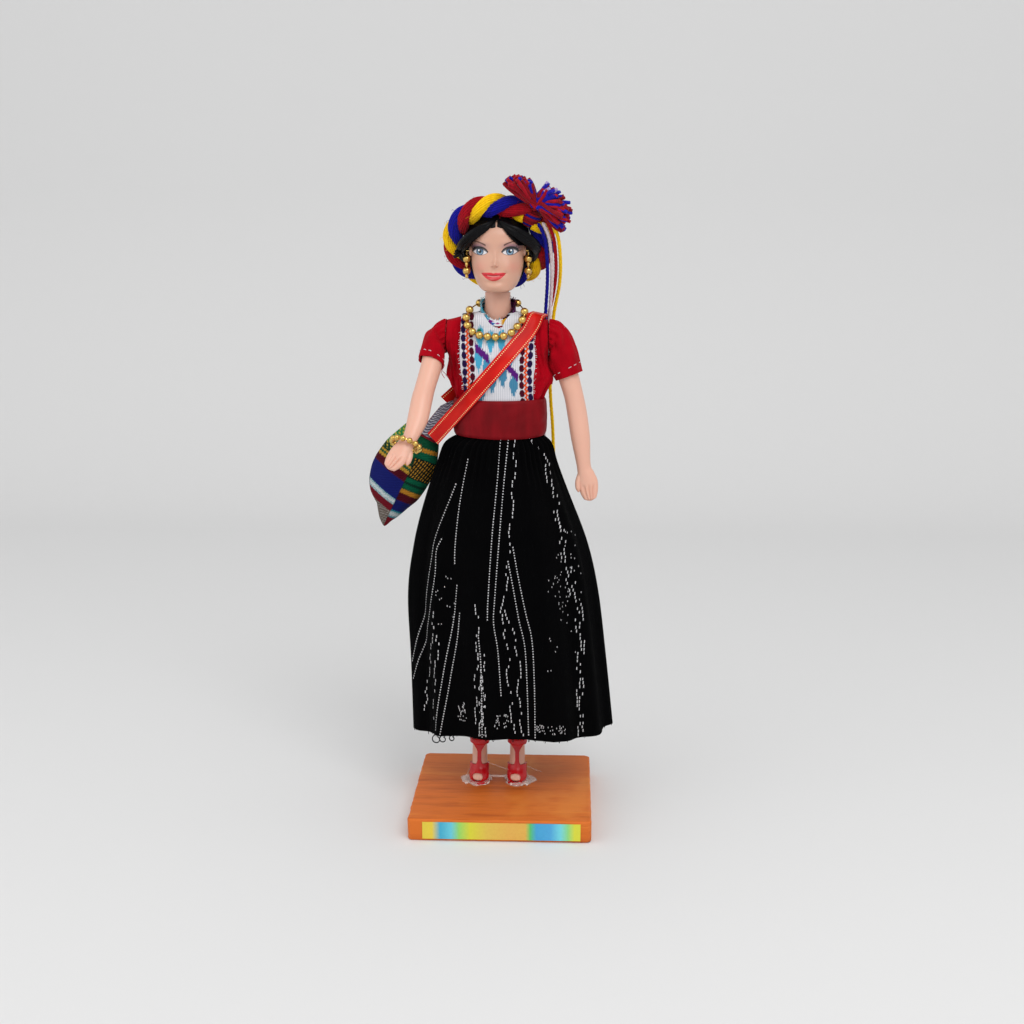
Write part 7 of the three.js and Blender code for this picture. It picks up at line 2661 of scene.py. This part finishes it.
@dataclass
class Head:
    """Vinyl head: a dense grid, finest in front, sculpted with soft bumps and then painted."""

    rows: int = 230
    columns: int = 380
    front_share: float = 0.6
    face: FacePaint = field(default_factory=FacePaint)
    power: float = 2.25

    ROWS = (
        (0.3, 4.2, -12.8, -7), (1.2, 6.9, -13.6, -1), (2.4, 8.4, -14, 5.5), (4.5, 9.9, -14.3, 9.2),
        (8.5, 11.5, -14.6, 12), (13.5, 12.6, -14.4, 14.5), (18.5, 12.9, -13.9, 16.2), (23.5, 13.2, -14.3, 17),
        (28.5, 13, -14, 16.8), (33.5, 11.8, -11, 15), (36.5, 9.5, -7, 12.5), (38.5, 5, -1.5, 8.5),
    )
    BUMPS = (
        (-0.6, 14.0, 1.45, 1.9, 1.5), (-0.7, 13.3, 0.95, 0.95, 0.75), (-2.1, 12.9, 0.6, 0.6, 0.45),
        (0.6, 12.9, 0.6, 0.6, 0.45), (-0.4, 17.6, 1.0, 2.6, 0.75), (-0.9, 10.8, 0.7, 0.8, -0.25),
        (-7.7, 19.4, 3.6, 2.0, -0.75), (6.3, 19.4, 3.6, 2.0, -0.75), (-7.8, 19.6, 2.2, 1.2, 0.55),
        (6.4, 19.6, 2.2, 1.2, 0.55), (-7.0, 23.8, 3.8, 1.3, 0.35), (5.9, 23.8, 3.8, 1.3, 0.35),
        (-8.2, 12.2, 3.2, 3.0, 0.75), (6.8, 12.2, 3.2, 3.0, 0.75), (-1.2, 9.0, 3.6, 0.75, 0.65),
        (-1.2, 6.9, 3.1, 0.95, 0.9), (-1.2, 8.1, 4.6, 0.3, -0.42), (-7.1, 9.3, 0.9, 0.9, -0.45),
        (4.7, 9.3, 0.9, 0.9, -0.45), (-1, 5.0, 3.0, 0.8, -0.4), (-0.6, 2.9, 3.8, 1.6, 0.85),
    )

    def build(self) -> None:
        """Make the head with its ears and the short neck under it."""
        points = self.grid()
        tone = linear(self.face.skin)
        lobes = np.array([[-12.9, -2.4, 19.9], [12.9, -2.4, 19.9]])
        ears = stamped(ball_shape(14, 20), lobes, np.array([1.2, 1.7, 2.6])).painted(tone)
        level = np.linspace(0.05, 6, 12)
        neck = skin(level_rings(level, 40, 5.5, 5.3)).painted(tone)
        head = joined([skin(points, colours=self.face.colours(points)), ears, neck]).moved(NECK)
        dress("doll_head", head, Finish.PAINTED_SKIN, Body.HEAD, "head")

    def grid(self) -> Array:
        """Rings of half ovals, front and back of unlike depth, their columns crowded to the front.

        Returns:
            The grid of points.
        """
        chin, rest = np.linspace(0.3, 1.6, 14)[:-1], np.linspace(1.6, 38.5, self.rows - 13)
        level = np.concatenate([chin, rest])[:, None]
        wide, front, back = rows_at(self.ROWS, level)
        turn = full_turn(self.columns)
        angle = turn - self.front_share * np.sin(turn + math.pi / 2)
        cosine, sine = bent(np.cos(angle), 2 / self.power), bent(np.sin(angle), 2 / self.power)
        x, y, z = np.broadcast_arrays(wide * cosine, (front + back) / 2 + (back - front) / 2 * sine, level)
        push = sum(height * hump(x, cx, wx) * hump(z, cz, wz) for cx, cz, wx, wz, height in self.BUMPS)
        return grid_of(x, y - push * ease(-sine, 0.1, 0.7), z)


@dataclass
class Wig:
    """Black wig: a smooth cap and tapered locks swept from the parting to behind the ears."""

    centre: tuple[float, float, float] = (0, 2, 19.5)
    radii: tuple[float, float, float] = (16.3, 17.7, 21.2)
    locks: int = 130
    stations: int = 22
    strands: int = 90

    ROWS = (
        (5, 11, -8, 13), (8.5, 13, -13, 15.6), (13.5, 14.6, -15.6, 18), (18.5, 15.6, -15.6, 19.6),
        (23.5, 16.6, -16, 20.2), (28.5, 16.4, -15.8, 20), (33.5, 14.6, -13.2, 18), (37, 11.5, -9.6, 15.2),
        (39.6, 7.5, -5, 11.5), (41, 3, -0.5, 6.5),
    )
    OPENING = (
        (-17, 19.5), (-13.3, 21.9), (-10.8, 25.3), (-5.6, 29.3), (0, 33.5), (1.4, 32.1), (4.4, 27.7),
        (7.8, 24), (10.8, 21.6), (17, 21.4),
    )
    LEFT_PUFF = (
        (2, -12.6, 33.5), (6.5, -14.3, 30.5), (11.5, -13.6, 27.6), (15.6, -10.8, 24.8), (18.2, -6.6, 22.4),
        (18.9, -1.5, 20.6), (17.6, 4, 17), (15.5, 8, 13.5),
    )
    RIGHT_PUFF = (
        (-1.6, -12.6, 33.5), (-6, -14.4, 30.8), (-10.6, -14, 28), (-14.2, -11.6, 25.2), (-16.8, -7.6, 22.6),
        (-18, -2.6, 20.8), (-17.2, 3, 17), (-15.5, 8, 13.5),
    )

    def build(self) -> None:
        """Make the wig as one piece."""
        parts = [self.cap(), self.swept(self.locks, 0.85, 5), self.swept(self.strands, 0.16, 6), self.curls()]
        parts += [self.bundle(path, order) for order, path in enumerate((self.LEFT_PUFF, self.RIGHT_PUFF))]
        dress("black_wig", joined(parts).moved(NECK), Finish.HAIR, Body.HEAD, "hair")

    def cap(self) -> Shape:
        """The wig's surface a little inside its locks, open over the face and under the nape.

        Returns:
            The mesh.
        """
        level = np.linspace(5, 41, 110)
        wide, front, back = rows_at(self.ROWS, level)
        grids = [
            level_rings(level, 200, wide - inset, (back - front) / 2 - inset, (front + back) / 2)
            for inset in (0.7, 1.5)
        ]
        x, y, z = np.moveaxis(grids[0][:-1], -1, 0)
        opening = np.array(self.OPENING)
        edge = np.interp(x, opening[:, 0], opening[:, 1]) + 0.8
        face = (y < 0.5) & (z < edge) & (np.abs(x) < 14.6)
        ring = grids[0][-1:]
        middle = ring.mean(axis=1, keepdims=True)
        top = middle + (ring - middle) * 0.02
        grids = [
            np.concatenate([grid, top + np.array([0, 0, rise])]) for grid, rise in zip(grids, (0.5, -0.3))
        ]
        keep = np.concatenate([~face, np.ones((1, 200), bool)])
        return shell(grids[0], grids[1], True, keep)

    def surface(self, direction: Array) -> Array:
        """Where rays from the centre in unit directions meet the wig's ellipsoid.

        Args:
            direction: Unit directions.

        Returns:
            The places.
        """
        radii = np.array(self.radii)
        reach = 1 / np.linalg.norm(direction / radii, axis=-1, keepdims=True)
        return np.array(self.centre) + direction * reach

    def swept(self, count: int, width: float, seed: int) -> Shape:
        """Locks on both sides: quadratic curves of directions from the parting to the nape.

        Args:
            count: How many locks.
            width: Half width of a lock.
            seed: Random seed.

        Returns:
            The mesh.
        """
        rng = np.random.default_rng(seed)
        order = (np.arange(count) + rng.uniform(0, 1, count)) / count
        side = np.where(np.arange(count) % 2 == 0, -1.0, 1.0)
        start_angle = np.radians(38 + 132 * order)
        start = np.stack([side * 0.02, -np.cos(start_angle), np.sin(start_angle)], axis=1)
        end_angle = np.radians(12 + 68 * order + rng.normal(0, 3, count))
        drop = np.where(side < 0, -0.34, -0.42) - 0.28 * order + rng.normal(0, 0.03, count)
        end = unit(np.stack([side * np.cos(end_angle), np.sin(end_angle), drop], axis=1))
        lift = np.where(side < 0, 0.56, 0.4)
        temple = unit(np.stack([side * 0.78, -0.62 + 1.1 * order, lift + 0.1 * order], axis=1))
        share = np.linspace(0, 1, self.stations)[None, :, None]
        outward = unit(bow(start[:, None], temple[:, None], end[:, None], share))
        phase = rng.uniform(-0.25, 0.35, (count, 1, 1)), rng.uniform(0, 6, (count, 1, 1))
        wave = phase[0] + 0.18 * np.sin(share * 9 + phase[1])
        places = self.surface(outward) + outward * wave * np.minimum(1, share * 5)
        taper = width * np.clip(np.minimum(share[..., 0] * 9 + 0.55, (1 - share[..., 0]) * 5), 0.15, 1)
        taper = taper * rng.uniform(0.75, 1.15, (count, 1))
        return tubes(places, taper, 8 if width > 0.5 else 5, outward, 0.55)

    def bundle(self, path: Sequence[Sequence[float]], seed: int) -> Shape:
        """Locks side by side along a path that puffs out past the temple, fanned out in the middle.

        Args:
            path: Corners of the path.
            seed: Which bundle.

        Returns:
            The mesh.
        """
        rng = np.random.default_rng(61 + seed)
        line = spline(np.array(path, float), 30)
        share = np.linspace(0, 1, 30)
        turn = rng.uniform(0, TURN, 34)[:, None] + 1.2 * share[None]
        spread = rng.uniform(0.2, 1, 34)[:, None] ** 0.5 * (0.5 + 2.0 * np.sin(share * math.pi)[None] ** 0.7)
        off = grid_of(0.75 * np.cos(turn), 0.5 * np.cos(turn + 1), np.sin(turn)) * spread[..., None]
        taper = 0.8 * np.clip(np.minimum(share * 6 + 0.3, (1 - share) * 6), 0.2, 1)
        taper = taper * rng.uniform(0.7, 1.1, (34, 1))
        return tubes(line[None] + off, taper, 7, (0.1, -1, 0.3), 0.8)

    def curls(self) -> Shape:
        """Curled ends over the yarn ring beside the right ear: short spirals that shrink.

        Returns:
            The mesh.
        """
        rng = np.random.default_rng(17)
        share = np.linspace(0, 1, 26)
        spans = ((-17.4, -16), (-3.5, 0), (19.4, 22.8))
        x, y, z = (rng.uniform(low, high, 12)[:, None] for low, high in spans)
        turn = share[None] * rng.uniform(3.0, 4.6, (12, 1))
        radius = rng.uniform(1.1, 2.2, (12, 1)) * (1 - 0.4 * share[None])
        path = grid_of(
            x - 2.6 * share[None] - radius * (1 - np.cos(turn)) * 0.8,
            y - 1.6 * np.sin(share[None] * 3) - 1.2 * share[None],
            z - 4.2 * share[None] - radius * np.sin(turn) * 0.6,
        )
        taper = 0.42 * np.clip(np.minimum(share * 6 + 0.4, (1 - share) * 5), 0.2, 1)
        return tubes(path, taper, 7, (0.1, -1, 0.2), 0.7)


@dataclass
class YarnRing:
    """Three skeins of yarn twisted round the head, with the knot and pompom where they meet."""

    centre: tuple[float, float, float] = (0.5, 3.75, 24)
    tilt: float = 37.4
    ring_radius: float = 22.15
    helix: float = 2.75
    turns: int = 5
    skein_radius: float = 2.3
    core_radius: float = 2.0
    strand_radius: float = 0.56
    strands: int = 15
    opening: float = 2 * math.asin(6 / (2 * 22.15))
    knot_radius: float = 4.9
    tufts: int = 260
    fibres: int = 130
    rows: int = 170

    def build(self) -> None:
        """Make the three skeins, the knot and the pompom."""
        for order, finish in enumerate((Finish.RED_YARN, Finish.YELLOW_YARN, Finish.BLUE_YARN)):
            word = finish.slot.removesuffix("_yarn")
            dress(f"skein_{word}", self.skein(order), finish, Body.HEAD, f"wrap_{word}")
        dress("yarn_knot", self.knot(), Finish.MIXED_YARN, Body.HEAD, "wrap_knot")
        dress("yarn_pompom", self.pompom(), Finish.MIXED_YARN, Body.HEAD, "pompom")

    @property
    def axes(self) -> tuple[Array, Array, Array]:
        """Right, up and normal of the ring's tilted plane.

        Returns:
            The three directions.
        """
        right = np.array([1.0, 0, 0])
        up = np.array([0, -math.sin(math.radians(self.tilt)), math.cos(math.radians(self.tilt))])
        return right, up, np.cross(right, up)

    def spoke(self, angle: Array) -> Array:
        """Unit directions from the ring's centre at angles in its plane."""
        right, up, _ = self.axes
        return spokes(angle, right, up)

    @property
    def knot_place(self) -> Array:
        """Where the skeins' ends meet, at 45 degrees on the ring."""
        return NECK + np.array(self.centre) + self.ring_radius * self.spoke(np.array(math.pi / 4))

    def skein(self, order: int) -> Shape:
        """A coil round the ring's centre line, made of strands that coil round the skein's own line.

        Args:
            order: Which skein.

        Returns:
            The mesh.
        """
        share = np.linspace(0, 1, self.rows)
        angle = math.pi / 4 + self.opening / 2 + share * (TURN - self.opening)
        turn = TURN * (self.turns * share + order / 3)
        normal = self.axes[2]
        spoke = self.spoke(angle)
        reach = (self.ring_radius + self.helix * np.cos(turn))[:, None]
        line = NECK + np.array(self.centre) + spoke * reach + normal * (self.helix * np.sin(turn))[:, None]
        along = unit(np.gradient(line, axis=0))
        first = unit(np.cross(along, spoke))
        second = np.cross(along, first)
        strand = full_turn(self.strands)[:, None] + 1.2 * TURN * share[None]
        wander = 0.12 * np.sin(7 * share[None] * TURN + np.arange(self.strands)[:, None] * 2.4)
        spread = (self.skein_radius + wander)[..., None]
        paths = line + spread * spokes(strand, first, second)
        core = tubes(line[None], self.core_radius, 14, spoke)
        fibres = self.hairs(line, first, second, order)
        return joined([tubes(paths, self.strand_radius, 6, spoke), core, fibres])

    def hairs(self, line: Array, first: Array, second: Array, order: int) -> Shape:
        """Loose fibres that stand off the skein: short arcs square to it.

        Args:
            line: The skein's line.
            first: Directions square to it.
            second: The other directions.
            order: Which skein.

        Returns:
            The mesh.
        """
        rng, count = np.random.default_rng(23 + order), self.fibres
        pick = rng.integers(4, self.rows - 4, count)
        out = spokes(rng.uniform(0, TURN, count), first[pick], second[pick])[:, None]
        along = unit(rng.normal(size=(count, 3)))[:, None]
        share = np.linspace(0, 1, 6)[None, :, None]
        root = line[pick][:, None] + out * 2.6
        reach = along * share * rng.uniform(0.8, 2.4, (count, 1, 1))
        paths = root + reach + out * 0.9 * np.sin(share * math.pi)
        return tubes(paths, 0.07, 4, unit(rng.normal(size=(count, 1, 3))))

    def knot(self) -> Shape:
        """A ball bound with turns of red and blue yarn.

        Returns:
            The mesh.
        """
        axis = unit(np.array([0.42, -0.3, 0.86]))
        first = unit(np.cross(axis, np.array([0, 1, 0])))
        height = np.linspace(-4.3, 4.3, 9)[:, None, None]
        reach = np.sqrt(self.knot_radius**2 - height**2)
        round_it = spokes(np.linspace(0, TURN, 49), first, np.cross(axis, first))
        loops = self.knot_place + axis * height + reach * round_it
        colours = palette("9a0818", "14148a", "9a0818", "7a0614")[np.arange(9) % 4]
        core = stamped(ball_shape(16, 24), self.knot_place[None], self.knot_radius).painted(linear("7a0614"))
        return joined([core, tubes(loops, 0.62, 7, tuple(axis), colours=colours)])

    def pompom(self) -> Shape:
        """Cut yarn ends in two fans: each end bends from the root to its own direction and length.

        Returns:
            The mesh.
        """
        rng, count = np.random.default_rng(33), self.tufts
        root = self.knot_place + np.array([2.6, -6.5, 5.6])
        upper = rng.uniform(0, 1, count) < 0.42
        degrees = np.where(upper, rng.uniform(100, 152, count), rng.uniform(-46, 62, count))
        turn = np.radians(degrees)
        lean = rng.uniform(-0.62, 0.35, count)
        flat = np.sqrt(1 - lean**2)
        heading = grid_of(flat * np.cos(turn), lean, flat * np.sin(turn))
        long_end = np.where(upper, ease(degrees, 96, 142), ease(degrees, 55, -28))
        length = ((11.6 + 7.6 * long_end) * rng.uniform(0.72, 1.0, count))[:, None, None]
        start = root + rng.normal(0, 1.0, (count, 1, 3))
        rise = unit(heading + rng.normal(0, 0.16, (count, 3)))
        middle = root + rise[:, None] * (length * 0.5)
        end = root + heading[:, None] * length
        paths = bow(start, middle, end, np.linspace(0, 1, 8)[None, :, None])
        radius = rng.uniform(0.74, 1.0, (count, 1)) * np.array([0.8, 0.9, 1, 1, 1, 1.04, 1.08, 0.86])[None]
        mostly_red = rng.choice(6, count, p=(0.5, 0.3, 0.08, 0.06, 0.04, 0.02))
        even = rng.choice(6, count, p=(0.3, 0.17, 0.26, 0.17, 0.06, 0.04))
        choice = np.where(upper & (degrees > 112), mostly_red, even)
        dyes = palette("ac0a20", "8c0818", "1c1cae", "1212a0", "b8a4d8", "d8c4cc")
        return tubes(paths, radius, 8, unit(rng.normal(size=(count, 1, 3))), colours=dyes[choice])


def main() -> None:
    """Build the studio and the doll from the base upwards, and set the view transform."""
    logging.basicConfig(level=logging.INFO, format="%(name)s: %(message)s")
    Studio().build()
    for assembly in (
        YarnTails(), WoodenBase(), Feet(), Trunk(), Blouse(), BrocadePanel(), Collar(), Sash(), Skirt(),
        Ribbon(), Beads(), Bag(), Arms(), Head(), Wig(), YarnRing(),
    ):
        assembly.build()
    bpy.context.scene.view_settings.view_transform = "Standard"


if __name__ == "__main__":
    main()
